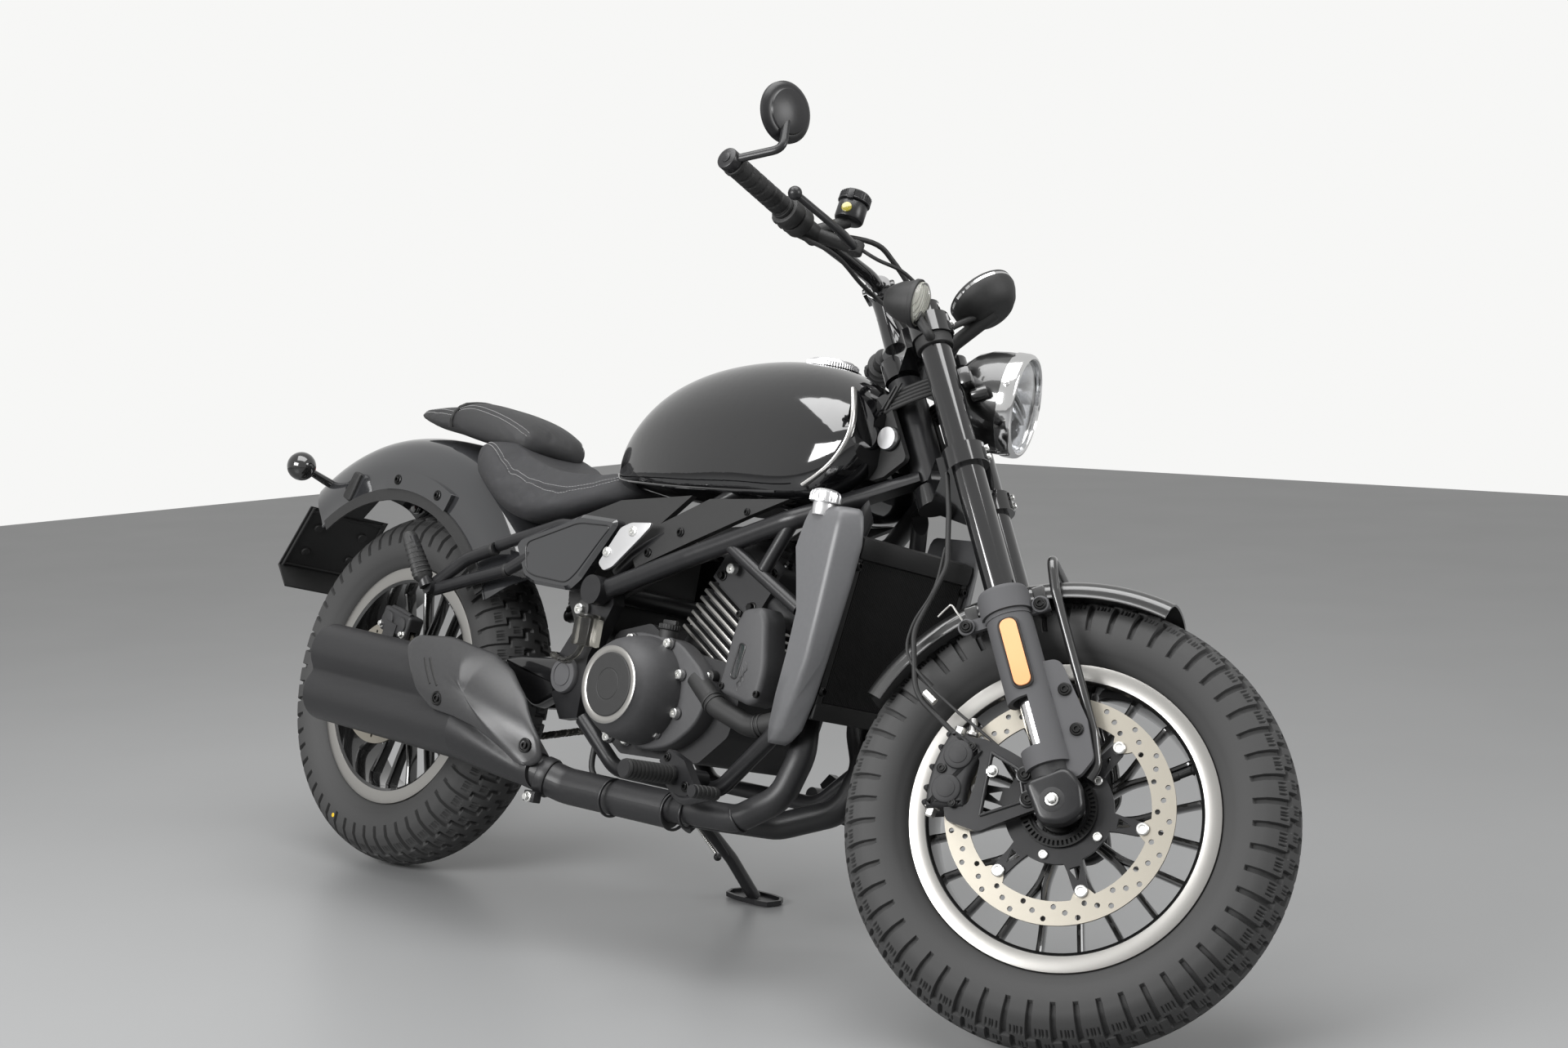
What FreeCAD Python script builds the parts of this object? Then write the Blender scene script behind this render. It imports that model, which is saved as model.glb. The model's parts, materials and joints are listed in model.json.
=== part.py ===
import FreeCAD, Part
import math
import os

Vector = FreeCAD.Vector
Rotation = FreeCAD.Rotation
Placement = FreeCAD.Placement

# A cruiser motorcycle, leaning on its side stand with the steering turned to its left stop.
# It is drawn upright and straight, x forward from the rear axle, y to the left, z up, in
# millimetres, and parked at the end. Steered pieces are drawn in the fork's own frame: x across
# the fork to the front, z up along the fork legs, from the front axle.

# Chassis sizes
WHEELBASE = 1485.0
RAKE = 30.0
TRAIL = 110.0
LEAN = 16.0
STEER_STOP = 27.35
RUNNING_FIT = 0.3
MOVING_GAP = 5.0
OVERRUN = 20.0

# Wheels
REAR_TYRE_RADIUS = 323.0
REAR_TYRE_WIDTH = 150.0
REAR_CROWN_RADIUS = 85.0
FRONT_TYRE_RADIUS = 320.0
FRONT_TYRE_WIDTH = 130.0
FRONT_CROWN_RADIUS = 75.0
BEAD_RADIUS = 203.0
RIM_LIP_RADIUS = 217.0
RIM_WALL = 13.0
REAR_RIM_WIDTH = 104.0
FRONT_RIM_WIDTH = 81.0
RIM_LIP_THICKNESS = 6.0
SPOKES = 10
SPOKE_WIDTH = 13.0
SPOKE_THICKNESS = 24.0
SPOKE_SPREAD = 11.0
SPOKE_FORK_SHARE = 0.42
HUB_RADIUS = 40.0
HUB_HALF_LENGTH = 62.0
AXLE_RADIUS = 10.0
AXLE_NUT_RADIUS = 14.0
AXLE_NUT_THICKNESS = 9.0
FRONT_DISC_RADIUS = 160.0
FRONT_DISC_BAND = 33.0
FRONT_DISC_OFFSET = 70.5
REAR_DISC_RADIUS = 112.0
REAR_DISC_BAND = 28.0
REAR_DISC_OFFSET = 86.0
DISC_THICKNESS = 4.5
DISC_ARMS = 5
DISC_ARM_WIDTH = 20.0
CARRIER_RING_RADIUS = 58.0

# Fork and bars
LEG_SPACING = 196.0
LEG_LEAD = 5.0
OUTER_TUBE_RADIUS = 23.0
INNER_TUBE_RADIUS = 17.5
FORK_LENGTH = 800.0
OUTER_TUBE_BOTTOM = 178.0
UPPER_YOKE_DROP = 58.0
UPPER_YOKE_THICKNESS = 34.0
LOWER_YOKE_DROP = 280.0
LOWER_YOKE_THICKNESS = 32.0
YOKE_WALL = 9.0
STEM_RADIUS = 15.0
HEAD_TUBE_WALL = 11.0
FORK_INNER_LIMIT = 78.0
SHROUD_RADIUS = 33.0
SHROUD_TOP = 312.0
SHROUD_COLLAR_RADIUS = 37.5
SHROUD_COLLAR_HEIGHT = 30.0
SHROUD_BOTTOM = 52.0
WINDOW_TOP = 152.0
WINDOW_BOTTOM = 80.0
FLANGE_THICKNESS = 8.0
FLANGE_DEPTH = 12.0
LUG_RADIUS = 27.0
LUG_TOP = 52.0
REFLECTOR_LENGTH = 100.0
REFLECTOR_WIDTH = 24.0
REFLECTOR_THICKNESS = 5.0
REFLECTOR_Z = 215.0
HOOP_RADIUS = 7.0
GUARD_THICKNESS = 3.0
FRONT_GUARD_RADIUS = 340.0
FRONT_GUARD_HALF_WIDTH = 76.0
FRONT_GUARD_SIDE_DROP = 34.0
FRONT_GUARD_FROM = 76.0
FRONT_GUARD_TO = 162.0
BAR_RADIUS = 11.0
BAR_CLAMP_RADIUS = 21.0
BAR_CLAMP_HALF = 25.0
PERCH_RADIUS = 16.0
GRIP_RADIUS = 17.0
GRIP_LENGTH = 125.0
BAR_HALF_WIDTH = 405.0
RISER_RADIUS = 19.0
HEADLAMP_RADIUS = 80.0
HEADLAMP_DEPTH = 92.0
HEADLAMP_RIM_DEPTH = 20.0
HEADLAMP_X = 88.0
HEADLAMP_DROP = 155.0
INSTRUMENT_RADIUS = 54.0
INSTRUMENT_DEPTH = 46.0
INSTRUMENT_X = 84.0
INSTRUMENT_RISE = 46.0
INSTRUMENT_TILT = 18.0
INDICATOR_RADIUS = 31.0
INDICATOR_DEPTH = 52.0
MIRROR_RADIUS = 45.0
MIRROR_DEPTH = 20.0
MIRROR_TURN = 30.0
MIRROR_ARM_RADIUS = 7.0

# Frame, engine and bodywork
FRAME_HALF_WIDTH = 130.0
MAIN_TUBE_RADIUS = 16.0
BRACE_TUBE_RADIUS = 11.0
CRADLE_TUBE_RADIUS = 13.0
TUBE_BEND = 60.0
PIVOT_RADIUS = 10.0
ARM_HEIGHT = 56.0
ARM_WIDTH = 26.0
ARM_INNER = 106.0
CHAIN_OFFSET = 91.0
CHAIN_WIDTH = 14.0
CHAIN_HEIGHT = 12.0
SPROCKET_RADIUS = 98.0
SPROCKET_THICKNESS = 6.0
SPROCKET_TEETH = 39
SPROCKET_TOOTH = [(0.0, 0.0), (0.3, 0.15), (0.42, 1.0), (0.58, 1.0), (0.7, 0.15)]
TOOTH_DEPTH = 7.0
SPROCKET_WINDOW_REACH = 58.0
SPROCKET_WINDOW_RADIUS = 11.0
DRIVE_SPROCKET_RADIUS = 36.0
ENGINE_HALF_WIDTH = 98.0
CYLINDER_LEAN = 30.0
CYLINDER_LENGTH = 122.0
CYLINDER_WIDTH = 158.0
FIN_COUNT = 7
FIN_PITCH = 14.0
FIN_THICKNESS = 6.0
FIN_DEPTH = 10.0
FINS_FROM = 38.0
HEAD_HEIGHT = 96.0
CLUTCH_RADIUS = 84.0
CLUTCH_OUTER = 205.0
CLUTCH_BASE = 130.0
CLUTCH_RING_RADIUS = 62.0
GENERATOR_OUTER = 175.0
RADIATOR_WIDTH = 256.0
RADIATOR_HEIGHT = 280.0
RADIATOR_THICKNESS = 34.0
RADIATOR_LEAN = 8.3
RADIATOR_TANK = 34.0
SHROUD_INNER = 130.0
SHROUD_OUTER = 166.0
RADIATOR_CAP_RADIUS = 24.0
RADIATOR_CAP_HEIGHT = 20.0
HOSE_RADIUS = 17.0
TANK_CAP_RADIUS = 42.0
TANK_CAP_HEIGHT = 14.0
REAR_GUARD_RADIUS = 465.0
REAR_GUARD_RIM_RADIUS = 346.0
REAR_GUARD_HALF_WIDTH = 128.0
REAR_GUARD_FROM = 30.0
REAR_GUARD_TO = 130.0
SIDE_PANEL_INNER = 128.0
SIDE_PANEL_OUTER = 150.0
MUFFLER_OFFSET = 208.0
MUFFLER_RADIUS = 49.0
MUFFLER_LOBE_GAP = 74.0
MUFFLER_LENGTH = 420.0
MUFFLER_CONE = 170.0
MUFFLER_SOCKET = 21.8
MUFFLER_RISE = 89.9
EXHAUST_RADIUS = 21.0
COLLECTOR_RADIUS = 29.0
SHIELD_STAND_OFF = 5.0
SHIELD_THICKNESS = 4.0
SHOCK_RADIUS = 30.0
PEG_RADIUS = 13.0
PEG_LENGTH = 100.0
STAND_RADIUS = 11.0
STAND_FOOT_THICKNESS = 8.0
STAND_PIVOT_RADIUS = 8.0

os.makedirs("parts", exist_ok=True)

# Places of the main pieces in shares along and up the chassis
PIVOT_SHARES = (0.3744, 0.2653)
DRIVE_SPROCKET_SHARES = (0.431, 0.2694)
CYLINDER_SHARES = (0.5286, 0.2963)
CLUTCH_SHARES = (0.4997, 0.264)
OIL_CAP_SHARES = (0.5118, 0.3219)
RADIATOR_SHARES = (0.7488, 0.3596)
TANK_CAP_SHARES = (0.6067, 0.6364)
PEG_SHARES = (0.6094, 0.1852)

# A share of 1 on the chassis and on the fork, and where each drawing may stretch
GUARD_RADIUS_SHARE = 0.313131
HEAD_SHARES = (0.7444, 0.571)
STRETCH_FROM_SHARE = 0.25
TYRE_RADIUS_SHARE = 0.4
FORK_STRETCH_FROM_SHARE = 0.45
FORK_STRETCH_TO_SHARE = 0.64

# Steering geometry that follows from the sizes above
RAKE_RAD = math.radians(RAKE)
AXIS_OFFSET = FRONT_TYRE_RADIUS * math.sin(RAKE_RAD) - TRAIL * math.cos(RAKE_RAD)
FORK_FRAME = Placement(Vector(WHEELBASE, 0, FRONT_TYRE_RADIUS), Rotation(Vector(0, 1, 0), -RAKE))
STEER_AXIS = FORK_FRAME.Rotation.multVec(Vector(0, 0, 1))
STEER_POINT = FORK_FRAME.multVec(Vector(-AXIS_OFFSET, 0, 0))
REAR_AXLE = Vector(0, 0, REAR_TYRE_RADIUS)
FRONT_AXLE = Vector(WHEELBASE, 0, FRONT_TYRE_RADIUS)
X_AXIS = Vector(1, 0, 0)
Y_AXIS = Vector(0, 1, 0)
Z_AXIS = Vector(0, 0, 1)
ORIGIN = Vector(0, 0, 0)
UPPER_YOKE_Z = FORK_LENGTH - UPPER_YOKE_DROP
LOWER_YOKE_Z = FORK_LENGTH - LOWER_YOKE_DROP
HEADLAMP_Z = FORK_LENGTH - HEADLAMP_DROP
INSTRUMENT_Z = FORK_LENGTH + INSTRUMENT_RISE
HEAD_TUBE_BOTTOM = LOWER_YOKE_Z + LOWER_YOKE_THICKNESS + MOVING_GAP
HEAD_TUBE_TOP = UPPER_YOKE_Z - MOVING_GAP
CHASSIS_UNIT = REAR_GUARD_RADIUS / GUARD_RADIUS_SHARE
FORK_UNIT = FRONT_TYRE_RADIUS / TYRE_RADIUS_SHARE
HEAD_MIDDLE = FORK_FRAME.multVec(Vector(-AXIS_OFFSET, 0, (HEAD_TUBE_BOTTOM + HEAD_TUBE_TOP) / 2))
HEAD_SHIFT = HEAD_MIDDLE - Vector(HEAD_SHARES[0], 0, HEAD_SHARES[1]) * CHASSIS_UNIT


# Drawing helpers

ARC_REACH_SHARE = 0.45
SMALLEST_BEND = 0.01


def stretch(share, start, end):
    return min(1.0, max(0.0, (share - start) / (end - start)))


def chassis(shares):
    """A point in the middle plane from its shares along and up the chassis.

    The drawing keeps to the rear wheel at the back and to the steering head at the front, and
    stretches between them.
    """
    along, up = shares
    moved_share = stretch(along, STRETCH_FROM_SHARE, HEAD_SHARES[0])
    return Vector(along, 0, up) * CHASSIS_UNIT + HEAD_SHIFT * moved_share


def place(shares):
    """A point of the chassis from shares along, of the frame's half width, and up."""
    return chassis((shares[0], shares[2])) + Y_AXIS * shares[1] * FRAME_HALF_WIDTH


def places(table):
    return [place(shares) for shares in table]


def fork_place(shares):
    """A point in the fork's frame. What stands above the guard moves with the fork's length."""
    moved_share = stretch(shares[2], FORK_STRETCH_FROM_SHARE, FORK_STRETCH_TO_SHARE)
    rise = shares[2] * FORK_UNIT + moved_share * (FORK_LENGTH - FORK_UNIT)
    return Vector(shares[0] * FORK_UNIT, shares[1] * BAR_HALF_WIDTH, rise)


def flat_outline(table, y):
    """Corner points in a plane across y, from shares along and up the chassis."""
    return [chassis(share) + Y_AXIS * y for share in table]


def fork_outline(table, y):
    return [Vector(share[0] * FORK_UNIT, y, share[1] * FORK_UNIT) for share in table]


def mirrored(shape):
    return shape.mirror(ORIGIN, Y_AXIS)


def both(shape):
    """The piece and its mirror image as one compound of two solids."""
    return Part.makeCompound([shape, mirrored(shape)])


def joined(shapes):
    body = shapes[0]
    if len(shapes) > 1:
        body = body.fuse(shapes[1:])
    return body.removeSplitter()


def without(shape, tools):
    return shape.cut(tools)


def cylinder(radius, start, end):
    return Part.makeCylinder(radius, (end - start).Length, start, end - start)


def cone(radius_start, radius_end, start, end):
    return Part.makeCone(radius_start, radius_end, (end - start).Length, start, end - start)


def rounded_edges(points, radius, closed):
    """Straight runs joined by tangent arcs, each arc limited by its two runs."""
    count = len(points)
    corners = {}
    inner = range(count) if closed else range(1, count - 1)
    for index in inner:
        before = points[index - 1] - points[index]
        after = points[(index + 1) % count] - points[index]
        run = ARC_REACH_SHARE * min(before.Length, after.Length)
        before.normalize()
        after.normalize()
        turn = math.pi - before.getAngle(after)
        if turn < SMALLEST_BEND:
            continue
        reach = min(radius * math.tan(turn / 2), run)
        start = points[index] + before * reach
        end = points[index] + after * reach
        bisector = before + after
        bisector.normalize()
        arc_radius = reach / math.tan(turn / 2)
        depth = arc_radius / math.cos(turn / 2) - arc_radius
        corners[index] = (start, points[index] + bisector * depth, end)
    edges = []
    steps = range(count) if closed else range(count - 1)
    for index in steps:
        following = (index + 1) % count
        start = corners[index][2] if index in corners else points[index]
        end = corners[following][0] if following in corners else points[following]
        edges.append(Part.makeLine(start, end))
        if following in corners and (closed or following < count - 1):
            edges.append(Part.Arc(*corners[following]).toShape())
    return edges


def rod(points, radius, bend=TUBE_BEND):
    """A round bar along straight runs joined by tangent arcs."""
    path = Part.Wire(rounded_edges(points, bend, False))
    ring = Part.Wire(Part.makeCircle(radius, points[0], points[1] - points[0]))
    return path.makePipeShell([ring], True, False)


def plate(points, thickness_vector, corner=0.0):
    """A flat outline, with round corners where asked, pushed out to a plate."""
    if corner > 0:
        wire = Part.Wire(rounded_edges(points, corner, True))
    else:
        wire = Part.makePolygon(points + [points[0]])
    return Part.Face(wire).extrude(thickness_vector)


def side_plate(table, inner, outer, corner=0.0):
    """A right-hand side plate between two distances from the middle."""
    return plate(flat_outline(table, -inner), Vector(0, inner - outer, 0), corner)


def turned(profile, start, axis):
    """A closed outline of (radius, length) points turned about an axis through start."""
    points = [Vector(radius, 0, length) for radius, length in profile]
    solid = Part.Face(Part.makePolygon(points + [points[0]])).revolve(ORIGIN, Z_AXIS, 360)
    solid.Placement = Placement(start, Rotation(Z_AXIS, axis))
    return solid


def scaled(shares, radius, length):
    """An outline for turning, from shares of its radius and length."""
    return [(radius * out, length * along) for out, along in shares]


def smooth_ring(points):
    curve = Part.BSplineCurve()
    curve.interpolate(Points=points, PeriodicFlag=True)
    return Part.Wire(curve.toShape())


def lofted(rings):
    return Part.makeLoft(rings, True, False)


def block(x_from, x_to, y_from, y_to, z_from, z_to):
    return Part.makeBox(x_to - x_from, y_to - y_from, z_to - z_from, Vector(x_from, y_from, z_from))


# Wheels, drawn about the axle at the origin with the axle along y

TYRE_SHOULDER = 50.0
BULGE_SHARE = 0.52


def tyre(radius, width, crown, rim_width):
    half = width / 2
    lip = rim_width / 2 - RIM_LIP_THICKNESS
    angle = math.radians(TYRE_SHOULDER)
    shoulder_y = crown * math.sin(angle)
    shoulder_r = radius - crown * (1 - math.cos(angle))
    bulge_r = RIM_LIP_RADIUS + (shoulder_r - RIM_LIP_RADIUS) * BULGE_SHARE
    top = Part.Arc(Vector(shoulder_r, shoulder_y, 0), Vector(radius, 0, 0),
                   Vector(shoulder_r, -shoulder_y, 0)).toShape()
    right = Part.Arc(Vector(shoulder_r, -shoulder_y, 0), Vector(bulge_r, -half, 0),
                     Vector(RIM_LIP_RADIUS, -lip, 0)).toShape()
    left = Part.Arc(Vector(RIM_LIP_RADIUS, lip, 0), Vector(bulge_r, half, 0),
                    Vector(shoulder_r, shoulder_y, 0)).toShape()
    seat = [Vector(RIM_LIP_RADIUS, -lip, 0), Vector(BEAD_RADIUS, -lip, 0),
            Vector(BEAD_RADIUS, lip, 0), Vector(RIM_LIP_RADIUS, lip, 0)]
    bead = [Part.makeLine(seat[i], seat[i + 1]) for i in range(3)]
    wire = Part.Wire(Part.__sortEdges__([top, right] + bead + [left]))
    return Part.Face(wire).revolve(ORIGIN, Y_AXIS, 360)


def spoke(hub_reach, barrel_reach):
    """One Y-shaped spoke standing up from the hub, its thickness along y."""
    half = SPOKE_WIDTH / 2
    fork_z = hub_reach + (barrel_reach - hub_reach) * SPOKE_FORK_SHARE
    spread = math.radians(SPOKE_SPREAD)
    tip_x = barrel_reach * math.sin(spread)
    tip_z = barrel_reach * math.cos(spread)
    outline = [Vector(-half, 0, hub_reach), Vector(half, 0, hub_reach), Vector(half, 0, fork_z),
               Vector(tip_x + half, 0, tip_z), Vector(tip_x - half, 0, tip_z),
               Vector(0, 0, fork_z + SPOKE_WIDTH * 2),
               Vector(-tip_x + half, 0, tip_z), Vector(-tip_x - half, 0, tip_z),
               Vector(-half, 0, fork_z)]
    return plate([point - Vector(0, SPOKE_THICKNESS / 2, 0) for point in outline],
                 Vector(0, SPOKE_THICKNESS, 0))


def rim(rim_width):
    half = rim_width / 2
    lip = half - RIM_LIP_THICKNESS
    inner = BEAD_RADIUS - RIM_WALL
    profile = [(inner, -half), (RIM_LIP_RADIUS, -half), (RIM_LIP_RADIUS, -lip), (BEAD_RADIUS, -lip),
               (BEAD_RADIUS, lip), (RIM_LIP_RADIUS, lip), (RIM_LIP_RADIUS, half), (inner, half)]
    barrel = turned(profile, ORIGIN, Y_AXIS)
    hub = cylinder(HUB_RADIUS, Vector(0, -HUB_HALF_LENGTH, 0), Vector(0, HUB_HALF_LENGTH, 0))
    parts = [barrel, hub]
    for index in range(SPOKES):
        arm = spoke(HUB_RADIUS - RIM_LIP_THICKNESS, inner + RIM_WALL / 2)
        arm.rotate(ORIGIN, Y_AXIS, 360.0 * index / SPOKES)
        parts.append(arm)
    wheel = joined(parts)
    bore = AXLE_RADIUS + RUNNING_FIT
    return without(wheel, [cylinder(bore, Vector(0, -half * 2, 0), Vector(0, half * 2, 0))])


def brake_disc(radius, band, offset):
    """A disc on a spoked carrier that stands on the hub's right-hand face."""
    y_mid = -offset
    half = DISC_THICKNESS / 2
    outer_y = Vector(0, y_mid - half, 0)
    inner_y = Vector(0, y_mid + half, 0)
    ring = cylinder(radius, outer_y, inner_y).cut(cylinder(radius - band, outer_y, inner_y))
    carrier_from = Vector(0, y_mid - half, 0)
    carrier_to = Vector(0, -HUB_HALF_LENGTH, 0)
    centre = cylinder(CARRIER_RING_RADIUS, carrier_from, carrier_to)
    pieces = [ring, centre]
    for index in range(DISC_ARMS):
        arm = block(-DISC_ARM_WIDTH / 2, DISC_ARM_WIDTH / 2, y_mid - half, y_mid + half,
                    CARRIER_RING_RADIUS - DISC_THICKNESS, radius - band + DISC_THICKNESS)
        arm.rotate(ORIGIN, Y_AXIS, 360.0 * index / DISC_ARMS)
        pieces.append(arm)
    bore = AXLE_RADIUS + RUNNING_FIT
    return without(joined(pieces), [cylinder(bore, Vector(0, -2 * offset, 0), ORIGIN)])


def sprocket():
    half = SPROCKET_THICKNESS / 2
    start = Vector(0, CHAIN_OFFSET - half, 0)
    end = Vector(0, CHAIN_OFFSET + half, 0)
    tip = SPROCKET_RADIUS - CHAIN_HEIGHT / 2 - MOVING_GAP
    outline = []
    for index in range(SPROCKET_TEETH):
        for share, reach in SPROCKET_TOOTH:
            turn = 2 * math.pi * (index + share) / SPROCKET_TEETH
            outline.append(start + Vector(math.cos(turn), 0, math.sin(turn)) * (tip - TOOTH_DEPTH * (1 - reach)))
    toothed = plate(outline, end - start)
    windows = []
    for index in range(DISC_ARMS):
        turn = 2 * math.pi * index / DISC_ARMS
        at = start + Vector(math.cos(turn), 0, math.sin(turn)) * SPROCKET_WINDOW_REACH
        windows.append(cylinder(SPROCKET_WINDOW_RADIUS, at, at + end - start))
    boss = cylinder(HUB_RADIUS, Vector(0, HUB_HALF_LENGTH, 0), start)
    bore = AXLE_RADIUS + RUNNING_FIT
    return without(joined([toothed, boss]), [cylinder(bore, ORIGIN, end)] + windows)


# Frame

MAIN_TUBE_SHARES = [(0.412, -1.077, 0.362), (0.539, -1.046, 0.411), (0.663, -0.908, 0.461),
                    (0.772, -0.154, 0.521)]
UPPER_TUBE_SHARES = [(0.419, -0.938, 0.385), (0.441, -0.923, 0.407), (0.562, -0.862, 0.479),
                     (0.646, -0.477, 0.539), (0.731, -0.169, 0.606)]
BRACE_A_SHARES = [(0.585, -1.0, 0.431), (0.634, -0.938, 0.404), (0.694, -0.862, 0.372)]
BRACE_B_SHARES = [(0.667, -0.892, 0.463), (0.64, -0.923, 0.407)]
CRADLE_SHARES = [(0.735, -0.415, 0.5), (0.719, -0.754, 0.377), (0.7, -0.954, 0.246),
                 (0.626, -0.862, 0.176), (0.465, -0.846, 0.176), (0.404, -0.908, 0.222)]
SUBFRAME_SHARES = [(0.407, -0.938, 0.431), (0.316, -0.985, 0.431), (0.222, -1.085, 0.399)]
SUBFRAME_LINK_SHARES = (0.29, -1.062, 0.397)
HANGER_UPPER_SHARES = [(0.222, -1.138, 0.394), (0.176, -1.154, 0.378), (0.132, -1.215, 0.345)]
HANGER_LOWER_SHARES = [(0.251, -1.123, 0.372), (0.195, -1.138, 0.357), (0.132, -1.215, 0.337)]
PIVOT_PLATE_SHARES = [(0.394, 0.377), (0.423, 0.377), (0.431, 0.35), (0.405, 0.29), (0.405, 0.222),
                      (0.377, 0.217), (0.357, 0.242), (0.354, 0.283), (0.374, 0.316)]
PIVOT_PLATE_INNER = 110.0
PIVOT_PLATE_OUTER = 134.0
END_CAP_RADIUS = 24.0
END_CAP_THICKNESS = 8.0


def on_fork(shape):
    """Sets a piece drawn in the fork's frame on the motorcycle."""
    placed = shape.copy()
    placed.Placement = FORK_FRAME.multiply(placed.Placement)
    return placed


def head_axis_point(height):
    return Vector(-AXIS_OFFSET, 0, height)


def frame_head():
    outer = STEM_RADIUS + RUNNING_FIT + HEAD_TUBE_WALL
    return on_fork(cylinder(outer, head_axis_point(HEAD_TUBE_BOTTOM), head_axis_point(HEAD_TUBE_TOP)))


def stem_space():
    """The steering stem's bore and the room of the yokes above and below the head tube."""
    reach = LEG_SPACING / 2
    bore = cylinder(STEM_RADIUS + RUNNING_FIT, head_axis_point(HEAD_TUBE_BOTTOM - OVERRUN),
                    head_axis_point(HEAD_TUBE_TOP + OVERRUN))
    below = cylinder(reach, head_axis_point(LOWER_YOKE_Z - MOVING_GAP), head_axis_point(HEAD_TUBE_BOTTOM))
    above = cylinder(reach, head_axis_point(HEAD_TUBE_TOP),
                     head_axis_point(UPPER_YOKE_Z + UPPER_YOKE_THICKNESS + MOVING_GAP))
    return on_fork(joined([bore, below, above]))


def side_tubes(table, radius, bend=TUBE_BEND):
    return rod(places(table), radius, bend)


def frame_tubes():
    main = side_tubes(MAIN_TUBE_SHARES, MAIN_TUBE_RADIUS)
    cap_at = place(MAIN_TUBE_SHARES[0])
    cap_out = cap_at - Vector(0, MAIN_TUBE_RADIUS + END_CAP_THICKNESS, 0)
    cap = cylinder(END_CAP_RADIUS, cap_at, cap_out)
    upper = side_tubes(UPPER_TUBE_SHARES, BRACE_TUBE_RADIUS)
    brace_a = side_tubes(BRACE_A_SHARES, BRACE_TUBE_RADIUS)
    brace_b = side_tubes(BRACE_B_SHARES, BRACE_TUBE_RADIUS)
    side = joined([main, cap, upper, brace_a, brace_b])
    cross_at = place(MAIN_TUBE_SHARES[0])
    cross = cylinder(MAIN_TUBE_RADIUS, cross_at, Vector(cross_at.x, -cross_at.y, cross_at.z))
    return joined([side, mirrored(side), cross])


def frame_cradle():
    tube = side_tubes(CRADLE_SHARES, CRADLE_TUBE_RADIUS)
    pivot_plate = side_plate(PIVOT_PLATE_SHARES, PIVOT_PLATE_INNER, PIVOT_PLATE_OUTER)
    side = joined([tube, pivot_plate])
    low = place(CRADLE_SHARES[-1])
    cross = cylinder(CRADLE_TUBE_RADIUS, low, Vector(low.x, -low.y, low.z))
    across = Y_AXIS * PIVOT_PLATE_OUTER
    pivot = cylinder(PIVOT_RADIUS, chassis(PIVOT_SHARES) - across, chassis(PIVOT_SHARES) + across)
    return joined([side, mirrored(side), cross, pivot])


def rear_subframe():
    rail = side_tubes(SUBFRAME_SHARES, BRACE_TUBE_RADIUS)
    upper = side_tubes(HANGER_UPPER_SHARES, BRACE_TUBE_RADIUS)
    lower = side_tubes(HANGER_LOWER_SHARES, BRACE_TUBE_RADIUS)
    link_low = rod([place(HANGER_LOWER_SHARES[0]), place(SUBFRAME_LINK_SHARES), place(SUBFRAME_SHARES[1])],
                   BRACE_TUBE_RADIUS)
    side = joined([rail, upper, lower, link_low])
    middle = place(SUBFRAME_SHARES[1])
    cross = cylinder(BRACE_TUBE_RADIUS, middle, Vector(middle.x, -middle.y, middle.z))
    return joined([side, mirrored(side), cross])


# Engine

CRANKCASE_SHARES = [(0.408, 0.222), (0.404, 0.283), (0.419, 0.323), (0.471, 0.337), (0.512, 0.316),
                    (0.606, 0.306), (0.623, 0.269), (0.616, 0.232), (0.579, 0.199), (0.458, 0.193)]
CRANKCASE_CORNER = 20.0
CLUTCH_COVER_SHARES = [(0.431, 0.251), (0.43, 0.29), (0.465, 0.326), (0.539, 0.323), (0.585, 0.294),
                       (0.598, 0.267), (0.587, 0.237), (0.554, 0.21), (0.512, 0.201),
                       (0.465, 0.214)]
CLUTCH_FLANGE = 22.0
OIL_CAP_RADIUS = 17.0
OIL_CAP_LENGTH = 24.0
FRONT_COVER_SHARES = [(0.623, 0.337), (0.63, 0.364), (0.659, 0.369), (0.668, 0.357), (0.679, 0.306),
                      (0.675, 0.273), (0.663, 0.267), (0.616, 0.277)]
FRONT_COVER_INNER = 96.0
FRONT_COVER_OUTER = 140.0
GENERATOR_COVER_SHARES = [(0.465, 0.222), (0.444, 0.256), (0.453, 0.303), (0.498, 0.325),
                          (0.552, 0.311), (0.572, 0.269), (0.559, 0.226), (0.512, 0.202)]
SPROCKET_COVER_SHARES = [(0.377, 0.237), (0.377, 0.296), (0.404, 0.311), (0.441, 0.308),
                         (0.441, 0.236), (0.418, 0.226)]
SPROCKET_COVER_INNER = 106.0
SPROCKET_COVER_OUTER = 138.0


def crankcase():
    outline = flat_outline(CRANKCASE_SHARES, -ENGINE_HALF_WIDTH)
    case = plate(outline, Vector(0, 2 * ENGINE_HALF_WIDTH, 0), CRANKCASE_CORNER)
    return case.cut(chain_outline(CHAIN_HEIGHT).cut(chain_outline(-CHAIN_HEIGHT / 2)))


def cylinder_frame():
    return Placement(chassis(CYLINDER_SHARES), Rotation(Y_AXIS, CYLINDER_LEAN))


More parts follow.
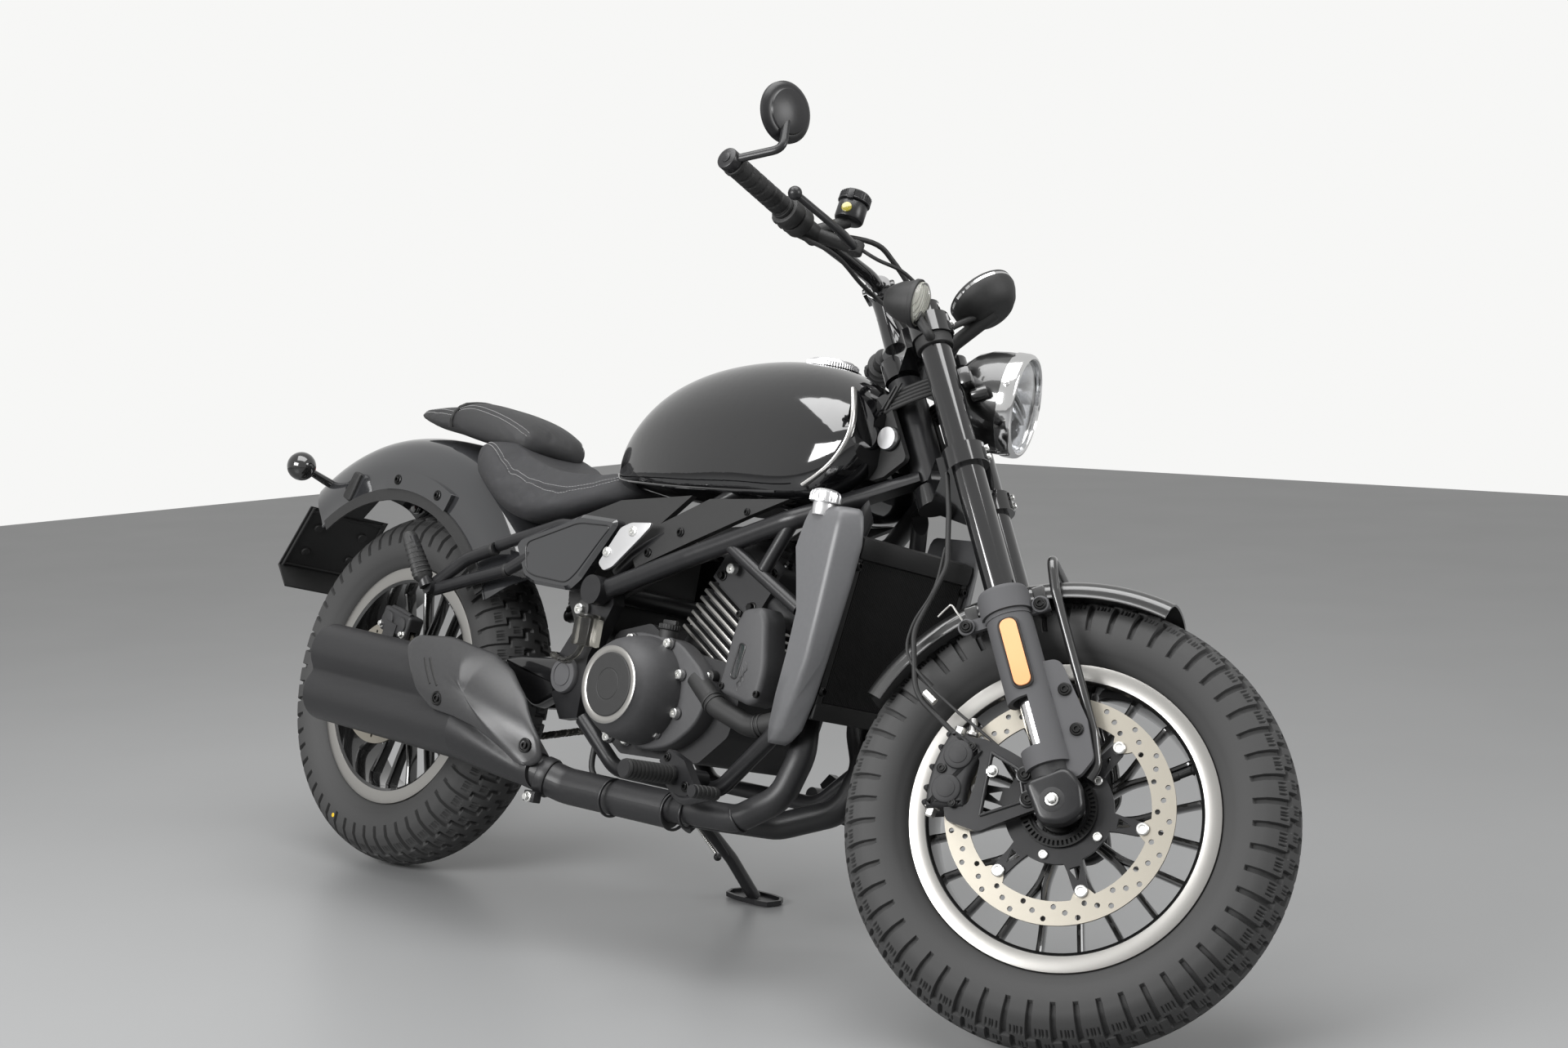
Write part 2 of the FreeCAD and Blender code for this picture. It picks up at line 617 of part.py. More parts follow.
def cylinder_block():
    """Cylinders with fins and the head, drawn upright and leaned forward."""
    half_x = CYLINDER_LENGTH / 2
    half_y = CYLINDER_WIDTH / 2
    core = block(-half_x + FIN_DEPTH, half_x - FIN_DEPTH, -half_y + FIN_DEPTH, half_y - FIN_DEPTH,
                 0, FINS_FROM + FIN_COUNT * FIN_PITCH)
    parts = [core]
    for index in range(FIN_COUNT):
        low = FINS_FROM + index * FIN_PITCH
        parts.append(block(-half_x, half_x, -half_y, half_y, low, low + FIN_THICKNESS))
    head_from = FINS_FROM + FIN_COUNT * FIN_PITCH
    head = block(-half_x, half_x, -half_y, half_y, head_from, head_from + HEAD_HEIGHT)
    top_edges = [edge for edge in head.Edges if edge.BoundBox.ZMin > head_from + HEAD_HEIGHT / 2]
    head = head.makeFillet(FIN_PITCH, top_edges)
    parts.append(head)
    shape = joined(parts)
    shape.Placement = cylinder_frame()
    return shape


def clutch_cover():
    flange = side_plate(CLUTCH_COVER_SHARES, ENGINE_HALF_WIDTH, CLUTCH_BASE, CLUTCH_FLANGE)
    centre = chassis(CLUTCH_SHARES)
    base = centre - Vector(0, CLUTCH_BASE, 0)
    step = centre - Vector(0, CLUTCH_OUTER - CLUTCH_FLANGE, 0)
    face = centre - Vector(0, CLUTCH_OUTER, 0)
    drum = cone(CLUTCH_RADIUS, CLUTCH_RADIUS - CLUTCH_FLANGE / 4, base, step)
    dome = cone(CLUTCH_RADIUS - CLUTCH_FLANGE / 4, CLUTCH_RING_RADIUS, step, face)
    cap_base = chassis(OIL_CAP_SHARES) - Y_AXIS * (ENGINE_HALF_WIDTH + CLUTCH_BASE) / 2
    cap = cylinder(OIL_CAP_RADIUS, cap_base - Z_AXIS * OIL_CAP_LENGTH / 2, cap_base + Z_AXIS * OIL_CAP_LENGTH)
    return joined([flange, drum, dome, cap])


def left_engine_covers():
    generator = plate(flat_outline(GENERATOR_COVER_SHARES, ENGINE_HALF_WIDTH),
                      Vector(0, GENERATOR_OUTER - ENGINE_HALF_WIDTH, 0), CLUTCH_FLANGE)
    return generator


def sprocket_cover():
    return plate(flat_outline(SPROCKET_COVER_SHARES, SPROCKET_COVER_INNER),
                 Vector(0, SPROCKET_COVER_OUTER - SPROCKET_COVER_INNER, 0), CLUTCH_FLANGE / 2)


def engine_front_cover():
    return side_plate(FRONT_COVER_SHARES, FRONT_COVER_INNER, FRONT_COVER_OUTER, CLUTCH_FLANGE / 2)


# Cooling

SHROUD_SHARES = [(0.7, 0.463), (0.715, 0.479), (0.756, 0.474), (0.774, 0.453), (0.76, 0.35),
                 (0.749, 0.264), (0.715, 0.233), (0.7, 0.246), (0.704, 0.35)]
RADIATOR_CAP_SHARES = (0.722, -1.123, 0.479)
HOSE_SHARES = [(0.57, -0.908, 0.286), (0.609, -0.954, 0.261), (0.663, -0.923, 0.246),
               (0.716, -0.862, 0.264)]
SHROUD_CHAMFER = 14.0
RADIATOR_NECK_RADIUS = 16.8


def radiator():
    half_x = RADIATOR_THICKNESS / 2
    half_y = RADIATOR_WIDTH / 2
    half_z = RADIATOR_HEIGHT / 2
    core = block(-half_x, half_x, -half_y, half_y, -half_z, half_z - RADIATOR_TANK)
    tank = block(-half_x - FIN_THICKNESS, half_x + FIN_THICKNESS, -half_y, half_y,
                 half_z - RADIATOR_TANK, half_z)
    edges = [edge for edge in tank.Edges if edge.BoundBox.ZMin > half_z - RADIATOR_TANK / 2]
    tank = tank.makeFillet(RADIATOR_TANK / 3, edges)
    shape = joined([core, tank])
    shape.Placement = Placement(chassis(RADIATOR_SHARES), Rotation(Y_AXIS, RADIATOR_LEAN))
    return shape


def radiator_shrouds():
    panel = side_plate(SHROUD_SHARES, SHROUD_INNER, SHROUD_OUTER, CLUTCH_FLANGE)
    outer_edges = [edge for edge in panel.Edges if edge.BoundBox.YMax < -SHROUD_OUTER + RUNNING_FIT]
    panel = panel.makeChamfer(SHROUD_CHAMFER, outer_edges)
    return panel


def radiator_cap():
    foot = place(RADIATOR_CAP_SHARES)
    neck = cylinder(RADIATOR_NECK_RADIUS, foot - Z_AXIS * RADIATOR_CAP_HEIGHT, foot)
    cap = cylinder(RADIATOR_CAP_RADIUS, foot, foot + Z_AXIS * RADIATOR_CAP_HEIGHT)
    return joined([neck, cap])


def coolant_hose():
    return side_tubes(HOSE_SHARES, HOSE_RADIUS, TUBE_BEND)


# Tank, panels and seats. Each section is (x, half width, top, bottom) in shares.

TANK_SECTIONS = [(0.341, 0.4, 0.524, 0.49), (0.377, 0.723, 0.583, 0.482),
                 (0.438, 0.938, 0.617, 0.477), (0.512, 1.062, 0.634, 0.475),
                 (0.593, 1.115, 0.638, 0.477), (0.66, 1.115, 0.628, 0.479),
                 (0.7, 1.062, 0.611, 0.494), (0.731, 0.892, 0.585, 0.529)]
RIDER_SEAT_SECTIONS = [(0.113, 0.862, 0.529, 0.486), (0.155, 1.077, 0.525, 0.465),
                       (0.202, 1.138, 0.506, 0.439), (0.249, 1.108, 0.492, 0.431),
                       (0.296, 0.938, 0.49, 0.442), (0.337, 0.723, 0.497, 0.459),
                       (0.374, 0.538, 0.505, 0.474)]
PILLION_SEAT_SECTIONS = [(-0.054, 0.569, 0.571, 0.549), (-0.013, 0.677, 0.575, 0.539),
                         (0.067, 0.738, 0.576, 0.532), (0.135, 0.769, 0.567, 0.524),
                         (0.189, 0.708, 0.548, 0.52), (0.22, 0.554, 0.531, 0.514)]
INFILL_SHARES = [(0.441, 0.405), (0.45, 0.431), (0.547, 0.475), (0.663, 0.482), (0.609, 0.461),
                 (0.528, 0.427), (0.45, 0.393)]
UPPER_PANEL_SHARES = [(0.337, 0.44), (0.408, 0.465), (0.519, 0.477), (0.471, 0.438), (0.444, 0.415),
                      (0.411, 0.431)]
SIDE_COVER_SHARES = [(0.257, 0.401), (0.265, 0.411), (0.364, 0.444), (0.427, 0.442), (0.413, 0.422),
                     (0.378, 0.372), (0.361, 0.358), (0.3, 0.36), (0.281, 0.366)]
ALU_PLATE_SHARES = [(0.431, 0.422), (0.45, 0.442), (0.475, 0.443), (0.474, 0.435), (0.43, 0.391),
                    (0.411, 0.387), (0.404, 0.397), (0.415, 0.419)]
HEAD_COVER_SHARES = [(0.706, 0.595), (0.726, 0.607), (0.768, 0.539), (0.741, 0.519), (0.716, 0.512),
                     (0.726, 0.552)]
LOCK_SHARES = (0.743, -0.462, 0.558)
LOCK_RADIUS = 17.0
LOCK_LENGTH = 12.0
INFILL_INNER = 116.0
INFILL_OUTER = 128.0
RECESS_GAP = 10.0
ALU_THICKNESS = 4.0
CAP_RIM_SHARE = 0.7
CAP_CROWN_SHARE = 0.8
HEAD_COVER_INNER = 46.0
HEAD_COVER_OUTER = 56.0
SECTION_SHARES = [(0.0, 1.0), (0.55, 0.93), (0.93, 0.62), (1.0, 0.34), (0.9, 0.08), (0.5, 0.0)]
PAD_SHARES = [(0.0, 1.0), (0.62, 0.98), (0.95, 0.78), (1.0, 0.4), (0.93, 0.08), (0.5, 0.0)]


def body_ring(section, shares):
    """A smooth closed section across the motorcycle, the same on both sides."""
    along, width, top_share, bottom_share = section
    half = width * FRAME_HALF_WIDTH
    top = chassis((along, top_share)).z
    bottom = chassis((along, bottom_share)).z
    x = chassis((along, bottom_share)).x
    right = [Vector(x, -half * wide, bottom + (top - bottom) * high) for wide, high in shares]
    low = [Vector(x, 0, bottom)]
    left = [Vector(x, -point.y, point.z) for point in reversed(right[1:])]
    return smooth_ring(right + low + left)


def body_loft(sections, shares):
    return lofted([body_ring(section, shares) for section in sections])


def fuel_tank():
    shell = body_loft(TANK_SECTIONS, SECTION_SHARES)
    cap_foot = chassis(TANK_CAP_SHARES)
    seat_ring = cylinder(TANK_CAP_RADIUS + FIN_THICKNESS, cap_foot - Z_AXIS * OVERRUN, cap_foot)
    return joined([shell, seat_ring]).cut(headstock_recess())


def headstock_recess():
    """Room in the tank's front for the head tube, and for the fork legs at full lock."""
    half = STEM_RADIUS + HEAD_TUBE_WALL + RECESS_GAP
    reach = LEG_SPACING / 2
    slot = block(-AXIS_OFFSET - half, reach, -half, half, LOWER_YOKE_Z, FORK_LENGTH + reach)
    near = math.hypot(LEG_SPACING / 2, AXIS_OFFSET + LEG_LEAD) - OUTER_TUBE_RADIUS - YOKE_WALL - MOVING_GAP
    far = near + 2 * (OUTER_TUBE_RADIUS + YOKE_WALL + MOVING_GAP)
    low = head_axis_point(LOWER_YOKE_Z)
    high = head_axis_point(FORK_LENGTH + reach)
    ring = cylinder(far, low, high).cut(cylinder(near, low, high))
    front = block(-AXIS_OFFSET - half, far, -far, far, LOWER_YOKE_Z, FORK_LENGTH + reach)
    return on_fork(joined([slot, ring.common(front)]))


def filler_cap():
    foot = chassis(TANK_CAP_SHARES)
    rim_height = Z_AXIS * TANK_CAP_HEIGHT * CAP_RIM_SHARE
    knurled = cylinder(TANK_CAP_RADIUS, foot, foot + rim_height)
    crown = cone(TANK_CAP_RADIUS, TANK_CAP_RADIUS * CAP_CROWN_SHARE, foot + rim_height,
                 foot + Z_AXIS * TANK_CAP_HEIGHT)
    return joined([knurled, crown])


def infill_panels():
    lower = side_plate(INFILL_SHARES, INFILL_INNER, INFILL_OUTER)
    upper = side_plate(UPPER_PANEL_SHARES, INFILL_INNER, INFILL_OUTER)
    return joined([lower, upper])


def side_cover():
    panel = side_plate(SIDE_COVER_SHARES, SIDE_PANEL_INNER, SIDE_PANEL_OUTER, CLUTCH_FLANGE)
    outer_edges = [edge for edge in panel.Edges if edge.BoundBox.YMax < -SIDE_PANEL_OUTER + RUNNING_FIT]
    return panel.makeChamfer(FIN_THICKNESS, outer_edges)


def metal_plate():
    return side_plate(ALU_PLATE_SHARES, SIDE_PANEL_INNER, SIDE_PANEL_INNER + ALU_THICKNESS, FIN_DEPTH)


def head_cover():
    panel = side_plate(HEAD_COVER_SHARES, HEAD_COVER_INNER, HEAD_COVER_OUTER, FIN_DEPTH)
    return panel


def ignition_lock():
    centre = place(LOCK_SHARES)
    start = Vector(centre.x, -HEAD_COVER_OUTER, centre.z)
    return cylinder(LOCK_RADIUS, start, start - Y_AXIS * LOCK_LENGTH)


def rider_seat():
    return body_loft(RIDER_SEAT_SECTIONS, PAD_SHARES)


def pillion_seat():
    return body_loft(PILLION_SEAT_SECTIONS, PAD_SHARES)


# Rear guard, lamps and plate holder

GUARD_WIDTH_SHARES = [(1.0, 0.0), (0.985, 0.16), (0.96, 0.5), (0.8, 0.82), (0.45, 0.96), (0.0, 1.0)]
INDICATOR_BALL_RADIUS = 27.0
INDICATOR_STEM_RADIUS = 7.0
REAR_INDICATOR_SHARES = (-0.162, -1.446, 0.466)
REAR_STEM_SHARES = (-0.167, -0.738, 0.45)
TAIL_LAMP_RADIUS = 32.0
TAIL_LAMP_DEPTH = 22.0
TAIL_LAMP_SHARES = (-0.199, 0.0, 0.461)
PLATE_TOP_SHARES = (-0.222, 0.0, 0.423)
PLATE_FOOT_SHARES = (-0.271, 0.0, 0.342)
PLATE_LIP_SHARES = (-0.246, 0.0, 0.315)
PLATE_HALF_WIDTH = 92.0
PLATE_THICKNESS = 3.0
PLATE_ARM_SHARES = (-0.159, 0.0, 0.481)
PLATE_ARM_HALF_WIDTH = 30.0
BOSS_SHARES = [(-0.042, 0.475), (-0.013, 0.486), (0.047, 0.479), (0.084, 0.455), (0.075, 0.44),
               (0.059, 0.443), (0.027, 0.465), (-0.009, 0.471), (-0.034, 0.465)]


BOSS_INNER_SHARE = 0.8
BOSS_OUTER = 136.0


def guard_ring(rim_radius, crown_radius, half_width, shares):
    """Closed section of a mudguard in the plane through the axle, solid down to its rim."""
    height = crown_radius - rim_radius
    right = [(half_width * wide, rim_radius + height * high) for wide, high in shares]
    left = [(-y, radius) for y, radius in reversed(right[:-1])]
    return right + left


def guard_body(axle, rim_radius, crown_radius, half_width, shares, angle_from, angle_to, wall):
    """A mudguard solid turned about its axle, hollowed from below where a wall is given."""
    def band(inset):
        outline = guard_ring(rim_radius, crown_radius - inset, half_width - inset, shares)
        points = [Vector(radius, y, 0) for y, radius in outline]
        crown = Part.BSplineCurve()
        crown.interpolate(points)
        corners = [points[-1], points[0]]
        if inset:
            drop = Vector(OVERRUN, 0, 0)
            corners = [points[-1], points[-1] - drop, points[0] - drop, points[0]]
        closing = [Part.makeLine(start, end) for start, end in zip(corners, corners[1:])]
        wire = Part.Wire([crown.toShape()] + closing)
        sweep = angle_to - angle_from
        shape = Part.Face(wire).revolve(ORIGIN, Y_AXIS, -sweep)
        shape.rotate(ORIGIN, Y_AXIS, -angle_from)
        shape.translate(axle)
        return shape
    outer = band(0.0)
    if not wall:
        return outer
    return outer.cut(band(wall))


def rear_guard(wall):
    return guard_body(REAR_AXLE, REAR_GUARD_RIM_RADIUS, REAR_GUARD_RADIUS, REAR_GUARD_HALF_WIDTH,
                      GUARD_WIDTH_SHARES, REAR_GUARD_FROM, REAR_GUARD_TO, wall)


def rear_mudguard():
    shell = rear_guard(GUARD_THICKNESS)
    boss = side_plate(BOSS_SHARES, REAR_GUARD_HALF_WIDTH * BOSS_INNER_SHARE, BOSS_OUTER, FIN_DEPTH)
    boss = boss.cut(rear_guard(0.0))
    return joined([shell, boss, mirrored(boss)])


def tail_lamp():
    centre = place(TAIL_LAMP_SHARES)
    outward = Vector(-1, 0, 0)
    return cylinder(TAIL_LAMP_RADIUS, centre, centre + outward * TAIL_LAMP_DEPTH * 2)


def rear_indicator():
    centre = place(REAR_INDICATOR_SHARES)
    foot = place(REAR_STEM_SHARES)
    ball = Part.makeSphere(INDICATOR_BALL_RADIUS, centre)
    stem = cylinder(INDICATOR_STEM_RADIUS, foot, centre)
    return joined([ball, stem])


def plate_holder():
    half = PLATE_HALF_WIDTH
    top = place(PLATE_TOP_SHARES)
    foot = place(PLATE_FOOT_SHARES)
    lip = place(PLATE_LIP_SHARES)
    arm = place(PLATE_ARM_SHARES)
    along = Vector(PLATE_THICKNESS, 0, 0)
    up = Vector(0, 0, PLATE_THICKNESS)
    sheet = plate([top, foot, foot + along, top + along], Vector(0, 2 * half, 0))
    sheet.translate(Vector(0, -half, 0))
    fold = plate([foot, lip, lip + up, foot + up + along], Vector(0, 2 * half, 0))
    fold.translate(Vector(0, -half, 0))
    tongue = plate([top - up * 2, arm - up * 2, arm + up, top + up],
                   Vector(0, 2 * PLATE_ARM_HALF_WIDTH, 0))
    tongue.translate(Vector(0, -PLATE_ARM_HALF_WIDTH, 0))
    return joined([sheet, fold, tongue])


# Swingarm, shock, chain and rear brake

ARM_SHARES = [(0.0, 0.5), (1.0, 0.36), (1.0, -0.36), (0.0, -0.5)]
ARM_HUB_RADIUS = 30.6
ARM_TIP_RADIUS = 25.5
ARM_CROSS_RADIUS = 19.6
CROSS_X_SHARE = 0.76
CALIPER_ANGLE = 78.0
CALIPER_LENGTH = 84.0
CALIPER_HEIGHT = 46.0
CALIPER_HALF = 17.0
SHOCK_FOOT_SHARES = (0.3, 0.0, 0.251)
SHOCK_TOP_SHARES = (0.316, 0.0, 0.431)
SHOCK_ROD_RADIUS = 9.0
CANISTER_RADIUS = 24.0
SHOCK_STEP_SHARES = (0.18, 0.72, 0.92)


def swingarm_side():
    """One arm from the pivot to the axle, drawn in its own plane and cut to length."""
    pivot = chassis(PIVOT_SHARES)
    run = REAR_AXLE - pivot
    normal = Vector(-run.z, 0, run.x)
    normal.normalize()
    points = [pivot + run * along + normal * ARM_HEIGHT * high for along, high in ARM_SHARES]
    points = [point - Vector(0, ARM_INNER, 0) for point in points]
    bar = plate(points, Vector(0, -ARM_WIDTH, 0))
    hub = cylinder(ARM_HUB_RADIUS, pivot - Vector(0, ARM_INNER, 0),
                   pivot - Vector(0, ARM_INNER + ARM_WIDTH, 0))
    tip = cylinder(ARM_TIP_RADIUS, REAR_AXLE - Vector(0, ARM_INNER, 0),
                   REAR_AXLE - Vector(0, ARM_INNER + ARM_WIDTH, 0))
    return joined([bar, hub, tip])


def swingarm():
    side = swingarm_side()
    pivot = chassis(PIVOT_SHARES)
    run = REAR_AXLE - pivot
    cross_centre = pivot + run * (1 - CROSS_X_SHARE)
    cross = cylinder(ARM_CROSS_RADIUS, cross_centre - Vector(0, ARM_INNER, 0),
                     cross_centre + Vector(0, ARM_INNER, 0))
    bore = cylinder(PIVOT_RADIUS, pivot - Vector(0, 2 * ARM_INNER, 0), pivot + Vector(0, 2 * ARM_INNER, 0))
    axle_bore = cylinder(AXLE_RADIUS, REAR_AXLE - Vector(0, 2 * ARM_INNER, 0),
                         REAR_AXLE + Vector(0, 2 * ARM_INNER, 0))
    return without(joined([side, mirrored(side), cross]), [bore, axle_bore])


def rear_axle():
    reach = ARM_INNER + ARM_WIDTH
    shaft = cylinder(AXLE_RADIUS, REAR_AXLE - Vector(0, reach, 0), REAR_AXLE + Vector(0, reach, 0))
    nut = cylinder(AXLE_NUT_RADIUS, REAR_AXLE - Vector(0, reach, 0),
                   REAR_AXLE - Vector(0, reach + AXLE_NUT_THICKNESS, 0))
    return joined([shaft, nut, mirrored(nut)])


def rear_shock():
    foot = place(SHOCK_FOOT_SHARES)
    top = place(SHOCK_TOP_SHARES)
    run = top - foot
    rod_piece = cylinder(SHOCK_ROD_RADIUS, foot, top)
    spring_foot, spring_top, canister_top = [foot + run * share for share in SHOCK_STEP_SHARES]
    spring = cylinder(SHOCK_RADIUS, spring_foot, spring_top)
    canister = cylinder(CANISTER_RADIUS, spring_top, canister_top)
    return joined([rod_piece, spring, canister])


def chain_outline(extra):
    """Run round both sprockets at the pitch line, pushed out by extra."""
    far = REAR_AXLE
    near = chassis(DRIVE_SPROCKET_SHARES)
    start = Vector(0, CHAIN_OFFSET - CHAIN_WIDTH / 2, 0)
    end = Vector(0, CHAIN_OFFSET + CHAIN_WIDTH / 2, 0)
    r_far = SPROCKET_RADIUS + extra
    r_near = DRIVE_SPROCKET_RADIUS + extra
    run = near - far
    distance = run.Length
    heading = math.atan2(run.z, run.x)
    opening = math.acos((r_far - r_near) / distance)
    corners = []
    for centre, radius, sign in ((far, r_far, 1), (near, r_near, 1), (near, r_near, -1), (far, r_far, -1)):
        angle = heading + sign * opening
        corners.append(centre + Vector(math.cos(angle), 0, math.sin(angle)) * radius)
    web = Part.Face(Part.makePolygon(corners + [corners[0]])).extrude(end - start)
    web.translate(start)
    round_far = cylinder(r_far, far + start, far + end)
    round_near = cylinder(r_near, near + start, near + end)
    return joined([web, round_far, round_near])


def drive_chain():
    return chain_outline(CHAIN_HEIGHT / 2).cut(chain_outline(-CHAIN_HEIGHT / 2))


def caliper_block(offset, disc_radius):
    """A brake caliper over the disc's edge, at the top of the disc, with its slot for the disc."""
    slot = DISC_THICKNESS / 2 + MOVING_GAP
    body = block(-CALIPER_LENGTH / 2, CALIPER_LENGTH / 2, -offset - CALIPER_HALF, -offset + CALIPER_HALF,
                 disc_radius - CALIPER_HEIGHT / 2, disc_radius + CALIPER_HEIGHT / 2)
    body = body.makeFillet(CALIPER_HALF / 3, body.Edges)
    disc_space = cylinder(disc_radius + MOVING_GAP, Vector(0, -offset - slot, 0), Vector(0, -offset + slot, 0))
    return body.cut(disc_space)


def rear_caliper():
    outer = REAR_DISC_OFFSET + CALIPER_HALF
    stay = block(-CALIPER_HALF, CALIPER_HALF, -outer - FIN_THICKNESS, -outer + ALU_THICKNESS, 0, REAR_DISC_RADIUS)
    shape = joined([caliper_block(REAR_DISC_OFFSET, REAR_DISC_RADIUS), stay])
    shape.rotate(ORIGIN, Y_AXIS, 90 - CALIPER_ANGLE)
    shape.translate(REAR_AXLE)
    return shape


# Exhaust

RIGHT_PIPE_SHARES = [(0.623, -0.385, 0.377), (0.68, -0.4, 0.347), (0.704, -0.508, 0.286),
                     (0.711, -0.615, 0.259), (0.726, -0.769, 0.229), (0.718, -0.892, 0.183),
                     (0.673, -1.0, 0.154), (0.512, -1.077, 0.147), (0.431, -1.231, 0.149),
                     (0.388, -1.446, 0.159)]
LEFT_PIPE_SHARES = [(0.623, 0.385, 0.377), (0.68, 0.4, 0.347), (0.702, 0.415, 0.286),
                    (0.71, 0.338, 0.259), (0.733, 0.231, 0.226), (0.725, 0.092, 0.179),
                    (0.663, -0.192, 0.151), (0.606, -0.692, 0.148), (0.539, -0.985, 0.147)]
PIPE_BEND = 55.0
COLLECTOR_SHARES = [(0.579, -1.038, 0.148), (0.431, -1.231, 0.149), (0.388, -1.446, 0.159)]
SHIELD_OUTLINE_SHARES = [(0.149, 0.237), (0.156, 0.272), (0.18, 0.286), (0.269, 0.288),
                         (0.337, 0.275), (0.377, 0.252), (0.431, 0.202), (0.435, 0.176),
                         (0.404, 0.164), (0.34, 0.176), (0.264, 0.203), (0.202, 0.206),
                         (0.172, 0.214)]
SHIELD_SLOT_SHARES = [((0.202, 0.26), (0.22, 0.233)), ((0.214, 0.261), (0.232, 0.234))]
SHIELD_STAY_SHARES = [(0.253, 0.248), (0.35, 0.229)]
SHIELD_STAY_RADIUS = 7.0
SLOT_WIDTH = 7.0
MUFFLER_CAP_DEPTH = 14.0
TAIL_PIPE_RADIUS = 17.0


TAPER_SHARE = 0.84
LOBE_ANGLES = [90, 60, 30]
LOBE_END = 5.0
LOBE_SWEEP = 32.0
WAIST_SHARE = 0.76
SLOPE_DROP = 14.0


def lobe_section(x, radius, gap, centre_z, y_mid):
    """Section of the two stacked barrels: two round lobes with a soft waist between."""
    points = []
    spread = gap / MUFFLER_LOBE_GAP
    waist = WAIST_SHARE * spread + 1 - spread
    angles = LOBE_ANGLES + [LOBE_END - LOBE_SWEEP * spread]
    for angle in angles:
        turn = math.radians(angle)
        points.append(Vector(x, y_mid - radius * math.cos(turn), centre_z + gap / 2 + radius * math.sin(turn)))
    points.append(Vector(x, y_mid - radius * waist, centre_z))
    for angle in [-turn for turn in reversed(angles)]:
        turn = math.radians(angle)
        points.append(Vector(x, y_mid - radius * math.cos(turn), centre_z - gap / 2 + radius * math.sin(turn)))
    other = [Vector(x, 2 * y_mid - point.y, point.z) for point in reversed(points[1:-1])]
    return smooth_ring(points + other)


def muffler_rear():
    """Middle of the muffler's rear face, its length back from its socket on the pipe."""
    end = place(COLLECTOR_SHARES[-1])
    return Vector(end.x + MUFFLER_SOCKET - MUFFLER_CONE - MUFFLER_LENGTH, -MUFFLER_OFFSET, end.z + MUFFLER_RISE)


def muffler_shell(extra):
    """Twin-barrel body and its taper down to the pipe, grown by extra all round."""
    radius = MUFFLER_RADIUS + extra
    y_mid = -MUFFLER_OFFSET
    rear = muffler_rear()
    front_x = rear.x + MUFFLER_LENGTH
    front_z = rear.z - SLOPE_DROP
    body = lofted([lobe_section(rear.x, radius, MUFFLER_LOBE_GAP, rear.z, y_mid),
                   lobe_section(front_x, radius, MUFFLER_LOBE_GAP, front_z, y_mid)])
    end = place(COLLECTOR_SHARES[-1])
    middle_x = front_x + MUFFLER_CONE / 2
    middle_z = (front_z + end.z) / 2
    middle_y = (y_mid + end.y) / 2
    taper = lofted([lobe_section(front_x, radius, MUFFLER_LOBE_GAP, front_z, y_mid),
                    lobe_section(middle_x, radius * TAPER_SHARE, MUFFLER_LOBE_GAP / 2, middle_z, middle_y),
                    lobe_section(front_x + MUFFLER_CONE, COLLECTOR_RADIUS + extra, RUNNING_FIT, end.z, end.y)])
    return joined([body, taper])


def muffler():
    shell = muffler_shell(0.0)
    outlets = []
    for sign in (1, -1):
        centre = muffler_rear() + Z_AXIS * sign * MUFFLER_LOBE_GAP / 2
        outlets.append(cylinder(TAIL_PIPE_RADIUS, centre - Vector(OVERRUN, 0, 0),
                                centre + Vector(MUFFLER_CAP_DEPTH * 2, 0, 0)))
    return shell.cut(outlets)


def heat_shield():
    skin = muffler_shell(SHIELD_STAND_OFF + SHIELD_THICKNESS).cut(muffler_shell(SHIELD_STAND_OFF))
    window = plate(flat_outline(SHIELD_OUTLINE_SHARES, -MUFFLER_OFFSET),
                   Vector(0, -MUFFLER_RADIUS * 2, 0), CLUTCH_FLANGE)
    shield = skin.common(window)
    width = X_AXIS * SLOT_WIDTH
    for ends in SHIELD_SLOT_SHARES:
        top, foot = flat_outline(ends, -MUFFLER_OFFSET)
        slot = plate([top, top + width, foot + width, foot], Vector(0, -MUFFLER_RADIUS * 2, 0))
        shield = shield.cut(slot)
    stays = []
    for shares in SHIELD_STAY_SHARES:
        at = chassis(shares) - Y_AXIS * MUFFLER_OFFSET
        stays.append(cylinder(SHIELD_STAY_RADIUS, at, at - Vector(0, MUFFLER_RADIUS * 2, 0)))
    stand_offs = joined(stays).common(muffler_shell(SHIELD_STAND_OFF + RUNNING_FIT).cut(muffler_shell(0.0)))
    return joined([shield] + stand_offs.Solids)


def exhaust_pipes():
    right = rod(places(RIGHT_PIPE_SHARES), EXHAUST_RADIUS, PIPE_BEND)
    left = rod(places(LEFT_PIPE_SHARES), EXHAUST_RADIUS, PIPE_BEND)
    collector = rod(places(COLLECTOR_SHARES), COLLECTOR_RADIUS, PIPE_BEND)
    return joined([right, left, collector])


# Footrests, pedals and stand

PEG_BRACKET_SHARES = [(0.643, 0.18), (0.633, 0.164), (0.609, 0.17), (0.587, 0.197), (0.598, 0.21),
                      (0.623, 0.202)]
BRACKET_INNER = 122.0
BRACKET_OUTER = 190.0
BRACKET_WALL = 16.0
PEDAL_SHARES = [(0.599, -1.354, 0.176), (0.626, -1.431, 0.16), (0.68, -1.508, 0.176)]
PEDAL_TIP_SHARES = (0.681, -1.508, 0.176)
PEDAL_RADIUS = 7.0
PEDAL_PAD_LENGTH = 52.0
PEDAL_PAD_RADIUS = 9.1
PILLION_PEG_SHARES = [(0.132, -1.354, 0.339), (0.101, -1.508, 0.392)]
PILLION_PEG_RADIUS = 12.0
STAND_PIVOT_SHARES = (0.436, 0.985, 0.137)
STAND_FOOT_X = 687.0
STAND_FOOT_Y = 273.0
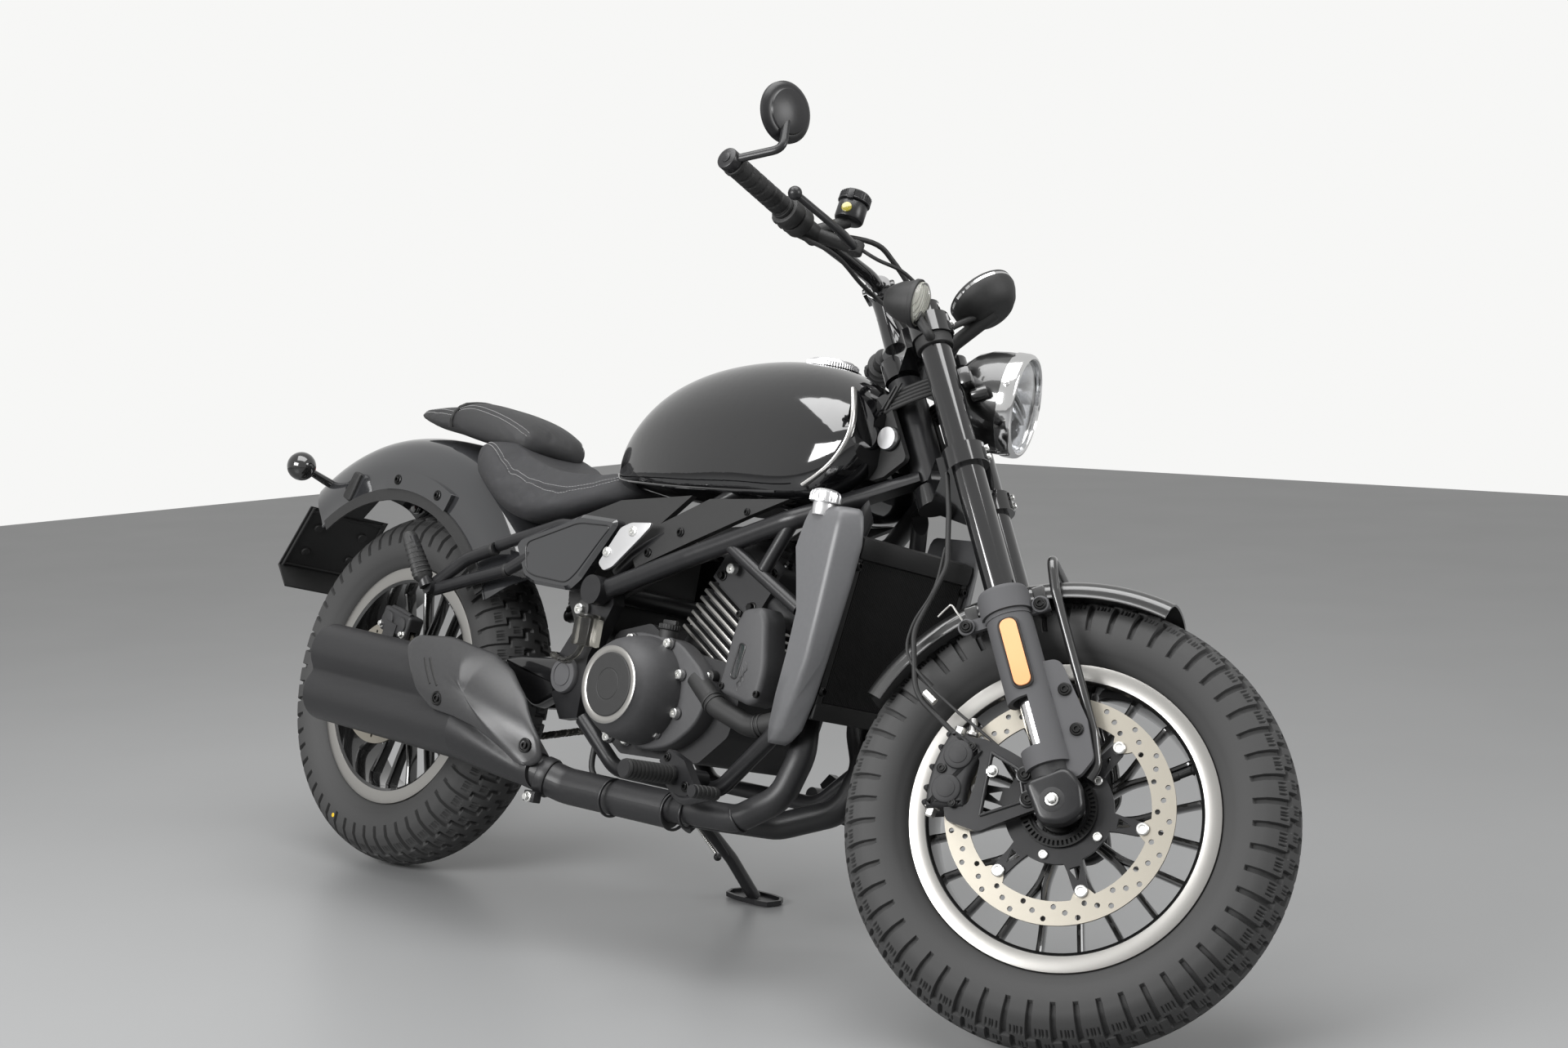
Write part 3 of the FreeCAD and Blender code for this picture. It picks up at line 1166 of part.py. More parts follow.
STAND_FOOT_SHARES = [(1.0, 0.15), (0.82, 0.8), (0.4, 1.0), (-0.4, 1.0), (-0.86, 0.75), (-1.0, 0.1),
                     (-0.86, -0.75), (-0.4, -1.0), (0.4, -1.0), (0.82, -0.8)]
STAND_FOOT_HALF_LENGTH = 60.0
STAND_FOOT_HALF_WIDTH = 24.0
STAND_FOOT_RIM = 5.0
STAND_FOOT_FLOOR = 3.0
STAND_EYE_RADIUS = 16.5
STAND_EYE_HALF = 14.0
STAND_ARM_RADIUS = 7.0
STAND_BOW_SHARE = 0.55
STAND_FOLD_OUT_SHARE = 0.22


def footrest_side():
    """A bracket on the cradle tube, its rubber footrest standing out and the pedal below it."""
    arm = side_plate(PEG_BRACKET_SHARES, BRACKET_OUTER - BRACKET_WALL, BRACKET_OUTER)
    middle = chassis(PEG_SHARES)
    outer = middle - Y_AXIS * BRACKET_OUTER
    root = cylinder(CRADLE_TUBE_RADIUS, middle - Y_AXIS * BRACKET_INNER, outer)
    peg = cylinder(PEG_RADIUS, outer, outer - Y_AXIS * PEG_LENGTH)
    pedal = rod(places(PEDAL_SHARES), PEDAL_RADIUS, PIPE_BEND)
    tip = place(PEDAL_TIP_SHARES)
    pad = cylinder(PEDAL_PAD_RADIUS, tip, tip - Y_AXIS * PEDAL_PAD_LENGTH)
    return joined([arm, root, peg, pedal, pad])


def pillion_footrest():
    foot, top = places(PILLION_PEG_SHARES)
    peg = cylinder(PILLION_PEG_RADIUS, foot, top)
    hinge = cylinder(PILLION_PEG_RADIUS, Vector(foot.x, foot.y + 2 * PILLION_PEG_RADIUS, foot.z), foot)
    return joined([peg, hinge])


def parked_rotation():
    """Lean and pitch that put both tyres on the floor, and the height of the frame's origin."""
    lean = Rotation(Vector(1, 0, 0), -LEAN)
    steer = Rotation(STEER_AXIS, STEER_STOP)

    def lowest(rotation, centre, axle, radius, crown):
        across = rotation.multVec(axle)
        middle = rotation.multVec(centre)
        return middle.z - (radius - crown) * math.sqrt(1 - across.z ** 2) - crown

    steered_axle = steer.multVec(Y_AXIS)
    steered_centre = STEER_POINT + steer.multVec(FRONT_AXLE - STEER_POINT)
    low, high = -5.0, 5.0
    for step in range(60):
        pitch = (low + high) / 2
        rotation = lean.multiply(Rotation(Y_AXIS, pitch))
        rear = lowest(rotation, REAR_AXLE, Y_AXIS, REAR_TYRE_RADIUS, REAR_CROWN_RADIUS)
        front = lowest(rotation, steered_centre, steered_axle, FRONT_TYRE_RADIUS, FRONT_CROWN_RADIUS)
        if front > rear:
            low = pitch
        else:
            high = pitch
    return Placement(Vector(0, 0, -rear), rotation)


PARKED = parked_rotation()
STEERED = Placement(STEER_POINT - Rotation(STEER_AXIS, STEER_STOP).multVec(STEER_POINT),
                    Rotation(STEER_AXIS, STEER_STOP))


def stand_foot():
    """The foot on the floor, boat-shaped, with a raised rim round its upper face."""
    middle = Vector(STAND_FOOT_X, STAND_FOOT_Y, 0)

    def outline(inset, height):
        long_half = STAND_FOOT_HALF_LENGTH - inset
        short_half = STAND_FOOT_HALF_WIDTH - inset
        return [middle + Vector(along * long_half, out * short_half, height) for along, out in STAND_FOOT_SHARES]

    body = plate(outline(0.0, 0.0), Z_AXIS * STAND_FOOT_THICKNESS)
    return body.cut(plate(outline(STAND_FOOT_RIM, STAND_FOOT_FLOOR), Z_AXIS * STAND_FOOT_THICKNESS))


def side_stand():
    """The leg in the motorcycle's frame, with its foot flat on the floor once parked."""
    to_frame = PARKED.inverse()
    pivot = place(STAND_PIVOT_SHARES)
    foot_middle = to_frame.multVec(Vector(STAND_FOOT_X, STAND_FOOT_Y, STAND_FOOT_FLOOR))
    leg = rod([pivot, pivot + (foot_middle - pivot) * STAND_BOW_SHARE + stand_axis() * FIN_THICKNESS, foot_middle],
              STAND_RADIUS, PIPE_BEND)
    pad = stand_foot()
    pad.Placement = to_frame.multiply(pad.Placement)
    eye = cylinder(STAND_EYE_RADIUS, pivot - stand_axis() * STAND_EYE_HALF, pivot + stand_axis() * STAND_EYE_HALF)
    bore = cylinder(STAND_PIVOT_RADIUS + RUNNING_FIT, pivot - stand_axis() * OVERRUN * 2,
                    pivot + stand_axis() * OVERRUN * 2)
    return joined([leg, pad, eye]).cut(bore)


def stand_axis():
    """The pivot's axis: square to the lowered leg and to the folded one."""
    to_frame = PARKED.inverse()
    pivot = place(STAND_PIVOT_SHARES)
    leg = to_frame.multVec(Vector(STAND_FOOT_X, STAND_FOOT_Y, 0)) - pivot
    leg.normalize()
    folded = Vector(-1, STAND_FOLD_OUT_SHARE, 0)
    axis = leg.cross(folded)
    axis.normalize()
    return axis


def stand_bracket():
    pivot = place(STAND_PIVOT_SHARES)
    pin = cylinder(STAND_PIVOT_RADIUS, pivot - stand_axis() * (STAND_EYE_HALF + BRACKET_WALL),
                   pivot + stand_axis() * (STAND_EYE_HALF + FIN_THICKNESS))
    cradle = place(CRADLE_SHARES[4])
    root = Vector(cradle.x, -cradle.y, cradle.z)
    cheek_from = pivot - stand_axis() * (STAND_EYE_HALF + RUNNING_FIT)
    cheek_to = cheek_from - stand_axis() * BRACKET_WALL
    cheek = cylinder(STAND_EYE_RADIUS, cheek_from, cheek_to)
    upward = Z_AXIS - stand_axis() * stand_axis().z
    upward.normalize()
    elbow = cheek_to + stand_axis() * FIN_THICKNESS + upward * STAND_EYE_RADIUS * 2
    arm = rod([cheek_to + stand_axis() * FIN_THICKNESS, elbow, root], STAND_ARM_RADIUS, STAND_ARM_RADIUS)
    head_from = pivot + stand_axis() * (STAND_EYE_HALF + RUNNING_FIT)
    head = cylinder(STAND_PIVOT_RADIUS + FIN_THICKNESS / 2, head_from, head_from + stand_axis() * FIN_THICKNESS)
    return joined([pin, cheek, arm, head])


# Steering pieces, drawn in the fork's frame

GUARD_LUG_REACH = 61.0
GUARD_LUG_Z = 282.0
GUARD_STAY_F = 50.0
FLANGE_SHARES = [(0.025, 0.25), (0.075, 0.245), (0.092, 0.125), (0.085, 0.055), (0.055, 0.033),
                 (0.013, 0.033)]
HOOP_SHARES = [(0.065, -0.23, 0.028), (0.085, -0.23, 0.045), (0.095, -0.23, 0.105),
               (0.098, -0.23, 0.375), (0.107, -0.23, 0.44), (0.107, 0.23, 0.44),
               (0.098, 0.23, 0.375), (0.095, 0.23, 0.105), (0.085, 0.23, 0.045),
               (0.065, 0.23, 0.028)]
BAR_SHARES = [(-0.074, 0.0, 1.095), (-0.075, -0.235, 1.097), (-0.152, -0.593, 1.143),
              (-0.217, -1.0, 1.184)]
BAR_CLAMP_SHARES = (-0.074, -0.111, 1.095)
RISER_FOOT_SHARES = (-0.071, -0.111, 0.97)
POD_RADIUS = 24.0
POD_LENGTH = 46.0
RESERVOIR_SHARES = (-0.077, -0.484, 1.156)
RESERVOIR_RADIUS = 25.0
RESERVOIR_HEIGHT = 46.0
LEVER_SHARES = [(-0.077, -0.469, 1.1), (-0.09, -0.617, 1.105), (-0.135, -0.827, 1.14)]
LEVER_RADIUS = 6.0
LEVER_BALL_RADIUS = 9.0
LEVER_BEND = 120.0
MIRROR_ELBOW_SHARES = (-0.12, -1.047, 1.163)
MIRROR_SHARES = (-0.087, -1.042, 1.234)
INDICATOR_SHARES = (0.0, -0.341, 0.983)
CALIPER_BEARING = 56.0
UPPER_STAY_SHARE = 0.7
FRONT_CALIPER_LENGTH = 108.0
FRONT_CALIPER_HEIGHT = 58.0
FRONT_CALIPER_OUTER = 104.0
FRONT_CALIPER_INNER = 46.0
HOSE_LINE_RADIUS = 4.0
YOKE_REAR_SHARE = 1.3
STEM_BOSS_WALL = 14.4
HOOP_BEND = 38.0
BAR_BEND = 90.0
PERCH_LENGTH_SHARE = 0.8
PERCH_MIDDLE_SHARE = 0.5
LEVER_ARM_RADIUS = 11.2
NECK_RADIUS = 9.6
MIRROR_ARM_BEND = 16.0
MIRROR_BACK_SHARES = [(0.0, 0.0), (1.0, 0.0), (1.0, 0.35), (0.82, 0.75), (0.3, 1.0), (0.0, 1.0)]
BOWL_SHARES = [(0.0, 0.0), (0.34, 0.0), (0.66, 0.14), (0.86, 0.36), (0.96, 0.64), (0.97, 1.0), (0.0, 1.0)]
LENS_SHARES = [(0.0, 0.0), (1.0, 0.0), (1.0, 0.6), (0.93, 1.0), (0.0, 1.0)]
DIAL_SHARES = [(0.0, 0.0), (0.5, 0.0), (0.84, 0.3), (1.0, 0.7), (1.0, 1.0), (0.0, 1.0)]
INDICATOR_CUP_SHARES = [(0.0, 0.0), (0.5, 0.0), (0.78, 0.3), (0.9, 0.65), (1.0, 0.7), (1.0, 1.0), (0.0, 1.0)]
EAR_RISE = 8.0
EAR_HEIGHT = 28.0
EAR_DEPTH = 31.0
EAR_OVERLAP = 1.0
EAR_OVERHANG = 6.0
STALK_RADIUS = 11.2
STALK_ROOT_SHARE = 0.9
COLLAR_HEIGHT = 18.0
COLLAR_WALL = 5.4
CALIPER_INWARD_SHARE = 0.62
REFLECTOR_CORNER_SHARE = 0.95
BRAKE_HOSE_SHARES = [(-0.13, -0.222, 0.16), (-0.188, -0.242, 0.263), (-0.163, -0.257, 0.375),
                     (-0.075, -0.257, 0.475), (-0.048, -0.252, 0.575), (-0.033, -0.242, 0.655)]


def legs(shape):
    """A right-hand piece and its left-hand twin as one node."""
    return both(shape)


def leg_axis_point(height):
    return Vector(LEG_LEAD, -LEG_SPACING / 2, height)


def yoke(bottom, thickness):
    half = LEG_SPACING / 2
    ring_radius = OUTER_TUBE_RADIUS + YOKE_WALL
    up = Vector(0, 0, thickness)
    rings = []
    for y in (-half, half):
        start = Vector(LEG_LEAD, y, bottom)
        rings.append(cylinder(ring_radius, start, start + up))
    stem_boss = cylinder(STEM_RADIUS + STEM_BOSS_WALL, head_axis_point(bottom), head_axis_point(bottom) + up)
    front = LEG_LEAD + YOKE_WALL
    rear = LEG_LEAD - ring_radius * YOKE_REAR_SHARE
    corners = [Vector(front, -half, bottom), Vector(rear, -half, bottom),
               Vector(-AXIS_OFFSET - STEM_RADIUS, 0, bottom), Vector(rear, half, bottom),
               Vector(front, half, bottom), Vector(front - ring_radius, 0, bottom)]
    web = plate(corners, up)
    bores = []
    for y in (-half, half):
        bores.append(cylinder(OUTER_TUBE_RADIUS, Vector(LEG_LEAD, y, bottom - OVERRUN),
                              Vector(LEG_LEAD, y, bottom + thickness + OVERRUN)))
    return without(joined(rings + [stem_boss, web]), bores)


def yokes():
    stem = cylinder(STEM_RADIUS, head_axis_point(LOWER_YOKE_Z),
                    head_axis_point(UPPER_YOKE_Z + UPPER_YOKE_THICKNESS))
    upper = yoke(UPPER_YOKE_Z, UPPER_YOKE_THICKNESS)
    lower = yoke(LOWER_YOKE_Z, LOWER_YOKE_THICKNESS)
    return joined([stem, upper, lower])


def fork_outer_tubes():
    return legs(cylinder(OUTER_TUBE_RADIUS, leg_axis_point(OUTER_TUBE_BOTTOM), leg_axis_point(FORK_LENGTH)))


def fork_inner_tubes():
    return legs(cylinder(INNER_TUBE_RADIUS, leg_axis_point(LUG_TOP - OVERRUN), leg_axis_point(OUTER_TUBE_BOTTOM)))


def tyre_side_space():
    reach = FORK_LENGTH
    return block(-reach, reach, -FORK_INNER_LIMIT, FORK_INNER_LIMIT, -reach, reach)


def fork_shrouds():
    """A cover round each leg, open over the chrome tube behind, with a flange to the front."""
    sleeve = cylinder(SHROUD_RADIUS, leg_axis_point(SHROUD_BOTTOM), leg_axis_point(SHROUD_TOP))
    collar = cylinder(SHROUD_COLLAR_RADIUS, leg_axis_point(SHROUD_TOP - SHROUD_COLLAR_HEIGHT),
                      leg_axis_point(SHROUD_TOP))
    flange = plate(fork_outline(FLANGE_SHARES, -LEG_SPACING / 2),
                   Vector(0, -FLANGE_DEPTH, 0), FLANGE_THICKNESS * 2)
    guard_lug = block(LEG_LEAD - GUARD_LUG_REACH, LEG_LEAD + GUARD_LUG_REACH, -LEG_SPACING / 2 - YOKE_WALL / 2,
                      -LEG_SPACING / 2 + YOKE_WALL / 2, GUARD_LUG_Z - YOKE_WALL, GUARD_LUG_Z + YOKE_WALL)
    body = joined([sleeve, collar, flange, guard_lug])
    tube_space = cylinder(OUTER_TUBE_RADIUS, leg_axis_point(OUTER_TUBE_BOTTOM - OVERRUN),
                          leg_axis_point(SHROUD_TOP + OVERRUN))
    hollow = cylinder(OUTER_TUBE_RADIUS + GUARD_THICKNESS, leg_axis_point(SHROUD_BOTTOM - OVERRUN),
                      leg_axis_point(OUTER_TUBE_BOTTOM))
    window = block(LEG_LEAD - 2 * SHROUD_RADIUS, LEG_LEAD, -2 * LEG_SPACING, 0, WINDOW_BOTTOM, WINDOW_TOP)
    return legs(without(body, [tube_space, hollow, window, tyre_side_space()]))


def fork_reflectors():
    y = -LEG_SPACING / 2 - SHROUD_RADIUS + RUNNING_FIT
    half = REFLECTOR_WIDTH / 2
    low, high = REFLECTOR_Z - REFLECTOR_LENGTH / 2, REFLECTOR_Z + REFLECTOR_LENGTH / 2
    inner_y = y + REFLECTOR_THICKNESS
    points = [Vector(LEG_LEAD - half, inner_y, low), Vector(LEG_LEAD + half, inner_y, low),
              Vector(LEG_LEAD + half, inner_y, high), Vector(LEG_LEAD - half, inner_y, high)]
    body = plate(points, Vector(0, -2 * REFLECTOR_THICKNESS, 0), half * REFLECTOR_CORNER_SHARE)
    sleeve = cylinder(SHROUD_RADIUS, leg_axis_point(SHROUD_BOTTOM), leg_axis_point(SHROUD_TOP))
    return legs(body.cut(sleeve))


def fork_lugs():
    """The casting at the foot of each leg that clamps the chrome tube and holds the axle."""
    y = -LEG_SPACING / 2
    socket = cylinder(LUG_RADIUS, leg_axis_point(0), leg_axis_point(LUG_TOP))
    eye = cylinder(LUG_RADIUS, Vector(0, -FORK_INNER_LIMIT, 0),
                   Vector(0, 2 * y + FORK_INNER_LIMIT + RUNNING_FIT, 0))
    body = joined([socket, eye])
    tube_space = cylinder(INNER_TUBE_RADIUS, leg_axis_point(LUG_TOP - OVERRUN), leg_axis_point(LUG_TOP + OVERRUN))
    axle_space = cylinder(AXLE_RADIUS, Vector(0, 2 * y, 0), Vector(0, 0, 0))
    return legs(without(body, [tube_space, axle_space, tyre_side_space()]))


def front_axle():
    reach = LEG_SPACING - FORK_INNER_LIMIT
    shaft = cylinder(AXLE_RADIUS, Vector(0, -reach, 0), Vector(0, reach, 0))
    nut = cylinder(AXLE_NUT_RADIUS, Vector(0, -reach, 0), Vector(0, -reach - AXLE_NUT_THICKNESS, 0))
    return joined([shaft, nut, mirrored(nut)])


def front_mudguard():
    """The short front guard, turned about the front axle, drawn upright."""
    rim_radius = FRONT_GUARD_RADIUS - FRONT_GUARD_SIDE_DROP
    shell = guard_body(ORIGIN, rim_radius, FRONT_GUARD_RADIUS, FRONT_GUARD_HALF_WIDTH, GUARD_WIDTH_SHARES,
                       FRONT_GUARD_FROM, FRONT_GUARD_TO, GUARD_THICKNESS)
    shell.rotate(ORIGIN, Y_AXIS, RAKE)
    stays = []
    top = rim_radius + YOKE_WALL
    inner = FRONT_GUARD_HALF_WIDTH - GUARD_THICKNESS / 2
    for sign in (1, -1):
        middle = LEG_LEAD + sign * GUARD_STAY_F
        stays.append(block(middle - YOKE_WALL, middle + YOKE_WALL, -LEG_SPACING / 2 + YOKE_WALL / 2, -inner,
                           GUARD_LUG_Z - YOKE_WALL, top))
    return joined([shell] + stays + [mirrored(stay) for stay in stays] + [mudguard_hoop()])


def mudguard_hoop():
    return rod([fork_place(shares) for shares in HOOP_SHARES], HOOP_RADIUS, HOOP_BEND)


def handlebar():
    points = [fork_place(shares) for shares in BAR_SHARES]
    left = [Vector(point.x, -point.y, point.z) for point in reversed(points[1:])]
    bar = rod(left + points[1:], BAR_RADIUS, BAR_BEND)
    clamp_at = fork_place(BAR_CLAMP_SHARES)
    foot = fork_place(RISER_FOOT_SHARES)
    pieces = [bar]
    for sign in (1, -1):
        top = Vector(clamp_at.x, sign * clamp_at.y, clamp_at.z)
        base = Vector(foot.x, sign * foot.y, foot.z)
        pieces.append(cylinder(RISER_RADIUS, base, top))
        half = Vector(0, BAR_CLAMP_HALF, 0)
        pieces.append(cylinder(BAR_CLAMP_RADIUS, top - half, top + half))
    return joined(pieces)


def bar_run():
    """End and direction of the right-hand side of the bar."""
    inner, end = [fork_place(shares) for shares in BAR_SHARES[-2:]]
    run = end - inner
    run.normalize()
    return end, run


def grips():
    end, run = bar_run()
    start = end - run * GRIP_LENGTH
    sleeve = cylinder(GRIP_RADIUS, start, end)
    bore = cylinder(BAR_RADIUS, start - run * OVERRUN, end + run * OVERRUN)
    return legs(sleeve.cut(bore))


def bar_controls():
    """The switch pod, lever perch and fluid reservoir on each side of the bar."""
    end, run = bar_run()
    pod_end = end - run * (GRIP_LENGTH + RUNNING_FIT)
    pod = cylinder(POD_RADIUS, pod_end - run * POD_LENGTH, pod_end)
    perch_end = pod_end - run * POD_LENGTH
    perch = cylinder(PERCH_RADIUS, perch_end - run * POD_LENGTH * PERCH_LENGTH_SHARE, perch_end)
    perch_middle = perch_end - run * POD_LENGTH * PERCH_MIDDLE_SHARE
    lever_root = fork_place(LEVER_SHARES[0])
    arm = cylinder(LEVER_ARM_RADIUS, perch_middle, lever_root)
    up = FORK_FRAME.Rotation.inverted().multVec(Z_AXIS)
    reservoir_foot = fork_place(RESERVOIR_SHARES)
    reservoir = cylinder(RESERVOIR_RADIUS, reservoir_foot, reservoir_foot + up * RESERVOIR_HEIGHT)
    neck = cylinder(NECK_RADIUS, perch_middle, reservoir_foot)
    lever = rod([fork_place(shares) for shares in LEVER_SHARES], LEVER_RADIUS, LEVER_BEND)
    ball = Part.makeSphere(LEVER_BALL_RADIUS, fork_place(LEVER_SHARES[-1]))
    bore = rod([fork_place(shares) for shares in BAR_SHARES[1:]], BAR_RADIUS, BAR_BEND)
    return legs(joined([pod, perch, arm, reservoir, neck, lever, ball]).cut(bore))


def mirrors():
    elbow = fork_place(MIRROR_ELBOW_SHARES)
    end, run = bar_run()
    plug = cylinder(GRIP_RADIUS, end, end + run * GRIP_RADIUS)
    centre = fork_place(MIRROR_SHARES)
    forward = lamp_axis()
    outward = Rotation(FORK_FRAME.Rotation.inverted().multVec(Z_AXIS), -MIRROR_TURN).multVec(forward)
    root = end + run * GRIP_RADIUS / 2
    arm = rod([root, elbow, centre - outward * MIRROR_DEPTH / 2], MIRROR_ARM_RADIUS, MIRROR_ARM_BEND)
    head = turned(scaled(MIRROR_BACK_SHARES, MIRROR_RADIUS, MIRROR_DEPTH), centre - outward * MIRROR_DEPTH, outward)
    return legs(joined([plug, arm, head]))


def lamp_axis():
    return FORK_FRAME.Rotation.inverted().multVec(Vector(1, 0, 0))


def headlamp_bowl():
    """The lamp's bowl, facing straight ahead, with its two ears to the fork legs."""
    centre = Vector(HEADLAMP_X, 0, HEADLAMP_Z)
    profile = scaled(BOWL_SHARES, HEADLAMP_RADIUS, HEADLAMP_DEPTH)
    bowl = turned(profile, centre - lamp_axis() * HEADLAMP_DEPTH, lamp_axis())
    ear_x = LEG_LEAD + OUTER_TUBE_RADIUS - EAR_OVERLAP
    ear_y = LEG_SPACING / 2 + EAR_OVERHANG
    ear_z = HEADLAMP_Z + EAR_RISE
    ear = block(ear_x, ear_x + EAR_DEPTH, -ear_y, ear_y, ear_z, ear_z + EAR_HEIGHT)
    return joined([bowl, ear])


def headlamp_lens():
    centre = Vector(HEADLAMP_X, 0, HEADLAMP_Z)
    return turned(scaled(LENS_SHARES, HEADLAMP_RADIUS, HEADLAMP_RIM_DEPTH), centre, lamp_axis())


def instrument():
    centre = Vector(INSTRUMENT_X, 0, INSTRUMENT_Z)
    axis = Rotation(Y_AXIS, -INSTRUMENT_TILT).multVec(Z_AXIS)
    back = centre - axis * INSTRUMENT_DEPTH
    bowl = turned(scaled(DIAL_SHARES, INSTRUMENT_RADIUS, INSTRUMENT_DEPTH), back, axis)
    stalk = cylinder(STALK_RADIUS, centre - axis * INSTRUMENT_DEPTH * STALK_ROOT_SHARE,
                     Vector(LEG_LEAD - OUTER_TUBE_RADIUS, 0, UPPER_YOKE_Z + UPPER_YOKE_THICKNESS / 2))
    return joined([bowl, stalk])


def front_indicators():
    centre = fork_place(INDICATOR_SHARES)
    axis = lamp_axis()
    depth = INDICATOR_DEPTH
    cup = turned(scaled(INDICATOR_CUP_SHARES, INDICATOR_RADIUS, depth), centre - axis * depth, axis)
    collar_low = leg_axis_point(UPPER_YOKE_Z - COLLAR_HEIGHT)
    collar = cylinder(OUTER_TUBE_RADIUS + COLLAR_WALL, collar_low, leg_axis_point(UPPER_YOKE_Z))
    collar_middle = collar_low + Vector(0, 0, COLLAR_HEIGHT / 2)
    neck = rod([collar_middle, Vector(collar_middle.x, centre.y - INDICATOR_STEM_RADIUS / 2, collar_middle.z),
                centre - axis * depth / 2], INDICATOR_STEM_RADIUS, INDICATOR_STEM_RADIUS * 2)
    body = joined([cup, collar, neck])
    tube_space = cylinder(OUTER_TUBE_RADIUS, leg_axis_point(UPPER_YOKE_Z - 3 * COLLAR_HEIGHT),
                          leg_axis_point(FORK_LENGTH))
    return legs(body.cut(tube_space))


def front_caliper():
    """The radial caliper behind the right-hand leg, over the disc's rear edge."""
    angle = CALIPER_BEARING
    slot = DISC_THICKNESS / 2 + MOVING_GAP
    low = FRONT_DISC_RADIUS - FRONT_CALIPER_HEIGHT * CALIPER_INWARD_SHARE
    body = block(-FRONT_CALIPER_LENGTH / 2, FRONT_CALIPER_LENGTH / 2, -FRONT_CALIPER_OUTER, -FRONT_CALIPER_INNER,
                 low, low + FRONT_CALIPER_HEIGHT)
    body = body.makeFillet(CALIPER_HALF / 3, body.Edges)
    disc_space = cylinder(FRONT_DISC_RADIUS + MOVING_GAP, Vector(0, -FRONT_DISC_OFFSET - slot, 0),
                          Vector(0, -FRONT_DISC_OFFSET + slot, 0))
    body = body.cut(disc_space)
    body.rotate(ORIGIN, Y_AXIS, -angle)
    turn = math.radians(angle)
    centre = Vector(-math.sin(turn), 0, math.cos(turn)) * FRONT_DISC_RADIUS
    stay_y = -FRONT_CALIPER_OUTER + YOKE_WALL
    half_length = FRONT_CALIPER_LENGTH / 3
    lower = cylinder(YOKE_WALL, Vector(-LUG_RADIUS / 2, stay_y, 0),
                     Vector(centre.x - half_length / 2, stay_y, centre.z - half_length))
    upper = cylinder(YOKE_WALL, Vector(LEG_LEAD - LUG_RADIUS / 2, stay_y, LUG_TOP * UPPER_STAY_SHARE),
                     Vector(centre.x + half_length / 2, stay_y, centre.z + half_length / 2))
    return joined([body, lower, upper])


def brake_hose():
    points = [fork_place(shares) for shares in BRAKE_HOSE_SHARES]
    return rod(points, HOSE_LINE_RADIUS, TUBE_BEND)


# Battery box ahead of the rear tyre

BATTERY_BOX_SHARES = [(0.296, 0.442), (0.401, 0.442), (0.401, 0.316), (0.35, 0.303), (0.316, 0.35)]
BATTERY_HALF_WIDTH = 84.0


def battery_box():
    outline = flat_outline(BATTERY_BOX_SHARES, -BATTERY_HALF_WIDTH)
    return plate(outline, Vector(0, 2 * BATTERY_HALF_WIDTH, 0), CRANKCASE_CORNER)


# Pieces in the order in which they are seated: each is cut where an earlier one stands.

CRUMB_SIZE = 13.0


def seated(pieces):
    """Cuts each piece by the ones before it and drops the crumbs that this leaves."""
    standing = []
    done = {}
    for name, shape in pieces:
        kept = []
        for solid in shape.Solids:
            tools = [other for other in standing if other.BoundBox.intersect(solid.BoundBox)]
            rest = solid.cut(tools) if tools else solid
            kept += [piece for piece in rest.Solids if piece.Volume > CRUMB_SIZE ** 3]
        standing += kept
        done[name] = Part.makeCompound(kept)
    return done


def chassis_pieces():
    guard_space = rear_guard(0.0)
    pieces = [
        ("frame", joined([frame_head(), frame_tubes(), frame_cradle(), stand_bracket()]).cut(stem_space())),
        ("rear_subframe", rear_subframe().cut(guard_space)),
        ("crankcase", crankcase()),
        ("cylinder_block", cylinder_block()),
        ("clutch_cover", clutch_cover()),
        ("left_engine_covers", Part.makeCompound([left_engine_covers(), sprocket_cover()])),
        ("engine_front_cover", engine_front_cover()),
        ("swingarm", joined([swingarm(), rear_axle()])),
        ("drive_chain", drive_chain()),
        ("rear_caliper", rear_caliper()),
        ("battery_box", battery_box()),
        ("rear_shock", rear_shock()),
        ("exhaust_pipes", exhaust_pipes()),
        ("muffler", muffler()),
        ("heat_shield", heat_shield()),
        ("radiator", radiator()),
        ("radiator_shrouds", both(radiator_shrouds())),
        ("radiator_cap", radiator_cap()),
        ("coolant_hose", coolant_hose()),
        ("rear_mudguard", rear_mudguard()),
        ("tail_lamp", tail_lamp().cut(guard_space)),
        ("rear_indicators", both(rear_indicator().cut(guard_space))),
        ("plate_holder", plate_holder()),
        ("side_covers", both(side_cover())),
        ("metal_plates", both(metal_plate())),
        ("infill_panels", Part.makeCompound([infill_panels(), mirrored(infill_panels())])),
        ("fuel_tank", fuel_tank()),
        ("filler_cap", filler_cap()),
        ("head_covers", both(head_cover())),
        ("ignition_lock", ignition_lock()),
        ("pillion_seat", pillion_seat().cut(guard_space)),
        ("rider_seat", rider_seat().cut(guard_space)),
        ("footrests", Part.makeCompound([footrest_side(), mirrored(footrest_side()),
                                         pillion_footrest(), mirrored(pillion_footrest())])),
    ]
    return seated(pieces)


def steering_pieces():
    pieces = [
        ("yokes", yokes()),
        ("fork_tubes", fork_outer_tubes()),
        ("fork_inner_tubes", fork_inner_tubes()),
        ("fork_lugs", fork_lugs()),
        ("front_axle", front_axle()),
        ("fork_shrouds", fork_shrouds()),
        ("fork_reflectors", fork_reflectors()),
        ("front_mudguard", front_mudguard()),
        ("front_caliper", front_caliper()),
        ("brake_hose", brake_hose()),
        ("handlebar", handlebar()),
        ("grips", grips()),
        ("bar_controls", bar_controls()),
        ("mirrors", mirrors()),
        ("headlamp_bowl", headlamp_bowl()),
        ("headlamp_lens", headlamp_lens()),
        ("instrument", instrument()),
        ("front_indicators", front_indicators()),
    ]
    return seated(pieces)


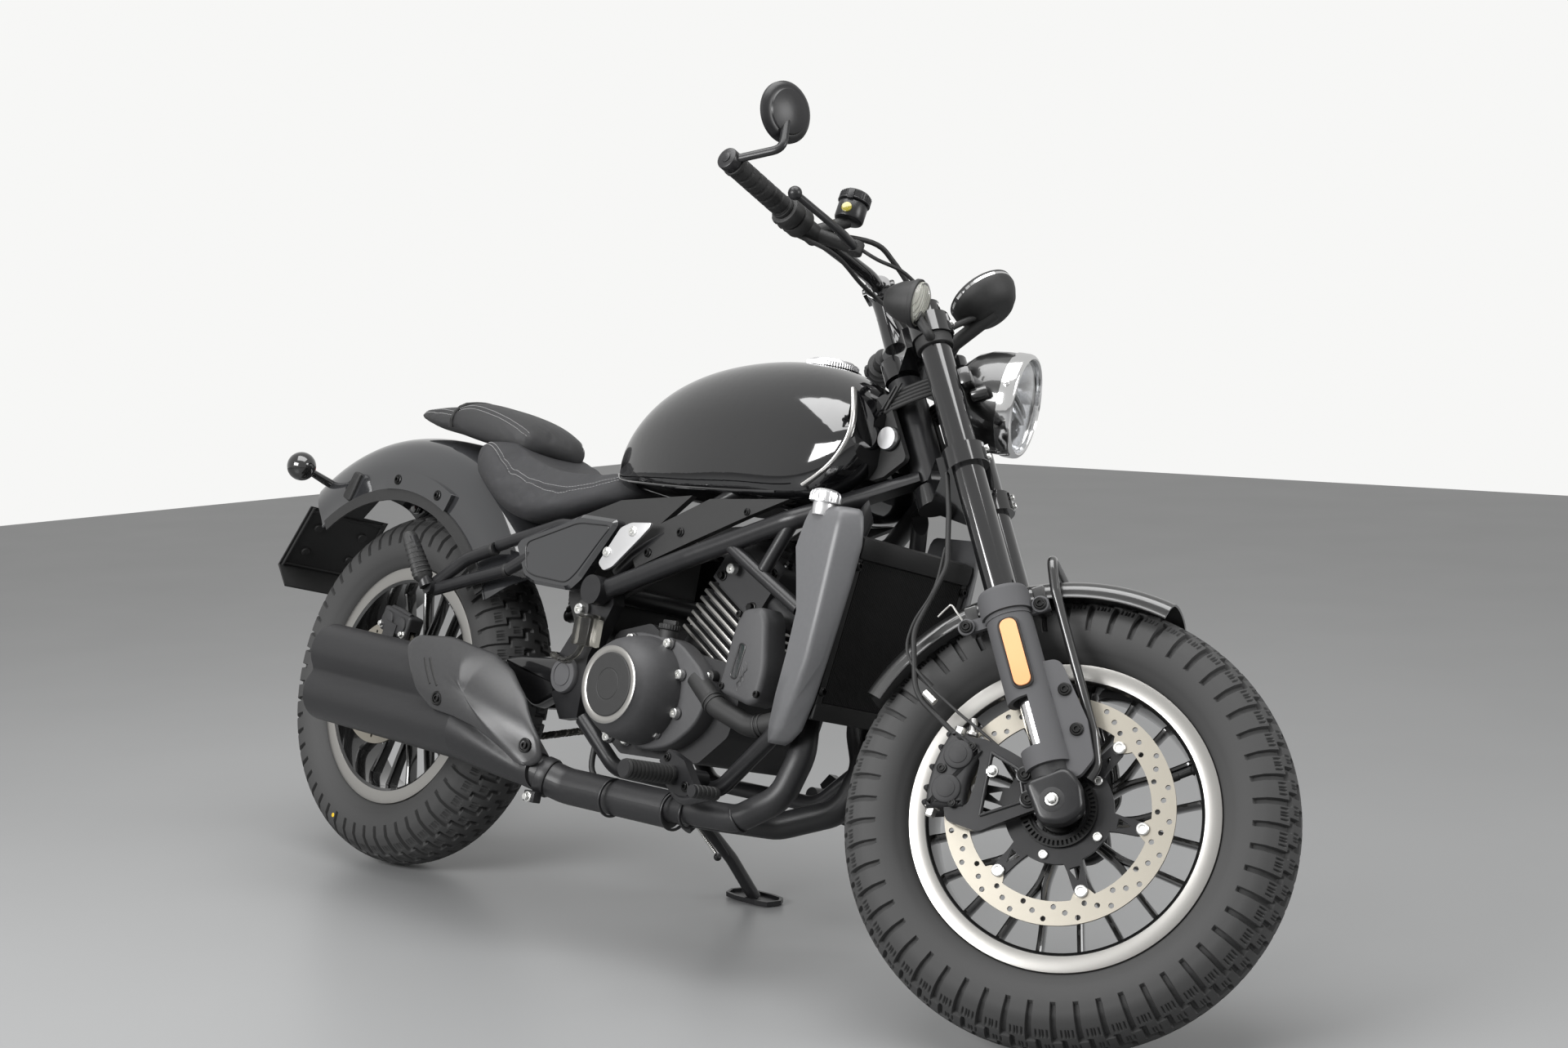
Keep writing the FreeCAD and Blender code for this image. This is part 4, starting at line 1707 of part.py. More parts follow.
def moved(shape, placement):
    placed = shape.copy()
    placed.Placement = placement.multiply(placed.Placement)
    return placed


ON_FORK = PARKED.multiply(STEERED).multiply(FORK_FRAME)
ON_REAR_AXLE = PARKED.multiply(Placement(REAR_AXLE, Rotation()))

front_wheel = {
    "front_tyre": tyre(FRONT_TYRE_RADIUS, FRONT_TYRE_WIDTH, FRONT_CROWN_RADIUS, FRONT_RIM_WIDTH),
    "front_rim": rim(FRONT_RIM_WIDTH),
    "front_disc": brake_disc(FRONT_DISC_RADIUS, FRONT_DISC_BAND, FRONT_DISC_OFFSET),
}
rear_wheel = {
    "rear_tyre": tyre(REAR_TYRE_RADIUS, REAR_TYRE_WIDTH, REAR_CROWN_RADIUS, REAR_RIM_WIDTH),
    "rear_rim": rim(REAR_RIM_WIDTH),
    "rear_disc": brake_disc(REAR_DISC_RADIUS, REAR_DISC_BAND, REAR_DISC_OFFSET),
    "rear_sprocket": sprocket(),
}

placed = {}
for name, shape in chassis_pieces().items():
    placed[name] = moved(shape, PARKED)
placed["side_stand"] = moved(side_stand(), PARKED)
for name, shape in steering_pieces().items():
    placed[name] = moved(shape, ON_FORK)
for name, shape in front_wheel.items():
    placed[name] = moved(shape, ON_FORK)
for name, shape in rear_wheel.items():
    placed[name] = moved(shape, ON_REAR_AXLE)

# The origin is the middle of the parked motorcycle's footprint
bounds = FreeCAD.BoundBox()
for shape in placed.values():
    bounds.add(shape.optimalBoundingBox(False))
SHIFT = Vector(-bounds.Center.x, -bounds.Center.y, -bounds.ZMin)
TO_ROW = Placement(SHIFT, Rotation())

for name, shape in placed.items():
    placed[name] = moved(shape, TO_ROW)
    placed[name].exportStep(f"parts/{name}.step")
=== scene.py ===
import json
from math import acos, asin, atan2, copysign, cos, hypot, pi, radians, sin, sqrt, tan, tau

import bmesh
import bpy
from bpy.props import FloatProperty, FloatVectorProperty, IntProperty, PointerProperty
from mathutils import Matrix, Vector
from mathutils.bvhtree import BVHTree
from mathutils.kdtree import KDTree


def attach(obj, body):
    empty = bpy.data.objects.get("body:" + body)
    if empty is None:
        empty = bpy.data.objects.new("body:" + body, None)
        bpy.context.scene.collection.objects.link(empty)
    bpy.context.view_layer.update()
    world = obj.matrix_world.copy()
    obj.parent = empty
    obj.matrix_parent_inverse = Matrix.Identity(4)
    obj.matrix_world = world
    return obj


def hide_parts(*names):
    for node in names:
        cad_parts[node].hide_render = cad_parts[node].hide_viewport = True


bl_info = {
    "name": "Cruiser Motorcycle Finish",
    "version": (1, 0, 0),
    "blender": (4, 5, 0),
    "location": "3D View > Sidebar > Motorcycle",
    "description": "Dresses a parked cruiser motorcycle with its finishes and fine parts",
    "category": "Object",
}

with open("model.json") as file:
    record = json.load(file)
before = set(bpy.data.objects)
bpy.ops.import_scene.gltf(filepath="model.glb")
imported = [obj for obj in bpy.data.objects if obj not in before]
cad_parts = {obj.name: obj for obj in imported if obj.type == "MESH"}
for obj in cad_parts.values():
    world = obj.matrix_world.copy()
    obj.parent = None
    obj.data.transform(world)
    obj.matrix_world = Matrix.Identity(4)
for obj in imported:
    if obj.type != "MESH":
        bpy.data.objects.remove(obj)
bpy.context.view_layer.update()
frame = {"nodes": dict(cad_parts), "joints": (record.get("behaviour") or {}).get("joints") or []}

# Pieces are drawn in millimetres: x forward, y to the left, z up from the floor under the rear
# axle or from that axle itself, or about the front axle with z up the fork legs. Matrices set
# them in place in metres.
MM = 0.001
RAKE = radians(30.0)
REAR_TYRE_RADIUS = 323.0
FRONT_TYRE_RADIUS = 320.0
LEG_Y = 98.0
LEG_X = 5.0
WHEELBASE = 1485.0
FORK_UNIT = 800.0
BAR_HALF = 405.0
IMAGE_WIDTH = 1920
FOCAL_PIXELS = 2731.65
CAMERA_FROM_REAR = (3.3529, -2.3231, 1.0627)
CAMERA_HEADING = 2.35228
CAMERA_PITCH = -0.111349
CAMERA_ROLL = -0.021615
SENSOR_WIDTH = 36.0
CLIP_START = 0.05
LENS_IOR = 1.45


def joint_ray(name):
    """A joint's point and axis in the row frame, in metres."""
    joint = next(item for item in frame["joints"] if item["name"] == name)
    return Vector(joint["pos_m"]), Vector(joint["axis"]).normalized()


def drawing_frame(origin, x_axis, y_axis, z_axis):
    """Matrix from millimetres along three axes to metres in the row frame."""
    turn = Matrix((x_axis, y_axis, z_axis)).transposed().to_4x4()
    return Matrix.Translation(origin) @ turn @ Matrix.Scale(MM, 4)


def motorcycle_frame():
    axle, left = joint_ray("rear_wheel_spin")
    steer = joint_ray("steering")[1]
    ahead = left.cross(steer)
    forward = ahead * cos(RAKE) - steer * sin(RAKE)
    up = ahead * sin(RAKE) + steer * cos(RAKE)
    return drawing_frame(axle - up * REAR_TYRE_RADIUS * MM, forward, left, up)


def fork_frame():
    axle, left = joint_ray("front_wheel_spin")
    steer = joint_ray("steering")[1]
    return drawing_frame(axle, left.cross(steer), left, steer)


BIKE = motorcycle_frame()
FORK = fork_frame()
REAR_WHEEL = BIKE @ Matrix.Translation((0, 0, REAR_TYRE_RADIUS))
FORWARD_ON_FORK = Vector((cos(RAKE), 0, -sin(RAKE)))
UP_ON_FORK = Vector((sin(RAKE), 0, cos(RAKE)))
X = Vector((1, 0, 0))
Y = Vector((0, 1, 0))
Z = Vector((0, 0, 1))
SIDES = (-1, 1)
SMOOTH_ANGLE = 35.0
CAST_ANGLE = 30.0
MERGE_DISTANCE = 0.01

# What a piece is drawn on: the matrix of its drawing and the body that it rides on
ON_CHASSIS = (BIKE, "chassis")
ON_REAR_AXLE = (REAR_WHEEL, "chassis")
ON_STAND = (BIKE, "side_stand")
ON_STEERING = (FORK, "steering")
ON_WHEEL = {"front": (FORK, "front_wheel"), "rear": (REAR_WHEEL, "rear_wheel")}


# Drawing helpers

def on_bike(along, y, up):
    return Vector((along * WHEELBASE, y, up * WHEELBASE))


def on_fork(shares):
    return Vector((shares[0] * FORK_UNIT, shares[1] * BAR_HALF, shares[2] * FORK_UNIT))


def in_mm(outline):
    return [(along * WHEELBASE, up * WHEELBASE) for along, up in outline]


def upright(y):
    """The upright plane at y, seen from the right. What is pushed out of it grows to the right."""
    return Vector((0, y, 0)), X, Z


def across(axis):
    """Two directions square to an axis and to each other."""
    axis = axis.normalized()
    other = X if abs(axis.x) < 0.9 else Y
    first = axis.cross(other).normalized()
    return first, axis.cross(first)


def upward(axis):
    """The upward direction square to an axis that faces ahead."""
    return axis.cross(Y).normalized()


def ring_of(sketch, centre, u, v, count):
    step = tau / count
    return [sketch.verts.new(centre + u * cos(step * i) + v * sin(step * i)) for i in range(count)]


def bridge(sketch, lower, upper):
    count = len(lower)
    for i in range(count):
        j = (i + 1) % count
        sketch.faces.new((lower[i], lower[j], upper[j], upper[i]))


def loft(sketch, rings):
    """Joins rings of equally many points to a closed form with flat ends."""
    for lower, upper in zip(rings, rings[1:]):
        bridge(sketch, lower, upper)
    sketch.faces.new(list(reversed(rings[0])))
    sketch.faces.new(rings[-1])


def lathe(sketch, profile, at, axis, steps=40, closed=False):
    """Turns (radius, height) points about an axis. A point on the axis becomes a pole."""
    axis = axis.normalized()
    u, v = across(axis)
    rings = []
    for radius, height in profile:
        centre = at + axis * height
        if radius < 1e-6:
            rings.append([sketch.verts.new(centre)])
        else:
            rings.append(ring_of(sketch, centre, u * radius, v * radius, steps))
    pairs = list(zip(rings, rings[1:]))
    if closed:
        pairs.append((rings[-1], rings[0]))
    for lower, upper in pairs:
        if len(lower) > 1 and len(upper) > 1:
            bridge(sketch, lower, upper)
            continue
        ring, pole = (lower, upper[0]) if len(upper) == 1 else (upper, lower[0])
        if len(ring) == 1:
            continue
        for i in range(steps):
            sketch.faces.new((ring[i], ring[(i + 1) % steps], pole))


def smooth_path(points, steps=6):
    """Points along a smooth line through the given ones."""
    points = [Vector(point) for point in points]
    if len(points) < 3:
        return points
    ends = [2 * points[0] - points[1]] + points + [2 * points[-1] - points[-2]]
    path = []
    for i in range(1, len(ends) - 2):
        a, b, c, d = ends[i - 1:i + 3]
        for step in range(steps):
            t = step / steps
            path.append(0.5 * (2 * b + (c - a) * t + (2 * a - 5 * b + 4 * c - d) * t * t
                               + (3 * b - a - 3 * c + d) * t ** 3))
    path.append(points[-1])
    return path


def tube(sketch, path, radius, sides=12, squash=1.0):
    """A closed tube along a path. The radius may be one number or one for each point."""
    path = [Vector(point) for point in path]
    radii = radius if isinstance(radius, (list, tuple)) else [radius] * len(path)
    heading = (path[1] - path[0]).normalized()
    u, v = across(heading)
    rings = []
    for i, point in enumerate(path):
        before = path[max(i - 1, 0)]
        after = path[min(i + 1, len(path) - 1)]
        run = (after - before).normalized()
        u = (u - run * u.dot(run)).normalized()
        v = run.cross(u)
        rings.append(ring_of(sketch, point, u * radii[i], v * radii[i] * squash, sides))
    loft(sketch, rings)


def cable(sketch, points, radius, sides=10, steps=6):
    """A tube along a smooth line through the points."""
    tube(sketch, smooth_path(points, steps), radius, sides)


def corner_arc(start, corner, end, steps):
    """Points round a soft corner, from start to end."""
    shares = [step / steps for step in range(steps + 1)]
    return [start * (1 - t) ** 2 + corner * 2 * t * (1 - t) + end * t * t for t in shares]


def bent(points, radius, steps=6):
    """A path of straight runs joined by round bends."""
    points = [Vector(point) for point in points]
    path = [points[0]]
    for before, corner, after in zip(points, points[1:], points[2:]):
        back, on = before - corner, after - corner
        turn = pi - back.angle(on)
        reach = min(radius * tan(turn / 2), 0.45 * back.length, 0.45 * on.length)
        start, end = corner + back.normalized() * reach, corner + on.normalized() * reach
        path += corner_arc(start, corner, end, steps)
    path.append(points[-1])
    return path


def rounded(outline, radius, steps=4):
    """An outline of 2D points with its corners rounded."""
    count = len(outline)
    result = []
    for i in range(count):
        corner = Vector(outline[i])
        before = Vector(outline[i - 1]) - corner
        after = Vector(outline[(i + 1) % count]) - corner
        reach = min(radius, before.length * 0.45, after.length * 0.45)
        start = corner + before.normalized() * reach
        end = corner + after.normalized() * reach
        result += corner_arc(start, corner, end, steps)
    return result


def rounded_shape(radius, height, edge=1.5, hole=0.0):
    """A profile of a drum with rounded edges, from its foot to its top."""
    soft = [(radius - edge, 0), (radius - edge * 0.3, edge * 0.3), (radius, edge),
            (radius, height - edge), (radius - edge * 0.3, height - edge * 0.3), (radius - edge, height)]
    return [(hole, 0)] + soft + [(hole, height)]


def drum(sketch, at, axis, radius, height, edge=1.5, steps=32, hole=0.0):
    lathe(sketch, rounded_shape(radius, height, edge, hole), Vector(at), Vector(axis), steps, closed=hole > 0)


def slab(sketch, outline, place, depth, bevel=0.0):
    """A flat outline pushed out from place to a plate, its outer rim chamfered inwards.

    place is (origin, first axis, second axis); the plate grows along first x second.
    """
    origin, u, v = place
    normal = u.cross(v).normalized()
    middle = sum((Vector(point) for point in outline), Vector((0, 0))) / len(outline)

    def loop(height, inset):
        ring = []
        for i, point in enumerate(outline):
            point = Vector(point)
            if inset:
                before = Vector(outline[i - 1])
                after = Vector(outline[(i + 1) % len(outline)])
                along = (after - before).normalized()
                inward = Vector((-along.y, along.x))
                if inward.dot(middle - point) < 0 and abs(inward.dot((middle - point).normalized())) > 0.2:
                    inward = -inward
                point = point + inward * inset
            ring.append(sketch.verts.new(origin + u * point.x + v * point.y + normal * height))
        return ring

    low = loop(0.0, 0.0)
    wall = loop(depth - bevel, 0.0)
    bridge(sketch, low, wall)
    top = wall
    if bevel:
        for share in (0.4, 0.75, 1.0):
            turn = share * pi / 2
            ring = loop(depth - bevel + bevel * sin(turn), bevel * (1 - cos(turn)))
            bridge(sketch, top, ring)
            top = ring
    sketch.faces.new(list(reversed(low)))
    sketch.faces.new(top)


def pierced(sketch, loops, place, depth):
    """A flat plate with holes: the first loop is its outline and the others are cut out."""
    origin, u, v = place
    normal = u.cross(v).normalized()
    flat = bmesh.new()
    edges = []
    for loop in loops:
        verts = [flat.verts.new((point[0], point[1], 0)) for point in loop]
        edges += [flat.edges.new((verts[i - 1], verts[i])) for i in range(len(verts))]
    bmesh.ops.triangle_fill(flat, use_beauty=True, use_dissolve=False, edges=edges)
    flat.verts.index_update()
    layers = []
    for height in (0.0, depth):
        layers.append([sketch.verts.new(origin + u * vert.co.x + v * vert.co.y + normal * height)
                       for vert in flat.verts])
    for face in flat.faces:
        keys = [vert.index for vert in face.verts]
        sketch.faces.new([layers[1][key] for key in keys])
        sketch.faces.new([layers[0][key] for key in reversed(keys)])
    for edge in flat.edges:
        if len(edge.link_faces) == 1:
            a, b = (vert.index for vert in edge.verts)
            sketch.faces.new((layers[0][a], layers[0][b], layers[1][b], layers[1][a]))
    flat.free()


def circle(radius, count, centre=(0, 0)):
    step = tau / count
    return [(centre[0] + radius * cos(step * i), centre[1] + radius * sin(step * i))
            for i in range(count)]


def ring_sector(inner, outer, start, end, steps=24):
    """Outline of a part of a ring between two bearings."""
    turns = [radians(start + (end - start) * i / steps) for i in range(steps + 1)]
    return ([(outer * cos(a), outer * sin(a)) for a in turns]
            + [(inner * cos(a), inner * sin(a)) for a in reversed(turns)])


def spaced(outline, step):
    """A closed outline with a point about every step along it."""
    points = []
    for start, end in zip(outline, outline[1:] + outline[:1]):
        parts = max(1, round((end - start).length / step))
        points += [start.lerp(end, i / parts) for i in range(parts)]
    return points


def box(sketch, low, high, bevel=0.0, turn=None):
    """A box between two corners with bevelled edges, turned by a matrix when one is given."""
    low, high = Vector(low), Vector(high)
    made = bmesh.new()
    bmesh.ops.create_cube(made, size=1.0)
    bmesh.ops.transform(made, matrix=Matrix.LocRotScale((low + high) / 2, None, high - low), verts=made.verts)
    if bevel:
        bmesh.ops.bevel(made, geom=list(made.edges), offset=bevel, segments=2, affect="EDGES", profile=0.6)
    if turn is not None:
        bmesh.ops.transform(made, matrix=turn, verts=made.verts)
    copy_into(sketch, made)


def copy_into(sketch, made, matrix=None):
    """Adds one drawing to another and frees it."""
    made.verts.index_update()
    verts = [sketch.verts.new(matrix @ vert.co if matrix else vert.co) for vert in made.verts]
    for face in made.faces:
        sketch.faces.new([verts[vert.index] for vert in face.verts])
    made.free()


def mirrored(sketch):
    """Adds the drawing's mirror image on the other side of the middle plane."""
    sketch.verts.index_update()
    faces = list(sketch.faces)
    twins = [sketch.verts.new((vert.co.x, -vert.co.y, vert.co.z)) for vert in list(sketch.verts)]
    for face in faces:
        sketch.faces.new([twins[vert.index] for vert in reversed(face.verts)])


def finished(name, sketch, home, material, smooth=SMOOTH_ANGLE):
    """Makes a drawing a piece in its place, riding on its body."""
    place, body = home
    bmesh.ops.remove_doubles(sketch, verts=sketch.verts, dist=MERGE_DISTANCE)
    bmesh.ops.recalc_face_normals(sketch, faces=sketch.faces)
    sketch.transform(place)
    mesh = bpy.data.meshes.new(name)
    sketch.to_mesh(mesh)
    sketch.free()
    return mesh_piece(name, mesh, body, material, smooth)


def mesh_piece(name, mesh, body, material, smooth=SMOOTH_ANGLE):
    mesh.materials.append(bpy.data.materials[material])
    mesh.polygons.foreach_set("use_smooth", [True] * len(mesh.polygons))
    mesh.set_sharp_from_angle(angle=radians(smooth))
    made = bpy.data.objects.new(name, mesh)
    bpy.context.scene.collection.objects.link(made)
    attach(made, body)
    return made


# Shader node groups

def group_socket(group, name, kind, way="INPUT", value=None):
    socket = group.interface.new_socket(name, in_out=way, socket_type=kind)
    if value is not None:
        socket.default_value = value


def link(tree, source, target):
    tree.links.new(source, target)


def maths(tree, operation, a, b=None):
    node = tree.nodes.new("ShaderNodeMath")
    node.operation = operation
    for index, value in enumerate((a, b)):
        if value is None:
            continue
        if isinstance(value, (int, float)):
            node.inputs[index].default_value = value
        else:
            link(tree, value, node.inputs[index])
    return node.outputs[0]


def mixed_colour(tree, factor, first, second):
    node = tree.nodes.new("ShaderNodeMix")
    node.data_type = "RGBA"
    link(tree, factor, node.inputs["Factor"])
    link(tree, first, node.inputs[6])
    link(tree, second, node.inputs[7])
    return node.outputs[2]


def surface_group(name, texture):
    """A group that turns Object coordinates into colour, roughness and height.

    texture builds the pattern, a value from 0 to 1, from the tree, scaled coordinates and inputs.
    """
    group = bpy.data.node_groups.new(name, "ShaderNodeTree")
    group_socket(group, "Scale", "NodeSocketFloat", value=100.0)
    group_socket(group, "Colour", "NodeSocketColor", value=(0.1, 0.1, 0.1, 1))
    group_socket(group, "Second Colour", "NodeSocketColor", value=(0.15, 0.15, 0.15, 1))
    group_socket(group, "Roughness", "NodeSocketFloat", value=0.4)
    group_socket(group, "Roughness Change", "NodeSocketFloat", value=0.1)
    group_socket(group, "Colour", "NodeSocketColor", "OUTPUT")
    group_socket(group, "Roughness", "NodeSocketFloat", "OUTPUT")
    group_socket(group, "Height", "NodeSocketFloat", "OUTPUT")
    enter = group.nodes.new("NodeGroupInput")
    leave = group.nodes.new("NodeGroupOutput")
    where = group.nodes.new("ShaderNodeTexCoord")
    height, tint = texture(group, where.outputs["Object"], enter.outputs["Scale"])
    colour = mixed_colour(group, tint, enter.outputs["Colour"], enter.outputs["Second Colour"])
    link(group, colour, leave.inputs["Colour"])
    change = maths(group, "MULTIPLY", maths(group, "SUBTRACT", tint, 0.5), enter.outputs["Roughness Change"])
    link(group, maths(group, "ADD", enter.outputs["Roughness"], change), leave.inputs["Roughness"])
    link(group, height, leave.inputs["Height"])
    return group


def noise(tree, where, scale, factor=1.0, detail=4.0, roughness=0.5):
    node = tree.nodes.new("ShaderNodeTexNoise")
    link(tree, where, node.inputs["Vector"])
    link(tree, maths(tree, "MULTIPLY", scale, factor), node.inputs["Scale"])
    node.inputs["Detail"].default_value = detail
    node.inputs["Roughness"].default_value = roughness
    return node.outputs["Fac"]


def grain_texture(tree, where, scale):
    """Fine even grain, as of paint, plastic or sand casting."""
    fine = noise(tree, where, scale)
    broad = noise(tree, where, scale, 0.06, 3.0)
    return fine, broad


def hide_texture(tree, where, scale):
    """Pebbled cells with softer folds between, as of an embossed seat cover."""
    cells = tree.nodes.new("ShaderNodeTexVoronoi")
    cells.feature = "DISTANCE_TO_EDGE"
    link(tree, where, cells.inputs["Vector"])
    link(tree, scale, cells.inputs["Scale"])
    ridge = maths(tree, "MINIMUM", maths(tree, "MULTIPLY", cells.outputs["Distance"], 2.4), 1.0)
    folds = noise(tree, where, scale, 0.1, 5.0, 0.6)
    return maths(tree, "ADD", maths(tree, "MULTIPLY", ridge, 0.6), maths(tree, "MULTIPLY", folds, 0.7)), folds


def brushed_texture(tree, where, scale):
    """Long fine lines round or along a turned or brushed metal face."""
    stretch = tree.nodes.new("ShaderNodeMapping")
    link(tree, where, stretch.inputs["Vector"])
    stretch.inputs["Scale"].default_value = (1.0, 14.0, 14.0)
    lines = noise(tree, stretch.outputs["Vector"], scale, 1.0, 6.0, 0.7)
    return lines, lines


def moulded_texture(tree, where, scale):
    """Rubber with faint ribs of the mould and a soft bloom."""
    fine = noise(tree, where, scale, 1.0, 6.0, 0.65)
    bloom = noise(tree, where, scale, 0.04, 4.0, 0.6)
    return fine, bloom


SURFACES = {"grain": grain_texture, "hide": hide_texture, "brushed": brushed_texture,
            "moulded": moulded_texture}


def finish(name, surface, colour, second, roughness, change, scale, bump, metallic=0.0, coat=0.0,
           specular=0.5):
    """A material whose colour, roughness and bump come from one of the surface groups."""
    material = bpy.data.materials.new(name)
    material.use_nodes = True
    tree = material.node_tree
    shader = tree.nodes["Principled BSDF"]
    pattern = tree.nodes.new("ShaderNodeGroup")
    pattern.node_tree = bpy.data.node_groups[surface]
    pattern.inputs["Scale"].default_value = scale
    pattern.inputs["Colour"].default_value = (*colour, 1)
    pattern.inputs["Second Colour"].default_value = (*second, 1)
    pattern.inputs["Roughness"].default_value = roughness
    pattern.inputs["Roughness Change"].default_value = change
    bump_node = tree.nodes.new("ShaderNodeBump")
    bump_node.inputs["Strength"].default_value = bump
    bump_node.inputs["Distance"].default_value = MM
    link(tree, pattern.outputs["Height"], bump_node.inputs["Height"])
    link(tree, bump_node.outputs["Normal"], shader.inputs["Normal"])
    link(tree, pattern.outputs["Colour"], shader.inputs["Base Color"])
    link(tree, pattern.outputs["Roughness"], shader.inputs["Roughness"])
    shader.inputs["Metallic"].default_value = metallic
    shader.inputs["Coat Weight"].default_value = coat
    shader.inputs["Specular IOR Level"].default_value = specular
    return material


def painted_glow(name, colour, strength):
    """Adds a painted glow to a finish: light of its own that stands for the light a reflector's lens gives back."""
    shader = bpy.data.materials[name].node_tree.nodes["Principled BSDF"]
    shader.inputs["Emission Color"].default_value = (*colour, 1)
    shader.inputs["Emission Strength"].default_value = strength


def clear(name, colour, roughness):
    """A clear moulded lens or glass with faint flow marks."""
    material = finish(name, "grain", colour, colour, roughness, 0.02, 300.0, 0.02)
    shader = material.node_tree.nodes["Principled BSDF"]
    shader.inputs["Transmission Weight"].default_value = 1.0
    shader.inputs["IOR"].default_value = LENS_IOR


# Geometry Nodes: one small piece repeated on a list of points that each have a facing

def repeat_tree():
    tree = bpy.data.node_groups.new("Repeat On Points", "GeometryNodeTree")
    tree.interface.new_socket("Geometry", in_out="INPUT", socket_type="NodeSocketGeometry")
    tree.interface.new_socket("Piece", in_out="INPUT", socket_type="NodeSocketObject")
    size = tree.interface.new_socket("Size", in_out="INPUT", socket_type="NodeSocketFloat")
    size.default_value = 1.0
    tree.interface.new_socket("Material", in_out="INPUT", socket_type="NodeSocketMaterial")
    tree.interface.new_socket("Geometry", in_out="OUTPUT", socket_type="NodeSocketGeometry")
    add = tree.nodes.new
    enter, leave = add("NodeGroupInput"), add("NodeGroupOutput")
    sample = add("GeometryNodeObjectInfo")
    facing, turning, growth = (add("GeometryNodeInputNamedAttribute") for _ in range(3))
    for node, name, kind in ((facing, "facing", "FLOAT_VECTOR"), (turning, "along", "FLOAT_VECTOR"),
                             (growth, "growth", "FLOAT")):
        node.data_type = kind
        node.inputs["Name"].default_value = name
    align, second = (add("FunctionNodeAlignRotationToVector") for _ in range(2))
    align.axis, second.axis = "Z", "X"
    second.pivot_axis = "Z"
    instance = add("GeometryNodeInstanceOnPoints")
    scale = add("ShaderNodeMath")
    scale.operation = "MULTIPLY"
    realize, colour = add("GeometryNodeRealizeInstances"), add("GeometryNodeSetMaterial")
    join = tree.links.new
    join(enter.outputs["Piece"], sample.inputs["Object"])
    join(facing.outputs[0], align.inputs["Vector"])
    join(align.outputs[0], second.inputs["Rotation"])
    join(turning.outputs[0], second.inputs["Vector"])
    join(enter.outputs["Geometry"], instance.inputs["Points"])
    join(sample.outputs["Geometry"], instance.inputs["Instance"])
    join(second.outputs[0], instance.inputs["Rotation"])
    join(enter.outputs["Size"], scale.inputs[0])
    join(growth.outputs[0], scale.inputs[1])
    join(scale.outputs[0], instance.inputs["Scale"])
    join(instance.outputs[0], realize.inputs[0])
    join(realize.outputs[0], colour.inputs["Geometry"])
    join(enter.outputs["Material"], colour.inputs["Material"])
    join(colour.outputs[0], leave.inputs[0])
    return tree


def repeated(name, template, spots, home, material):
    """Sets copies of a small drawing on spots of (point, facing, along, growth), as one piece."""
    place, body = home
    tree = bpy.data.node_groups.get("Repeat On Points") or repeat_tree()
    shape = bpy.data.meshes.new(name + "_template")
    bmesh.ops.recalc_face_normals(template, faces=template.faces)
    template.to_mesh(shape)
    template.free()
    sample = bpy.data.objects.new(name + "_template", shape)
    bpy.context.scene.collection.objects.link(sample)
    carrier = bpy.data.meshes.new(name + "_points")
    carrier.from_pydata([item[0] for item in spots], [], [])
    for key, index in (("facing", 1), ("along", 2)):
        layer = carrier.attributes.new(key, "FLOAT_VECTOR", "POINT")
        layer.data.foreach_set("vector", [c for item in spots for c in Vector(item[index]).normalized()])
    layer = carrier.attributes.new("growth", "FLOAT", "POINT")
    layer.data.foreach_set("value", [item[3] for item in spots])
    holder = bpy.data.objects.new(name, carrier)
    bpy.context.scene.collection.objects.link(holder)
    modifier = holder.modifiers.new("Repeat", "NODES")
    modifier.node_group = tree
    values = {"Piece": sample, "Size": 1.0, "Material": bpy.data.materials[material]}
    for item in tree.interface.items_tree:
        if item.item_type == "SOCKET" and item.in_out == "INPUT" and item.name in values:
            modifier[item.identifier] = values[item.name]
    bpy.context.view_layer.update()
    graph = bpy.context.evaluated_depsgraph_get()
    mesh = bpy.data.meshes.new_from_object(holder.evaluated_get(graph))
    bpy.data.objects.remove(holder)
    bpy.data.objects.remove(sample)
    mesh.transform(place)
    mesh.name = name
    mesh.materials.clear()
    mesh.update()
    return mesh_piece(name, mesh, body, material)


def spot(point, facing, growth=1.0, along=None):
    """Where a repeated drawing stands, what its z faces, its size and where its x heads."""
    facing = Vector(facing).normalized()
    return Vector(point), facing, Vector(along) if along else across(facing)[0], growth


def side_spots(places):
    """Spots that face outwards on both sides: x, distance from the middle, z and size of each."""
    return [spot((x, side * y, z), Y * side, growth) for x, y, z, growth in places for side in SIDES]


def right_spots(places):
    """Spots that face right: x, y, z and size of each."""
    return [spot((x, y, z), -Y, growth) for x, y, z, growth in places]


def piece(name, sketch, home, material, over=(), smooth=SMOOTH_ANGLE):
    """A finished drawing with its slot, standing in for the nodes it replaces."""
    made = finished(name, sketch, home, material, smooth)
    if over:
        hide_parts(*over)
    return made


def copies(name, template, spots, home, material="screw_zinc"):
    """Copies of a small drawing on spots, as one piece with its slot."""
    made = repeated(name, template, spots, home, material)
    return made


def socket_screw(radius=6.0, height=5.0):
    """A socket-head screw with a hollow hexagon."""
    sketch = bmesh.new()
    profile = [(0, -2.0), (radius, -2.0), (radius, height * 0.8), (radius * 0.86, height),
               (radius * 0.5, height), (radius * 0.46, height * 0.45), (0, height * 0.4)]
    lathe(sketch, profile, Vector(), Z, 12)
    return sketch


def flange_screw(radius=8.0, height=6.0):
    """A hexagon head on a round flange."""
    sketch = bmesh.new()
    lathe(sketch, [(0, -1.0), (radius, -1.0), (radius * 0.95, 1.5), (radius * 0.7, 2.0)], Vector(), Z, 12)
    lathe(sketch, [(0, 1.5), (radius * 0.68, 1.5), (radius * 0.68, height), (radius * 0.55, height + 0.8),
                   (0, height + 0.9)], Vector(), Z, 6)
    return sketch


